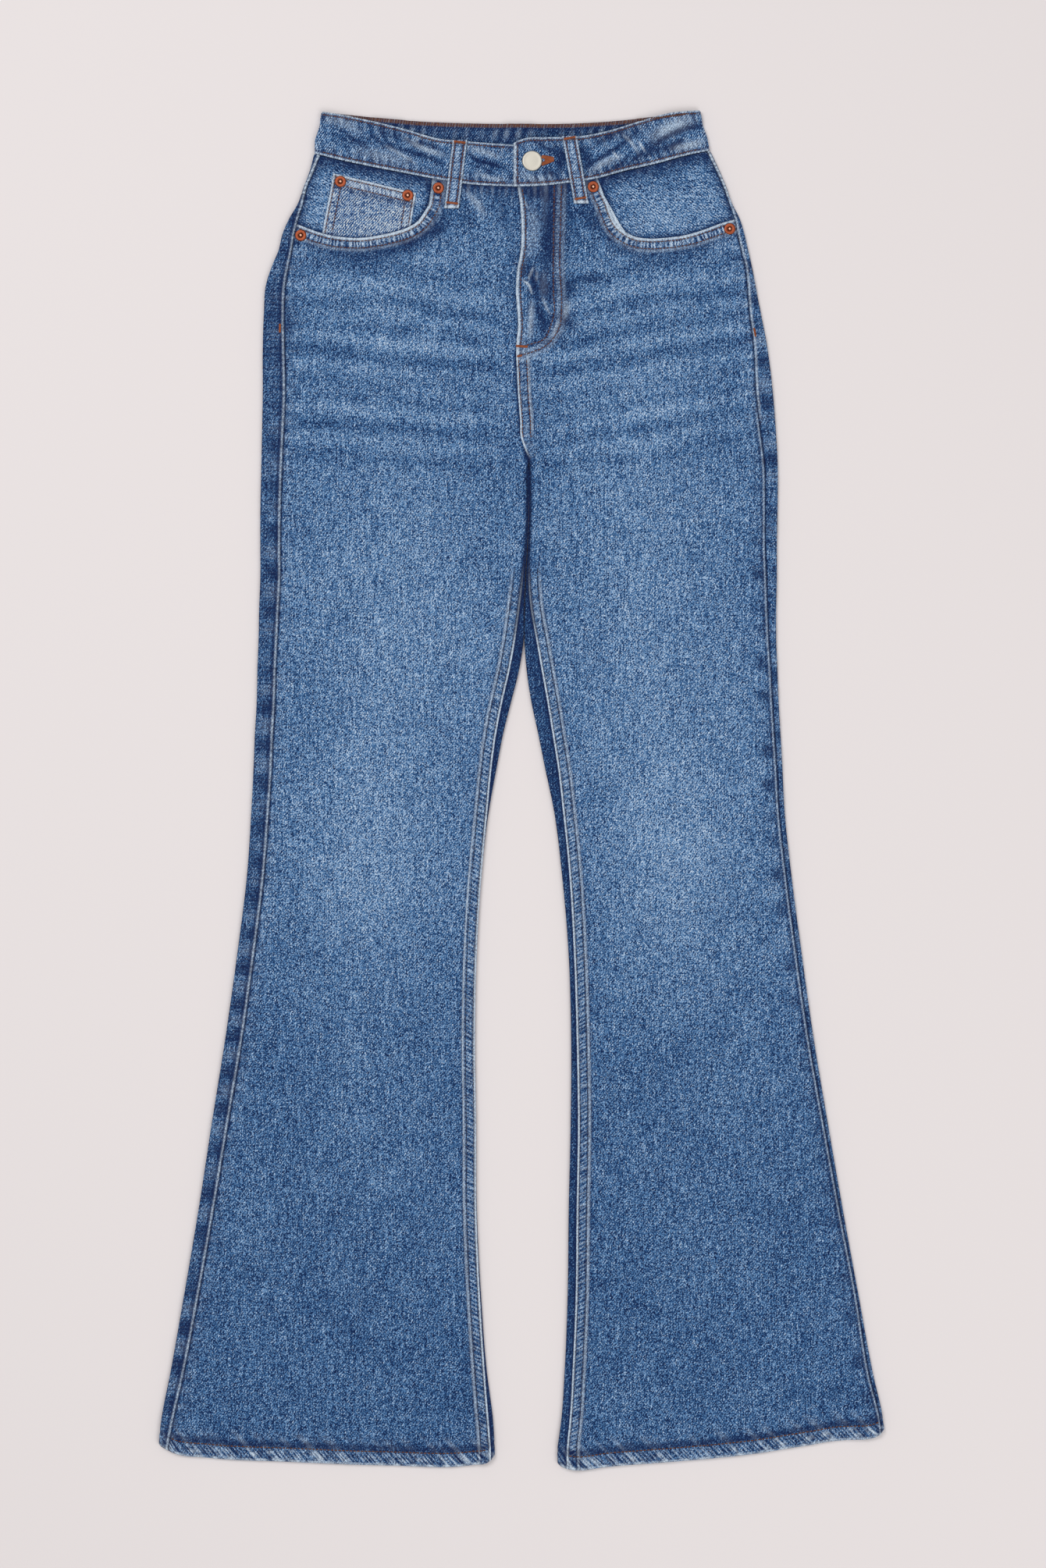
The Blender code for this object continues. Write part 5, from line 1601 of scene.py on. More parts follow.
    def hem_turn(self, x: Array, y: Array, seed: int) -> Mark:
        """The turned hem: a rolled edge, ropy slanted puckers, and a groove at its row.

        Args:
            x: places across.
            y: places up.
            seed: seed of its unevenness.

        Returns:
            Its mark.
        """
        up = y - edge_y(self.leg.hem, x)
        slanted = x + 0.9 * up
        lumpy = 0.6 * ripple(slanted, 19.0, seed) + 0.6 * ripple(slanted, 6.5, seed + 2)
        pucker = lumpy * (hump(up - 5.5, 5.0) + 0.3 * hump(up - 18.0, 5.0))
        relief = (
            -1.3 * hump(up, 0.8) + 0.6 * pucker - 0.4 * hump(up - HEM_ROW, 0.9)
            - 0.35 * hump(up - 14.6, 1.2)
        )
        worn = (
            0.9 * hump(up - 0.9, 1.1) * (0.6 + 0.6 * ripple(x, 11.0, seed + 1))
            + 0.75 * crests(pucker)
        )
        # Painted shade in the puckers' troughs and in the grooves at and above the hem's row
        dark = 0.9 * dips(pucker) + 0.7 * hump(up - 12.8, 0.9) + 0.7 * hump(up - 15.4, 1.6)
        rope = (0.26 + 0.16 * ripple(x, 15.0, seed + 3)) * hump(up - 6.2, 4.4)
        return Mark(relief, worn, dark, 0.0, slanted / 3.8, rope)

    def waist_seam(self, x: Array, y: Array, seed: int) -> Mark:
        """The shadow and the short puckers under the waistband.

        Args:
            x: places across.
            y: places up.
            seed: seed of its unevenness.

        Returns:
            Its mark.
        """
        d = np.maximum(edge_y(self.leg.band_bottom, x) - y, 0.0)
        pucker = ripple(x, 8.0, seed) * hump(d, 7.0)
        dark = 0.95 * hump(d, 1.8) + 0.5 * hump(d, 8.0) + 0.4 * dips(pucker)
        relief = -0.5 * hump(d, 0.8) + 0.3 * pucker
        return Mark(relief, 0.25 * crests(pucker), dark, 0.0, x / 5.0, 0.1 * hump(d - 5.0, 4.0))

    def dents(self, x: Array, y: Array, seed: int) -> Mark:
        """Soft dents of the cloth as it lies, and the low relief of the hip lines.

        Args:
            x: places across.
            y: places up.
            seed: seed of its unevenness.

        Returns:
            Their mark.
        """
        leg = self.leg
        soft = 0.45 * cloud(x, y * 0.6, 38.0, seed) + 0.2 * cloud(x, y, 16.0, seed + 1)
        inside = (
            ease((x - leg.seam_x(y)) * leg.inward / 30.0)
            * ease((leg.centre_x(y, 0.0) - x) * leg.inward / 30.0)
        )
        return Mark(soft * inside - 0.22 * whiskers(leg, x, y))

    def fly(self, x: Array, y: Array, seed: int) -> Mark:
        """The fly: its worn folded edge, and the buckled cloth inside the curved rows.

        Args:
            x: places across.
            y: places up.
            seed: seed of its unevenness.

        Returns:
            Its mark.
        """
        d = np.maximum(x - line_x(CENTRE_FRONT, y), 0.0)
        on = ease((y - FLY_BOTTOM + 6.0) / 6.0)
        outer, inner = (nearest(x, y, paced(run, 1.5))[0] for run in (J_OUTER, J_INNER))
        rows = (hump(outer, 0.7) + hump(inner, 0.7)) * ease((y - 357.0) / 4.0)
        buckle = (
            cloud(x * 0.9, y * 0.45, 9.0, seed + 1) * hump(d - 15.0, 12.0) * on
            * ease((30.0 - x) / 6.0)
        )
        relief = on * (0.3 * hump(d - 1.3, 1.2) - 0.7 * hump(d, 0.6)) + 0.4 * buckle - 0.3 * rows
        worn = (
            1.0 * on * hump(d - 1.2, 1.2) + 0.25 * crests(buckle)
            + 0.2 * hump(outer - 2.5, 1.4) * on
        )
        # Painted shade beside the folded edge, down the inside of the curved rows, in the buckles'
        # troughs and at the rows
        inside = 0.25 * hump(outer - 4.0, 5.0) * ease((y - 360.0) / 20.0)
        dark = on * (0.7 * hump(d - 3.7, 0.8) + inside)
        dark = dark + 0.35 * dips(buckle) + 0.4 * rows
        between = hump(outer - 2.6, 1.8) * hump(inner - 2.6, 1.8) * ease((y - 357.0) / 4.0)
        rope = 0.08 * on * hump(d - 1.4, 1.5) + 0.15 * between
        return Mark(relief, worn, dark, 0.35 * rows, y / 2.6, rope)


@dataclass
class BackPanel:
    """A leg's back: it lies on the surface and wraps up round both folds to the seams."""

    leg: LegForm
    row_step: float = 2.5
    floor_count: int = 12
    wrap_count: int = 30

    def build_sheet(self) -> Sheet:
        """The panel: rows from the yoke seam, which level off down the thigh, and along the hem.

        Returns:
            Its sheet.
        """
        leg = self.leg
        table = spread(0.1, 30.0, 0.7, 2.5)
        sides = np.arange(466.0, -498.0, -self.row_step)
        outer_y = np.concatenate([yoke_y(YOKE_REACH) - table, sides])
        centre_y = np.concatenate([452.0 - table, sides - 45.0 * ease((sides - 285.0) / 190.0)])
        top = self.rows(outer_y, centre_y)
        low = self.hem_rows(spread(0.0, 60.0, 0.4, 2.4)[::-1])
        cut = top[1].min(axis=1) > low[1][0].max() + 0.5
        x, y, share, side_d, inner_d = (np.concatenate([a[cut], b]) for a, b in zip(top, low))
        rise = self.pocket_rise(x, y)
        base = np.stack([x, y, rise + (leg.level(x, y) - rise) * share], -1)
        fade = 0.26 + 0.04 * cloud(x, y, 40.0, 31) + 0.03 * cloud(x, y, 12.0, 32)
        # Painted shade: darker towards the inner edge below the crotch, in the gap between the legs
        fade = fade - 0.06 * hump(inner_d, 30.0) * leg.opened(y)
        middle = (leg.read("outer", y) + leg.read("inner", y)) / 2.0
        fade = fade + (0.04 + 0.1 * hump(x - middle, 70.0)) * (1.0 - ease(share / 0.5))
        name, mark = f"back_{leg.hand.value}", gather(
            [self.seams(y, share, side_d, inner_d), self.hem_turn(x, y, share)], x
        )
        return Sheet(name, base, fade, mark, leg.wall(x, y), Facing.DOWN)

    def rows(self, outer_y: Array, centre_y: Array) -> Tuple[Array, ...]:
        """Rows that slant from a height by the side seam to one by the centre.

        Args:
            outer_y: each row's height by the side seam.
            centre_y: each row's height by the centre.

        Returns:
            The same as settle.
        """
        reach = np.maximum(np.abs(self.leg.read("outer", outer_y)), YOKE_REACH)[:, None]

        def height(x: Array) -> Array:
            """Height on the page along a row."""
            part = np.minimum(np.abs(x) / reach, 1.0)
            return centre_y[:, None] + (outer_y - centre_y)[:, None] * part

        return self.settle(height, outer_y[:, None])

    def hem_rows(self, ups: Array) -> Tuple[Array, ...]:
        """Rows that follow the hem at these heights above it."""
        start = np.full((len(ups), 1), BY_HEM - 5.0)
        return self.settle(lambda x: edge_y(self.leg.hem, x) + ups[:, None], start)

    def settle(self, height: Callable[[Array], Array], start: Array) -> Tuple[Array, ...]:
        """Finds the places of rows whose heights depend on their places, in a few rounds.

        Args:
            height: gives the height on the page at each place across.
            start: first guess of the heights.

        Returns:
            X, Y, share of height, and the lengths from the side seam and from the inner seam.
        """
        side_y = start * np.ones((1, self.wrap_count))
        inner_y = side_y.copy()
        for _ in range(ROUNDS):
            side_x, side_share, side_d = self.columnwise(side_y, False)
            inner_x, inner_share, inner_d = self.columnwise(inner_y, True)
            side_y, inner_y = height(side_x), height(inner_x)
        middle = np.linspace(0.0, 1.0, self.floor_count + 2)[1:-1]
        floor_x = side_x[:, -1:] + (inner_x[:, -1:] - side_x[:, -1:]) * middle
        x = np.concatenate([side_x, floor_x, inner_x[:, ::-1]], axis=1)
        share = np.concatenate([side_share, np.zeros_like(floor_x), inner_share[:, ::-1]], axis=1)
        far = np.full_like(floor_x, FAR)
        side_all = np.concatenate([side_d, far, np.full_like(inner_d, FAR)], axis=1)
        inner_all = np.concatenate([np.full_like(side_d, FAR), far, inner_d[:, ::-1]], axis=1)
        return x, height(x), share, side_all, inner_all

    def columnwise(self, y: Array, inner: bool) -> Tuple[Array, Array, Array]:
        """The columns round one fold, from the seam to 5 mm on the surface.

        Nine columns lie close by the seam and the others are spread over the rest.

        Args:
            y: each point's own height.
            inner: whether this is the inner fold.

        Returns:
            X, the share of height, and the length from the seam.
        """
        leg = self.leg
        edge = leg.read("inner" if inner else "outer", y)
        radius = leg.fold_radius(edge, y)
        seam = leg.read("inseam_wrap" if inner else "side_wrap", y)
        step = np.arange(y.shape[1])
        quarter = math.pi * radius / 2.0
        near = np.array([0.0, 0.35, 0.7, 1.05, 1.4, 1.8, 2.3, 2.9, 3.6])
        squeeze = np.minimum(1.0, (seam + quarter) / 9.0)
        last = seam - near[-1] * squeeze
        share = np.clip((step - 8.0) / (y.shape[1] - 9.0), 0.0, 1.0) ** 1.1
        beyond = last + (-quarter - 5.0 - last) * share
        wrap = np.where(step < 9, seam - near[np.minimum(step, 8)] * squeeze, beyond)
        x = edge + (-leg.inward if inner else leg.inward) * leg.across(wrap, radius)
        height = leg.share(wrap, radius)
        if inner:
            opened = leg.opened(y)
            flat = line_x(CENTRE_BACK, y) - leg.inward * (0.1 + seam - wrap)
            x, height = flat + (x - flat) * opened, height * opened
        return x, height, seam - wrap

    def pocket_rise(self, x: Array, y: Array) -> Array:
        """How far the back stands off the surface over the patch pocket.

        Args:
            x: places across.
            y: places up.

        Returns:
            The height off the surface.
        """
        out = np.abs(x)
        reach = np.minimum(181.0, np.abs(self.leg.read("outer", y)) - 7.2)
        sideways = np.minimum((reach - out) / (reach - 171.0), (out - 20.0) / 12.0)
        downward = np.minimum((yoke_y(x) - y - 18.0) / 12.0, (y - 282.0) / 14.0)
        return POCKET_RISE * ease(sideways) * ease(downward)

    def seams(self, y: Array, share: Array, side_d: Array, inner_d: Array) -> Mark:
        """The strips by the side seam and the inseam, and the centre seam's two rows.

        Args:
            y: places up.
            share: share of the top's height.
            side_d: length from the side seam.
            inner_d: length from the inseam or the centre seam.

        Returns:
            Their mark.
        """
        leg = self.leg
        on_top = ease((share - 0.5) / 0.4)
        ridge = np.ones_like(y) if leg.is_right else ease((y - 300.0) / 25.0)
        pucker = ripple(y, 27.0, 300 if leg.is_right else 400) * hump(side_d - 7.0, 7.0)
        edge = ridge * hump(side_d - 1.3, 0.9)
        relief = on_top * (0.55 * edge - 0.8 * hump(side_d, 0.5) + 0.25 * pucker)
        worn = on_top * (0.7 * edge * (0.8 + 0.3 * ripple(y, 6.0, 310)) + 0.1 * crests(pucker))
        # Painted shade in the side seam's valley and the puckers' troughs, beside the ridge on the
        # right leg and on the fold's side that turns down; painted shadow in the gap between the
        # legs. The right leg's strip is darker all over, most by the hip
        dark = (1.0 - ridge) * 0.7 * hump(side_d, 0.9) + 0.6 * dips(pucker)
        if leg.is_right:
            dark = dark + 0.65 * hump(side_d - 3.4, 1.2) + 0.15 + 0.2 * hump(y - 390.0, 40.0)
        dark = on_top * dark
        dark = dark + leg.opened(y) * (0.4 * hump(inner_d, 20.0) + 0.9 * hump(inner_d, 1.3))
        dark = dark + 0.35 * (1.0 - on_top) * ease(share / 0.3)
        centre = np.where(y > CROTCH_Y + 5.0, inner_d, FAR)
        rows = grooves(centre, FELLED_ROWS)
        rope = on_top * (0.12 * edge + 0.05 * hump(side_d - 9.0, 5.5))
        return Mark(
            relief - 0.2 * rows, worn, dark, 0.2 * rows, y / 3.4 + edge * side_d / 4.0, rope
        )

    def hem_turn(self, x: Array, y: Array, share: Array) -> Mark:
        """The turned hem on the strips that show and on the underside.

        Args:
            x: places across.
            y: places up.
            share: share of the top's height.

        Returns:
            Its mark.
        """
        up = y - edge_y(self.leg.hem, x)
        roping = ripple(x + 0.9 * up, 9.5, 301) * hump(up - 7.0, 7.5)
        relief = (
            0.25 * roping * ease(share / 0.2) - 1.0 * hump(up, 0.8) - 0.25 * hump(up - HEM_ROW, 0.9)
        )
        worn = hump(up - 0.9, 1.2) * (0.6 + 0.5 * ripple(x, 11.0, 302)) + 0.4 * crests(roping)
        # Painted shade in the roping's troughs and in the groove above the hem's row
        dark = 0.5 * dips(roping) + 0.5 * hump(up - 12.2, 0.9)
        return Mark(relief, worn, dark, 0.0, (x + 0.9 * up) / 5.5, 0.16 * hump(up - 6.4, 4.6))


def yoke_y(x: Values) -> Values:
    """The yoke seam, which dips from the sides to the centre back."""
    return 452.0 + 45.0 * np.minimum(np.abs(x) / YOKE_REACH, 1.05)


@dataclass
class Yoke:
    """The back yoke: under the waistband, wrapping round to the side seam."""

    leg: LegForm

    def build_sheet(self) -> Sheet:
        """The yoke: rows from the waistband's lower edge to the yoke seam.

        Returns:
            Its sheet.
        """
        leg = self.leg
        panel = BackPanel(leg, floor_count=24)
        shares = np.concatenate([[0.0, 0.02, 0.05], np.linspace(0.1, 0.9, 14), [0.95, 0.98, 1.0]])
        shares = shares[:, None]

        def height(x: Array) -> Array:
            """Height on the page along a row."""
            return (edge_y(BAND_BACK_BOTTOM, x) - 0.3) * (1.0 - shares) + (yoke_y(x) + 0.1) * shares

        x, y, share, side_d, _ = panel.settle(height, 520.0 - 30.0 * shares)
        below = edge_y(BAND_BACK_BOTTOM, x) - y
        rise = BACK_LOOP_RISE * np.clip((24.0 - below) / 12.0, 0.0, 1.0)
        base = np.stack([x, y, rise + (leg.level(x, y) - rise) * share], -1)
        on_top = ease((share - 0.5) / 0.4)
        seam = hump(y - yoke_y(x), 0.6)
        edge = on_top * hump(side_d - 1.3, 1.1)
        relief = 0.5 * edge - on_top * 0.7 * hump(side_d, 0.5) - 0.4 * seam - 0.3 * hump(below, 0.8)
        worn = edge + 0.4 * hump(y - yoke_y(x) - 1.2, 0.8)
        # Painted shade beside the ridge and in the yoke seam's groove; the strip on the fold is
        # darker all over
        dark = 0.6 * hump(side_d - 4.0, 1.5) * on_top + 0.5 * seam + 0.3 * on_top
        mark = Mark(relief, worn, dark, 0.0, y / 3.4, 0.3 * edge)
        name, fade = f"yoke_{leg.hand.value}", 0.33 + 0.03 * cloud(x, y, 30.0, 41)
        return Sheet(name, base, fade, mark, facing=Facing.DOWN)


@dataclass
class PocketFacing:
    """The denim inside a front pocket's mouth."""

    leg: LegForm
    under: float = 15.0

    def build_sheet(self) -> Sheet:
        """The facing: from the side seam and the waistband to a line hidden under the front.

        Returns:
            Its sheet.
        """
        leg = self.leg
        mouth = leg.mouth_run()
        line = along_run(mouth[::5], np.linspace(0.0, run_length(mouth[::5]) - self.under, 60))
        slope = np.gradient(line, axis=0)
        normal = np.stack([slope[:, 1], -slope[:, 0]], -1) * leg.inward
        hidden = line + self.under * normal / np.hypot(*normal.T)[:, None]
        low_y = mouth[0, 1] - self.under
        corner_y = 528.0
        for _ in range(8):
            corner_x = leg.seam_x(corner_y, 0.3)
            corner_y = edge_y(leg.band_bottom, corner_x) - 0.2
        seam_y = np.linspace(low_y + 7.0, corner_y, 24)
        band_x = np.linspace(corner_x, hidden[-1, 0], 37)
        edge_x = np.concatenate([leg.seam_x(seam_y[:-1], 0.3), band_x])
        edge_h = np.concatenate([seam_y[:-1], edge_y(leg.band_bottom, band_x) - 0.2])
        shares = np.concatenate([[0.0, 0.01, 0.025, 0.045], np.linspace(0.07, 1.0, 30)])[:, None]
        x = edge_x * (1.0 - shares) + hidden[:, 0] * shares
        y = edge_h * (1.0 - shares) + hidden[:, 1] * shares
        y[:, 0] = seam_y[0] + (low_y - seam_y[0]) * shares[:, 0]
        x[:, 0] = leg.seam_x(y[:, 0], 0.3)
        base = np.stack([x, y, leg.level(x, y) - CLOTH + 1.0], -1)
        away, _ = nearest(x, y, mouth)
        d = np.maximum((x - leg.seam_x(y)) * leg.inward, 0.0)
        below = np.maximum(edge_y(leg.band_bottom, x) - y, 0.0)
        pucker = ripple(x, 8.0, 501) * hump(below, 6.0) + ripple(y, 8.0, 502) * hump(d, 5.0)
        relief = (
            0.3 * cloud(x, y, 14.0, 503) + 0.2 * pucker - 0.5 * hump(below, 0.8)
            - 0.5 * hump(d, 0.6)
        )
        relief = relief * (1.0 - hump(away, 4.0))
        # Painted shadow under the waistband and under the front's mouth edge, and painted shade in
        # the side seam's valley and the puckers' troughs
        dark = (
            0.6 * hump(below, 1.8) + 0.75 * hump(below, 9.0) + hump(away, 1.6) + 0.9 * hump(d, 1.4)
        )
        dark = dark + 0.4 * hump(away, 5.0) + 0.4 * dips(pucker) + 0.4 * hump(d, 6.0)
        worn = 0.1 * crests(pucker)
        # The fade is painted darker close under the waistband, as its shade
        fade = (
            0.38 + 0.08 * ease((below - 10.0) / 30.0) + 0.05 * cloud(x, y, 24.0, 505)
            + 0.04 * cloud(x, y, 9.0, 506)
        )
        return Sheet(f"facing_{leg.hand.value}", base, fade, Mark(relief, worn, dark), 1.0)


@dataclass
class CoinPocket:
    """The small pocket on the right facing, open at its slanted top."""

    leg: LegForm
    left_edge: Sequence[Row] = ((-156.0, 513.5), (-158.0, 502.0), (-165.0, 465.0), (-166.5, 455.0))
    right_edge: Sequence[Row] = ((-87.0, 497.0), (-91.0, 472.5), (-92.0, 464.0))

    def build_sheet(self) -> Sheet:
        """The pocket: a ruled face between its two sides, bowed down at the bottom.

        Returns:
            Its sheet.
        """
        leg = self.leg
        down = np.concatenate([[0.0, 0.01, 0.02, 0.035], np.linspace(0.055, 1.0, 44)])
        left = along_run(self.left_edge, down * run_length(self.left_edge))
        right = along_run(self.right_edge, down * run_length(self.right_edge))
        across = np.concatenate(
            [[0.0, 0.007, 0.016], np.linspace(0.03, 0.97, 68), [0.984, 0.993, 1.0]]
        )
        share = across[None, :, None]
        page = left[:, None] * (1.0 - share) + right[:, None] * share
        page[..., 1] -= 24.0 * across * (1.0 - across) * down[:, None] ** 2
        x, y = page[..., 0], page[..., 1]
        base = np.stack([x, y, leg.level(x, y) - CLOTH + 2.4], -1)
        size = run_length(self.left_edge) * (1 - across) + run_length(self.right_edge) * across
        top_d = down[:, None] * size[None]
        side_d = np.minimum(across, 1.0 - across)[None] * 72.0 * np.ones_like(x)
        pucker = (
            ripple(x, 7.0, 601) * hump(top_d - 4.0, 5.0)
            + ripple(y, 7.0, 602) * hump(side_d - 2.0, 4.0)
        )
        rows = grooves(top_d, (2.3, 8.4), 0.7) + hump(side_d - 2.2, 0.7) + hump(side_d - 8.0, 0.6)
        relief = 0.35 * cloud(x, y, 15.0, 603) + 0.2 * pucker - 0.2 * rows
        relief = relief - 0.6 * hump(top_d, 0.6) - 0.5 * hump(side_d, 0.5)
        worn = 1.15 * hump(top_d - 0.9, 1.0) + hump(side_d - 0.8, 1.0) + 0.35 * crests(pucker)
        worn = worn + 0.3 * hump(top_d - 5.4, 2.2)
        # Painted shade in the stitch grooves, a painted shadow line under the top's second row, and
        # painted shadow along the front's mouth edge that lies over it
        dark = 0.4 * rows + 0.85 * hump(top_d - 11.0, 1.6) * (0.7 + 0.5 * ripple(x, 9.0, 607))
        dark = dark + 0.95 * hump(nearest(x, y, leg.mouth_run())[0], 1.6)
        rope = (
            0.3 * hump(top_d - 5.4, 2.4) + 0.3 * hump(side_d - 5.0, 2.4) * ease((top_d - 9.0) / 3.0)
        )
        rungs = np.where(top_d < 9.0, x, y) / 3.6
        fade = 0.45 + 0.05 * cloud(x, y, 18.0, 605)
        mark = Mark(relief, worn, dark, 0.25 * rows, rungs, rope)
        return Sheet("coin_pocket_cloth", base, fade, mark, 1.0)


@dataclass
class Waistband:
    """The waistband: one strip from the underlap round the back to the overlap."""

    fold_radius: float = BAND_TOP / 2.0
    high: float = 36.5
    fold_levels: Row = (0.0, 0.33, 0.67, 1.0)
    fold_right: Row = (-166.0, -167.5, -171.5, -172.0)
    fold_left: Row = (150.0, 151.5, 155.5, 157.5)
    loop_places: Row = (-110.0, 0.0, 110.0)

    def row(self, level: float) -> Tuple[Array, Array, Array]:
        """One line along the strip.

        Args:
            level: 0 at the strip's upper edge to 1 at its lower edge.

        Returns:
            X, the face's height, and 1 on the right front through 0 on the back to -1 on the left.
        """
        right = float(np.interp(level, self.fold_levels, self.fold_right))
        left = float(np.interp(level, self.fold_levels, self.fold_left))
        radius = self.fold_radius
        turn = np.linspace(math.pi / 2.0, -math.pi / 2.0, 11)
        arc_x, arc_z = radius * (1.0 - np.cos(turn)), radius * (1.0 + np.sin(turn))
        end_x = 21.0 - spread(0.0, 6.0, 0.35, 1.2)
        front_x = np.concatenate([end_x, np.linspace(14.0, right + radius + 1.0, 150)])
        back_x = np.linspace(right + radius + 1.0, left - radius - 1.0, 180)
        over_x = np.linspace(left - radius - 1.0, 1.0, 125)
        over_x = np.concatenate([over_x, -6.0 + spread(0.0, 6.0, 0.3, 1.0)[::-1]])
        x = np.concatenate([front_x, right + arc_x, back_x, left - arc_x[::-1], over_x])
        by_loops = (np.abs(back_x - place) for place in self.loop_places)
        rise = sum(np.clip((17.0 - away) / 9.0, 0.0, 1.0) for away in by_loops)
        height = np.concatenate([
            np.full_like(front_x, BAND_TOP),
            arc_z,
            BACK_LOOP_RISE * ease(rise),
            arc_z[::-1],
            LEFT_LEG.band_top(over_x),
        ])
        weight = np.concatenate([
            np.full_like(front_x, 1.0),
            np.linspace(1.0, 0.0, len(arc_x)),
            np.zeros_like(back_x),
            np.linspace(0.0, -1.0, len(arc_x)),
            np.full_like(over_x, -1.0),
        ])
        return x, height, weight

    def build_sheet(self) -> Sheet:
        """The strip, puckered on its inside, which is painted darker as shade.

        Returns:
            Its sheet.
        """
        near = np.array([0.0, 0.01, 0.022, 0.04])
        down = np.concatenate([near, np.linspace(0.065, 0.935, 24), [0.96, 0.978, 0.99, 1.0]])
        rows = [self.row(float(level)) for level in down]
        x, z, weight = (np.array([row[i] for row in rows]) for i in range(3))
        share = down[:, None] * np.ones_like(x)
        right_y = edge_y(BAND_TOP_RIGHT, x) * (1 - share) + edge_y(BAND_BOTTOM_RIGHT, x) * share
        left_y = edge_y(BAND_TOP_LEFT, x) * (1 - share) + edge_y(BAND_BOTTOM_LEFT, x) * share
        back_y = edge_y(BAND_BACK_TOP, x) * (1 - share) + edge_y(BAND_BACK_BOTTOM, x) * share
        front_y = np.where(weight < 0.0, left_y, right_y)
        y = back_y + (front_y - back_y) * np.abs(weight)
        base = np.stack([x, y, z], -1)
        steps = np.hypot(np.diff(x, axis=1), np.diff(z, axis=1))
        along = np.concatenate([np.zeros((len(x), 1)), np.cumsum(steps, axis=1)], axis=1)
        pleat = ripple(along, 8.0, 707) * hump(share - 0.3, 0.35)
        top_d = share * self.high
        # The inside is painted dark as shade, more in the pleats' troughs and in a line just below
        # its top edge
        inner = Mark(
            worn=0.32 * crests(pleat) * hump(top_d - 8.0, 5.0),
            dark=0.4 + 0.6 * dips(pleat) + 0.4 * hump(top_d - 4.2, 1.6),
            brown=1.1 * ease((3.4 - top_d) / 1.0),
            rungs=along / 2.2,
            rope=0.6 * ease((3.4 - top_d) / 1.0),
        )
        wall = BAND + 0.35 * pleat * (np.abs(weight) < 0.5)
        fade = 0.33 + 0.05 * cloud(along, y, 22.0, 701) + 0.05 * cloud(along, y, 8.0, 702)
        crease, on_front = creased(x, y, BAND_CREASES_AND_SHADE), np.abs(weight) > 0.5
        shown = (value * on_front for value in (crease.relief, crease.worn, crease.dark))
        mark = gather([self.edges(along, share), Mark(*shown)], x)
        # The inner face's fade of 0.3 is a little darker, painted shade as well
        return Sheet("waistband_cloth", base, fade, mark, wall, Facing.DOWN, (0.3, inner))

    def edges(self, along: Array, share: Array) -> Mark:
        """The strip's four edges, worn white and ropy, and the short puckers beside its rows.

        Args:
            along: length along the strip.
            share: 0 at its upper edge to 1 at its lower one.

        Returns:
            Their mark.
        """
        top_d, low_d = share * self.high, (1.0 - share) * self.high
        end_d, start_d = along[:, -1:] - along, along
        pull = (
            ripple(along, 9.0, 703) * hump(top_d - 5.0, 5.0)
            + ripple(along, 8.0, 704) * hump(low_d - 5.0, 5.0)
        )
        rows = hump(top_d - 2.6, 0.85) + hump(low_d - 2.7, 0.85) + hump(end_d - 3.4, 0.7)
        ends = hump(end_d, 0.7) + hump(start_d, 0.7)
        relief = 0.22 * pull - 0.25 * rows - 0.85 * (hump(top_d, 0.7) + hump(low_d, 0.7) + ends)
        edge = hump(top_d - 0.6, 0.7) + hump(low_d - 0.7, 0.7) + hump(end_d - 1.2, 1.2)
        worn = 0.85 * edge * (0.85 + 0.3 * ripple(along, 5.0, 709)) + 0.12 * crests(pull)
        # Painted shade in the puckers' troughs and the stitch grooves
        dark = 0.5 * dips(pull) + 0.6 * rows
        rope = (
            0.12 * np.minimum(edge, 1.0) + 0.1 * (hump(top_d - 6.0, 2.5) + hump(low_d - 6.0, 2.5))
        )
        return Mark(relief, worn, dark, 0.2 * rows, along / 4.2, rope)


# Loops, pockets, fastenings


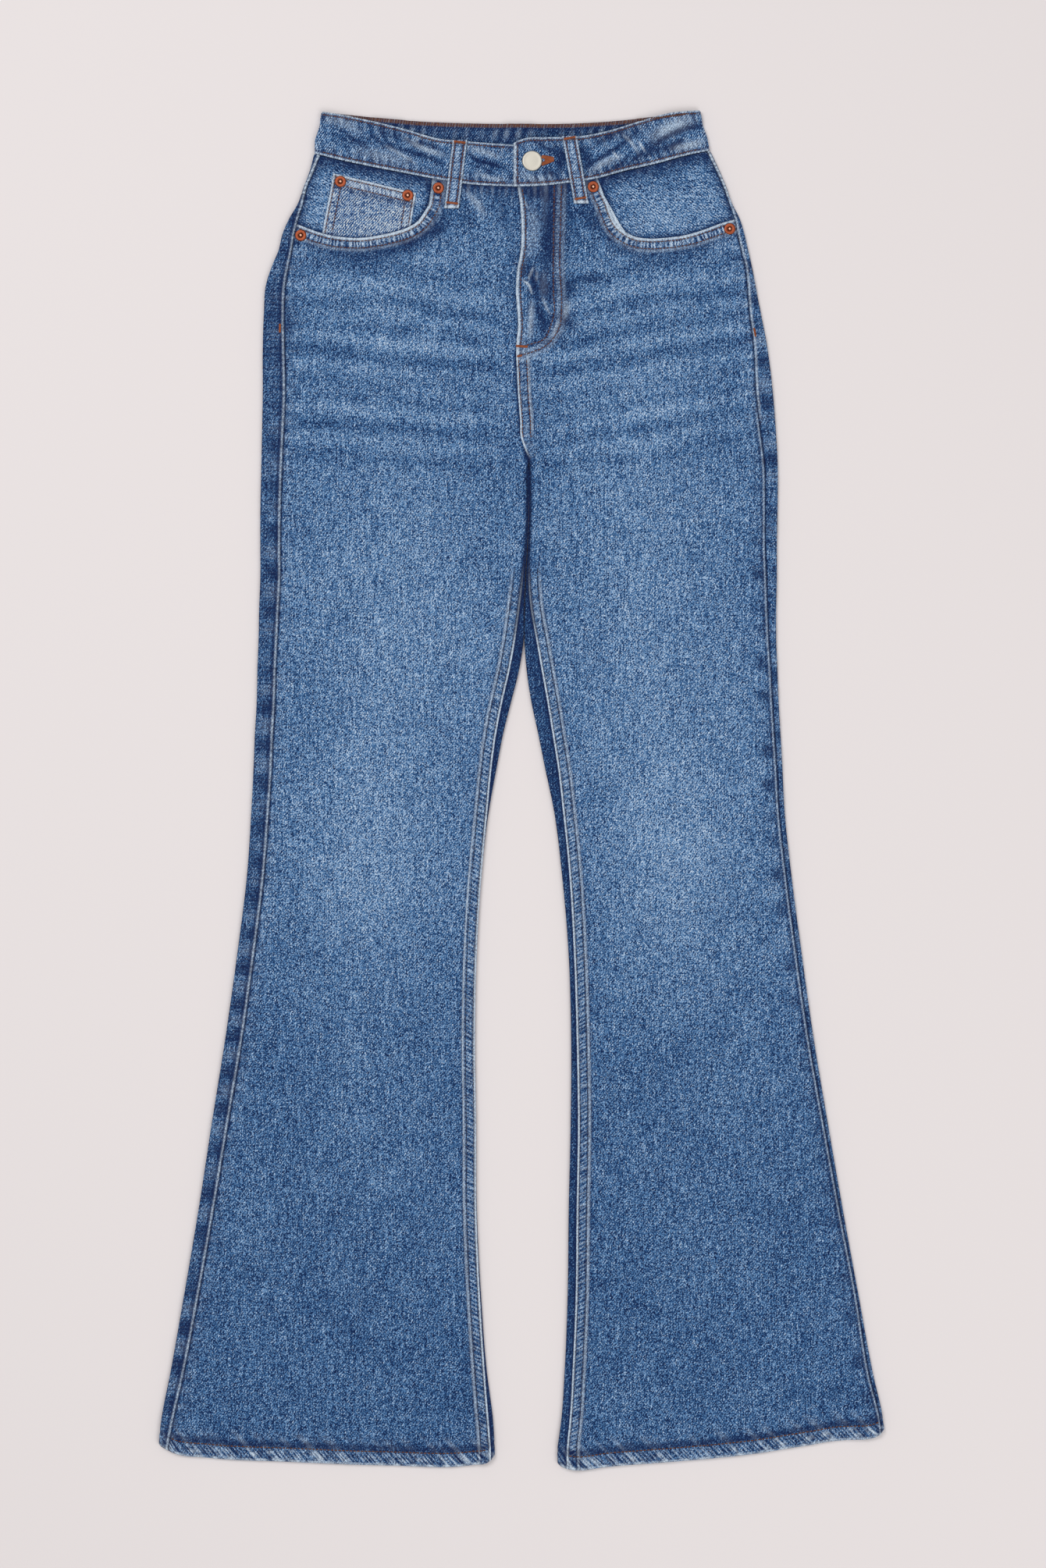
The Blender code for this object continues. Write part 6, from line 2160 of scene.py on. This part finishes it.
@dataclass
class FrontLoop:
    """A belt loop on the front, from the waistband's top edge down on to the front."""

    hand: Hand
    top: Row
    bottom: Row
    width: float = 12.4
    wall: float = 1.6

    def build_sheet(self, cloth: Top) -> Sheet:
        """The loop: it lies on the highest cloth near each point, smoothed along its length.

        Args:
            cloth: the faces that it lies on.

        Returns:
            Its sheet.
        """
        down = np.linspace(0.0, 1.0, 60)
        across = np.linspace(-0.5, 0.5, 19) * self.width
        start, end = np.array(self.top), np.array(self.bottom)
        middle = start + (end - start) * down[:, None]
        x = middle[:, :1] + across
        y = middle[:, 1:] + np.zeros_like(across)
        heights = np.array([cloth.height(x, y + r) for r in np.linspace(-4.0, 4.0, 9)]).max(axis=0)
        heights = np.repeat(heights.max(axis=1)[:, None], len(across), axis=1)
        padded = np.pad(heights, ((2, 2), (0, 0)), mode="edge")
        calm = sum(
            w * padded[i : i + len(heights)] for i, w in enumerate((0.1, 0.2, 0.4, 0.2, 0.1))
        )
        z = np.maximum(calm, heights) + 0.1 + self.wall
        length = float(np.hypot(*(end - start)))
        along = down[:, None] * length * np.ones_like(across)
        edge = self.width / 2.0 - np.abs(across) + np.zeros_like(along)
        ends = np.minimum(along, length - along)
        rows = hump(edge - 2.6, 0.7)
        relief = (
            0.3 * hump(edge - 6.2, 3.2) - 0.7 * hump(edge, 0.6) - 0.25 * rows
            - 0.5 * hump(ends, 0.7)
        )
        worn = (
            0.8 * hump(edge - 0.7, 0.8) + 0.2 * hump(edge - 6.2, 1.6)
            + 1.1 * hump(length - along - 0.8, 1.6)
        )
        # Painted shade in the stitch grooves, along the loop's edges and near its ends
        dark = 0.7 * rows + 0.55 * hump(edge, 0.5) + 0.4 * hump(ends - 4.0, 1.5)
        rope = 0.12 * hump(edge - 6.2, 3.0) + 0.12 * hump(edge, 1.2)
        mark = Mark(relief, worn, dark, 0.4 * rows, along / 3.2, rope)
        name, fade = f"loop_front_{self.hand.value}", 0.42 + 0.06 * cloud(x, y, 7.0, 803)
        return Sheet(name, np.stack([x, y, z], -1), fade, mark, self.wall)


@dataclass
class BackLoop:
    """A belt loop on the underside, flat on the surface."""

    name: str
    place: float
    width: float = 12.0

    def build_sheet(self) -> Sheet:
        """The loop: a flat strip with rounded edges.

        Returns:
            Its sheet.
        """
        top = edge_y(BAND_BACK_TOP, self.place) - 0.5
        bottom = edge_y(BAND_BACK_BOTTOM, self.place) - 10.0
        y = np.linspace(top, bottom, 24)[:, None] * np.ones((1, 11))
        across = np.linspace(-0.5, 0.5, 11) * self.width
        x = self.place + across + np.zeros_like(y)
        edge = self.width / 2.0 - np.abs(across) + np.zeros_like(y)
        # The dark value is painted shade in the stitch groove
        mark = Mark(
            -0.3 * hump(edge, 0.8), 0.8 * hump(edge - 0.4, 0.9), 0.35 * hump(edge - 2.4, 0.8)
        )
        base = np.stack([x, y, np.zeros_like(x)], -1)
        return Sheet(f"loop_back_{self.name}", base, 0.45, mark, 1.2, Facing.DOWN)


@dataclass
class BackPocket:
    """A plain patch pocket on the underside, with a shallow point."""

    leg: LegForm
    outer_x: float = 168.0
    inner_x: float = 34.0
    below_yoke: float = 31.0
    side_bottom: float = 318.0
    tip: float = 297.0

    def corners(self) -> List[Row]:
        """Its outline from the top outer corner down, across the point and up.

        Returns:
            Five (x, y) corners.
        """
        sign = -self.leg.inward
        outer, inner = self.outer_x, self.inner_x
        xs = [outer, outer, (outer + inner) / 2.0, inner, inner]
        tops = [yoke_y(x) - self.below_yoke for x in (outer, inner)]
        ys = [tops[0], self.side_bottom, self.tip, self.side_bottom, tops[1]]
        return [(sign * a, b) for a, b in zip(xs, ys)]

    def build_sheet(self) -> Sheet:
        """The pocket: flat on the surface, its edges turned in and worn.

        Returns:
            Its sheet.
        """
        across = np.linspace(0.0, 1.0, 61)[None, :]
        down = np.linspace(0.0, 1.0, 61)[:, None]
        out = self.outer_x + (self.inner_x - self.outer_x) * across
        x = -self.leg.inward * out * np.ones_like(down)
        top = yoke_y(x) - self.below_yoke
        point = 1.0 - np.abs(2.0 * across - 1.0)
        bottom = self.side_bottom + (self.tip - self.side_bottom) * point
        y = top + (bottom - top) * down
        high = top - bottom
        sideways = np.minimum(across, 1.0 - across) * (self.outer_x - self.inner_x)
        edge = np.minimum(np.minimum(sideways, (1.0 - down) * high), down * high)
        rows = hump(edge - 2.0, 0.8) + hump(down * high - 14.0, 0.8)
        worn = 0.6 * hump(edge - 0.8, 1.4)
        # The dark value is painted shade in the stitch grooves
        mark = Mark(-0.3 * hump(edge, 1.2) - 0.12 * rows, worn, 0.25 * rows)
        base = np.stack([x, y, np.zeros_like(x)], -1)
        name = f"back_pocket_cloth_{self.leg.hand.value}"
        return Sheet(name, base, 0.4 + 0.03 * cloud(x, y, 26.0, 822), mark, 1.0, Facing.DOWN)


def lathe(
    name: str, profile: Sequence[Row], place: Vector, material: bpy.types.Material, turns: int = 40
) -> bpy.types.Object:
    """A round piece, turned about a line along Z.

    Args:
        name: the object's name.
        profile: (radius, height, shade) rows from the top middle to the bottom middle; the shade
            is above 0 where the metal is polished, on the rivet's nub with a painted highlight, and
            below 0
            where it is darker: tarnish in the rivet's recess, and painted shade down the lower
                sides.
        place: where its axis meets the cloth.
        material: its metal.
        turns: faces round it.

    Returns:
        The object.
    """
    table = np.array(profile, float)
    table[0, 0] = table[-1, 0] = 0.02
    turn = np.linspace(0.0, 2.0 * math.pi, turns, endpoint=False)
    points = np.stack([
        table[:, :1] * np.cos(turn) + place[0],
        table[:, :1] * np.sin(turn) + place[1],
        table[:, 1:2] * np.ones_like(turn) + place[2],
    ], -1)
    index = np.arange(points.shape[0] * turns).reshape(-1, turns)
    after = np.roll(index, -1, axis=1)
    quads = np.stack([index[:-1], index[1:], after[1:], after[:-1]], -1).reshape(-1, 4)
    half = np.arange(0, turns // 2 - 1)
    caps = []
    for ring, flip in ((index[0], False), (index[-1], True)):
        facing = turns - 1 - half
        cap = np.stack([ring[half], ring[half + 1], ring[facing - 1], ring[facing]], -1)
        caps.append(cap[:, ::-1] if flip else cap)
    item = new_object(name, points.reshape(-1, 3), np.concatenate([quads, *caps]), material)
    layer = item.data.attributes.new("shade", "FLOAT", "POINT")
    layer.data.foreach_set("value", np.repeat(table[:, 2], turns).astype(np.float32))
    return item


# Rows of radius, height and shade: the top is polished and the rim darkens down its sides to the
# cloth, painted shade with some tarnish
BUTTON_PROFILE = (
    (0.0, 2.25, 0.25),
    (4.5, 2.2, 0.25),
    (6.6, 2.12, 0.2),
    (7.2, 2.2, 0.3),
    (7.7, 2.15, 0.3),
    (8.15, 1.8, 0.0),
    (8.4, 1.3, -0.4),
    (8.3, 0.9, -0.9),
    (7.0, 0.4, -1.0),
    (4.0, 0.0, -1.0),
    (0.0, 0.0, -1.0),
)
# Rows of radius, height and shade: the nub is polished with a painted highlight, the recess
# tarnished, and the lower sides painted shade
RIVET_PROFILE = (
    (0.0, 1.6, 1.0),
    (0.7, 1.5, 0.9),
    (1.05, 1.2, 0.2),
    (1.25, 0.8, -1.0),
    (1.9, 0.6, -0.9),
    (2.2, 0.8, -0.2),
    (2.7, 1.05, 0.0),
    (3.8, 1.1, 0.0),
    (4.4, 0.9, 0.0),
    (4.75, 0.45, -0.6),
    (4.8, 0.0, -1.0),
    (0.0, 0.0, -1.0),
)
RIVETS = {
    "coin_outer": (-150.0, 506.5),
    "coin_inner": (-94.0, 495.0),
    "right_pocket_top": (-68.5, 501.0),
    "right_pocket_side": (-183.0, 461.5),
    "left_pocket_top": (60.4, 502.0),
    "left_pocket_side": (174.0, 467.0),
}


FRONT_LOOPS = {
    Hand.RIGHT: ((-50.5, 541.0), (-57.5, 484.0)),
    Hand.LEFT: ((40.5, 544.0), (50.5, 488.0)),
}


# Putting it together


class Jeans:
    """The whole pair: it builds every piece, dresses it, ties it to the body and hides the solids
    it stands for.
    """

    def __init__(self) -> None:
        """Makes the finishes and an empty record of the upper faces."""
        self.legs = (RIGHT_LEG, LEFT_LEG)
        lined = {"twill_weight": 0.24, "twill_across": 2.3, "twill_up": 2.6}
        self.denim = WashedDenim("washed_denim").build()
        self.lined_denim = WashedDenim("washed_denim_twill_showing", **lined).build()
        streaked = (*YARNS, Grain(5.0, 0.9, 86.0, 0.6, 1.0))
        coin = {**lined, "shades": COIN_SHADES, "yarns": streaked, "twill_weight": 0.3}
        self.coin_denim = WashedDenim("rubbed_denim", **coin).build()
        self.level_denim = WashedDenim("washed_denim_warp_level", -8.0, **lined).build()
        falling = WashedDenim("washed_denim_twill_falling", -90.0, twill_weight=0.15)
        self.falling_denim = falling.build()
        self.rust_thread = Yarn("rust_topstitch", "#3b2117", "#7d4625").build()
        self.orange_thread = Yarn("orange_bartack", "#7b3c1d", "#b3602f").build()
        self.blue_thread = Yarn("blue_topstitch", "#1a2238", "#3c4054").build()
        self.tape = Yarn("navy_zip_tape", "#1c2942", "#2c3c5a").build()
        self.silver = CastMetal("antique_silver_plate", "#c9c5ba", "#6d665c", "#dedad0").build()
        self.copper = CastMetal("antique_copper_plate", "#ab5c40", "#3c1c14", "#ffd2b8").build()
        self.top = Top()
        self.under = Top()

    def finish(self, item: bpy.types.Object, nodes: Sequence[str], slot: str) -> None:
        """Ties a piece to its body, hides the solids that it stands for, and logs its faces.

        Args:
            item: the piece.
            nodes: the solids that it stands for, if any.
            slot: not used.
        """
        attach(item, BODY)
        if nodes:
            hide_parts(*nodes)
        log.info("%s: %d faces", item.name, len(item.data.polygons))

    def cloth(
        self, sheet: Sheet, node: str, under: str, material: bpy.types.Material, cut: Row
    ) -> None:
        """Builds a cloth piece, ties it to the body in place of its solid, and adds it to the faces
        that others lie on.

        Args:
            sheet: the piece.
            node: the solid that it stands for.
            under: what it lies on; not used.
            material: its denim.
            cut: width and length in metres, and area in square metres, of the flat piece; not used.
        """
        item = sheet.build(material)
        worn = node.startswith(("coin", "belt_loop_front"))
        self.finish(item, [node], "denim_worn" if worn else "denim")
        (self.top if sheet.facing is Facing.UP else self.under).take(sheet)
        if sheet.facing is Facing.DOWN:
            self.top.take(sheet)

    def build_cloth(self) -> None:
        """Panels, yokes, facings, pockets and the waistband."""
        for leg in self.legs:
            side = leg.hand.value
            back, facing = f"back_panel_{side}", f"pocket_facing_{side}"
            for part, node, under, denim, cut in (
                (FrontPanel, f"front_panel_{side}", back, self.denim, (0.31, 1.08, 0.228)),
                (BackPanel, back, "floor", self.denim, (0.35, 1.08, 0.262)),
                (Yoke, f"back_yoke_{side}", "floor", self.level_denim, (0.2, 0.08, 0.0095)),
                (PocketFacing, facing, back, self.falling_denim, (0.13, 0.085, 0.008)),
                (BackPocket, f"back_pocket_{side}", "floor", self.denim, (0.134, 0.165, 0.0185)),
            ):
                self.cloth(part(leg).build_sheet(), node, under, denim, cut)
        coin, cut = CoinPocket(RIGHT_LEG).build_sheet(), (0.075, 0.06, 0.0036)
        self.cloth(coin, "coin_pocket", "pocket_facing_right", self.coin_denim, cut)
        band, cut = Waistband().build_sheet(), (0.69, 0.038, 0.0246)
        self.cloth(band, "waistband", "floor", self.level_denim, cut)

    def build_loops(self) -> None:
        """Two loops on the front and three on the back."""
        cut = (0.0125, 0.06, 0.0007)
        for hand, (top, bottom) in FRONT_LOOPS.items():
            sheet, node = FrontLoop(hand, top, bottom), f"belt_loop_front_{hand.value}"
            self.cloth(sheet.build_sheet(self.top), node, "waistband", self.lined_denim, cut)
        cut = (0.012, 0.047, 0.00056)
        for name, place in (("right", -110.0), ("centre", 0.0), ("left", 110.0)):
            sheet, node = BackLoop(name, place), f"belt_loop_back_{name}"
            self.cloth(sheet.build_sheet(), node, "floor", self.denim, cut)

    def build_metal(self) -> None:
        """The shank button and the rivets, seated on the cloth."""
        turn = np.linspace(0.0, 2.0 * math.pi, 16)
        for name, (x, y) in RIVETS.items():
            z = float(self.top.height(x + 5.0 * np.cos(turn), y + 5.0 * np.sin(turn)).max())
            item = lathe(f"rivet_metal_{name}", RIVET_PROFILE, Vector((x, y, z - 0.1)), self.copper)
            self.finish(item, [f"rivet_{name}"], "rivet_copper")
        x, y = 9.5, 523.0
        z = float(self.top.height(x + 7.0 * np.cos(turn), y + 7.0 * np.sin(turn)).max())
        item = lathe("button_metal_cap", BUTTON_PROFILE, Vector((x, y, z - 0.1)), self.silver, 64)
        self.finish(item, ["waist_button"], "button_metal")

    def dress_hidden(self) -> None:
        """The fly shield and the zip keep their solids and get woven finishes."""
        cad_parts["fly_shield"].material_slots[0].material = self.denim
        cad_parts["fly_zip"].material_slots[0].material = self.tape

    def stitch_all(self) -> None:
        """Every row of stitches, one object for each part of the garment."""
        Sewing(self).run()


@dataclass
class Sewing:
    """The rows of stitches, each set out from the edge that it follows."""

    jeans: Jeans

    def add(
        self, name: str, rows: Sequence[StitchRow], material: bpy.types.Material,
        slot: str = "denim_dark"
    ) -> None:
        """Sews rows as one object that rides with the jeans.

        Args:
            name: the object's name.
            rows: the rows, all on one side.
            material: their thread.
            slot: not used.
        """
        below = rows[0].facing is Facing.DOWN
        item = sew(name, rows, self.jeans.under if below else self.jeans.top, material)
        self.jeans.finish(item, [], slot)

    def beside(self, run: Array, distance: float, sign: float) -> Array:
        """A run moved sideways by a distance, to its left for sign 1.

        Args:
            run: the run's points.
            distance: how far.
            sign: 1 for its left, -1 for its right.

        Returns:
            The moved points.
        """
        slope = np.gradient(run, axis=0)
        normal = np.stack([-slope[:, 1], slope[:, 0]], -1)
        return run + sign * distance * normal / np.maximum(np.hypot(*normal.T)[:, None], 1e-6)

    def run(self) -> None:
        """Sews the whole garment."""
        self.waistband()
        self.pockets()
        self.fly()
        self.legs()
        self.loops()
        self.bartacks()

    def waistband(self) -> None:
        """Rows along both edges of the waistband, round the overlap's end, and on its inside."""
        rows = []
        for top, bottom, x in (
            (BAND_TOP_RIGHT, BAND_BOTTOM_RIGHT, np.arange(-165.0, -9.0, 2.0)),
            (BAND_TOP_LEFT, BAND_BOTTOM_LEFT, np.arange(-2.0, 150.0, 2.0)),
        ):
            rows.append(sewn(x, edge_y(top, x) - BAND_ROW))
            rows.append(sewn(x, edge_y(bottom, x) + BAND_ROW))
        rows.append(sewn(-2.6, np.arange(505.0, 539.5, 1.5)))
        self.add("waistband_stitches", rows, self.jeans.rust_thread)
        x = np.arange(-150.0, 140.0, 2.0)
        slanted = {"pitch": 1.9, "length": 2.9, "width": 0.95, "slant": 38.0}
        overlock = [sewn(x, edge_y(BAND_BACK_TOP, x) - 1.7, **slanted)]
        self.add("waistband_inside_stitches", overlock, self.jeans.rust_thread)

    def pockets(self) -> None:
        """Two rows round each pocket mouth, and the coin pocket's rows."""
        rows = []
        for leg in self.jeans.legs:
            mouth = leg.mouth_run()[::3]
            for distance in MOUTH_ROWS:
                line = self.beside(mouth, distance, -leg.inward)
                x, y = line.T
                keep = (x - leg.seam_x(y)) * leg.inward > 1.0
                keep &= y < edge_y(leg.band_bottom, x) - 0.5
                rows.append(StitchRow(line[keep]))
        coin = CoinPocket(RIGHT_LEG)
        left = along_run(coin.left_edge, np.linspace(0.0, 50.0, 20))
        right = along_run(coin.right_edge, np.linspace(0.0, 27.0, 12))
        top = np.stack([np.linspace(-154.5, -89.0, 20), np.linspace(513.0, 497.5, 20)], -1)
        rows += [StitchRow(top - np.array([0.0, down])) for down in (2.4, 8.5)]
        for skip, inset in ((0, 2.2), (4, 8.0)):
            rows.append(StitchRow(left[skip:] + np.array([inset, -1.0])))
            rows.append(StitchRow(right[skip:] + np.array([-inset, -1.0])))
        self.add("pocket_stitches", rows, self.jeans.rust_thread)

    def fly(self) -> None:
        """The fly's curved rows, the row by its edge and the two rows of the centre seam."""
        rows = [StitchRow(paced(run, 2.0)) for run in (J_OUTER, J_INNER)]
        y = np.arange(500.0, 366.0, -2.0)
        rows.append(sewn(line_x(CENTRE_FRONT, y) + 3.8, y))
        y = np.arange(358.0, 290.0, -2.0)
        rows += [sewn(line_x(CENTRE_FRONT, y) + shift, y) for shift in CENTRE_FRONT_ROWS]
        self.add("fly_stitches", rows, self.jeans.rust_thread)

    def legs(self) -> None:
        """The inseam's two rows and the hem's row on each leg."""
        inseams, hems, backs = [], [], []
        for leg in self.jeans.legs:
            y = np.arange(185.0, edge_y(leg.hem, leg.read("inner", leg.sections[0][0])) + 3.0, -2.0)
            inseams += [sewn(leg.inseam_x(y, shift), y, width=0.55) for shift in INSEAM_ROWS]
            low, high = sorted((leg.seam_x(BY_HEM), leg.inseam_x(BY_HEM)))
            x = np.arange(low + 1.0, high - 1.0, 2.0)
            hems.append(sewn(x, edge_y(leg.hem, x) + HEM_ROW, width=1.0, sink=0.05))
            backs += self.back_rows(leg)
        self.add("inseam_stitches", inseams, self.jeans.blue_thread)
        self.add("hem_stitches", hems, self.jeans.rust_thread)
        self.add("back_stitches", backs, self.jeans.rust_thread)

    def back_rows(self, leg: LegForm) -> List[StitchRow]:
        """The underside's rows: hem, yoke seam, centre seam and patch pocket.

        Args:
            leg: the leg.

        Returns:
            The rows.
        """
        sign = -leg.inward
        low, high = sorted(leg.read(edge, BY_HEM) for edge in ("outer", "inner"))
        x = np.arange(low + 6.0, high - 6.0, 2.0)
        rows = [sewn(x, edge_y(leg.hem, x) + HEM_ROW)]
        x = sign * np.arange(12.0, 170.0, 2.0)
        rows += [sewn(x, yoke_y(x) + shift) for shift in FELLED_ROWS]
        if not leg.is_right:
            y = np.arange(445.0, 285.0, -2.0)
            rows += [sewn(line_x(CENTRE_BACK, y) + shift, y) for shift in FELLED_ROWS]
        corners = np.array(BackPocket(leg).corners())
        middle = corners.mean(axis=0)
        for shrink in (2.0, 8.0):
            inset = corners + (middle - corners) * shrink / 70.0
            rows += [StitchRow(inset[i : i + 2]) for i in range(4)]
        top = np.stack([corners[0], corners[-1]])
        rows += [StitchRow(top - np.array([0.0, down])) for down in (3.0, 14.0)]
        return [replace(each, width=0.75, sink=0.5, facing=Facing.DOWN) for each in rows]

    def loops(self) -> None:
        """Two rows down each front loop, and the bartacks that hold the loops."""
        rows, bars = [], []
        for start, end in FRONT_LOOPS.values():
            ahead = np.array(end) - np.array(start)
            line = np.array(start) + ahead * np.linspace(0.03, 0.97, 20)[:, None]
            rows += [StitchRow(line + np.array([shift, 0.0])) for shift in (-3.6, 3.6)]
            turn = math.degrees(math.atan2(end[1] - start[1], end[0] - start[0])) + 90.0
            for share in (0.035, 0.925):
                bars.append(bar(*(np.array(start) + ahead * share), 10.5, 1.9, turn))
        self.add("loop_stitches", rows, self.jeans.rust_thread)
        self.add("loop_bartacks", bars, self.jeans.orange_thread)

    def bartacks(self) -> None:
        """The bright bartacks at the fly and the side seams, and the buttonhole's edge."""
        bars = [
            bar(1.0, 369.0, 11.0, 2.2, -4.0),
            bar(-1.0, 361.0, 5.0, 1.8, 10.0),
            bar(-200.5, 384.5, 8.0, 1.8, 88.0),
            bar(195.0, 381.0, 8.0, 1.8, 100.0),
        ]
        self.add("bartacks", bars, self.jeans.orange_thread)
        rows, middle = [], np.array([(16.5, 523.4), (20.5, 523.9), (24.5, 524.3), (28.5, 524.6)])
        for side in (-1.0, 1.0):
            run = middle + side * np.array([(0.0, 3.4), (0.0, 2.3), (0.0, 1.2), (0.0, 0.0)])
            rows.append(StitchRow(paced(run, 0.8), 0.6, 3.3, 0.7, 0.0, 82.0))
        rows.append(StitchRow(((19.5, 523.8), (28.0, 524.6)), 0.7, 2.2, 0.7, 0.1, 80.0))
        self.add("buttonhole_stitches", rows, self.jeans.orange_thread)


@dataclass
class Studio:
    """The floor, the soft lights and the camera straight above."""

    centre: Row = (1.95, 4.875)
    frame_height: float = 1305.85
    lens: float = 85.0
    sensor: float = 36.0
    cloth_height: float = 4.5

    def build(self) -> None:
        """Sets out the floor, lights and camera."""
        bpy.context.scene.view_settings.view_transform = "Standard"
        self.floor()
        self.lights()
        self.camera()

    def floor(self) -> None:
        """A wide sheet of pale paper just under the cloth."""
        corners = np.array([[-6.0, -6.0], [6.0, -6.0], [6.0, 6.0], [-6.0, 6.0]]) * 1000.0
        points = np.column_stack([corners, np.full(4, -0.2)])
        item = new_object("floor", points, np.array([[0, 1, 2, 3]]), Backdrop().build())

    def lights(self) -> None:
        """A large soft key from the upper left, a weaker fill, and an even pale surround."""
        for name, place, size, power in (
            ("key_light", (-1.2, 1.3, 3.0), 1.6, 45.0),
            ("fill_light", (1.5, -1.7, 3.0), 2.4, 44.0),
        ):
            data = bpy.data.lights.new(name, "AREA")
            data.shape = "SQUARE"
            data.size = size
            data.energy = power
            item = bpy.data.objects.new(name, data)
            item.location = place
            item.rotation_euler = (-Vector(place)).to_track_quat("-Z", "Y").to_euler()
            bpy.context.scene.collection.objects.link(item)
        world = bpy.data.worlds.new("pale_surround")
        bpy.context.scene.world = world
        world.use_nodes = True
        background = world.node_tree.nodes["Background"]
        background.inputs["Color"].default_value = linear("#f4f1f0")
        background.inputs["Strength"].default_value = 0.46

    def camera(self) -> None:
        """The camera, straight above, its frame as tall as the image's at the cloth."""
        data = bpy.data.cameras.new("camera")
        data.sensor_fit = "VERTICAL"
        data.sensor_height = self.sensor
        data.lens = self.lens
        item = bpy.data.objects.new("camera", data)
        distance = self.frame_height * self.lens / self.sensor
        item.location = Vector((self.centre[0], self.centre[1], distance + self.cloth_height)) * MM
        bpy.context.scene.collection.objects.link(item)
        bpy.context.scene.camera = item


def main() -> None:
    """Builds the jeans and the studio, and reports each piece."""
    logging.basicConfig(level=logging.INFO, format="%(name)s: %(message)s")
    jeans = Jeans()
    jeans.build_cloth()
    jeans.build_loops()
    jeans.build_metal()
    jeans.dress_hidden()
    jeans.stitch_all()
    Studio().build()


if __name__ == "__main__":
    main()
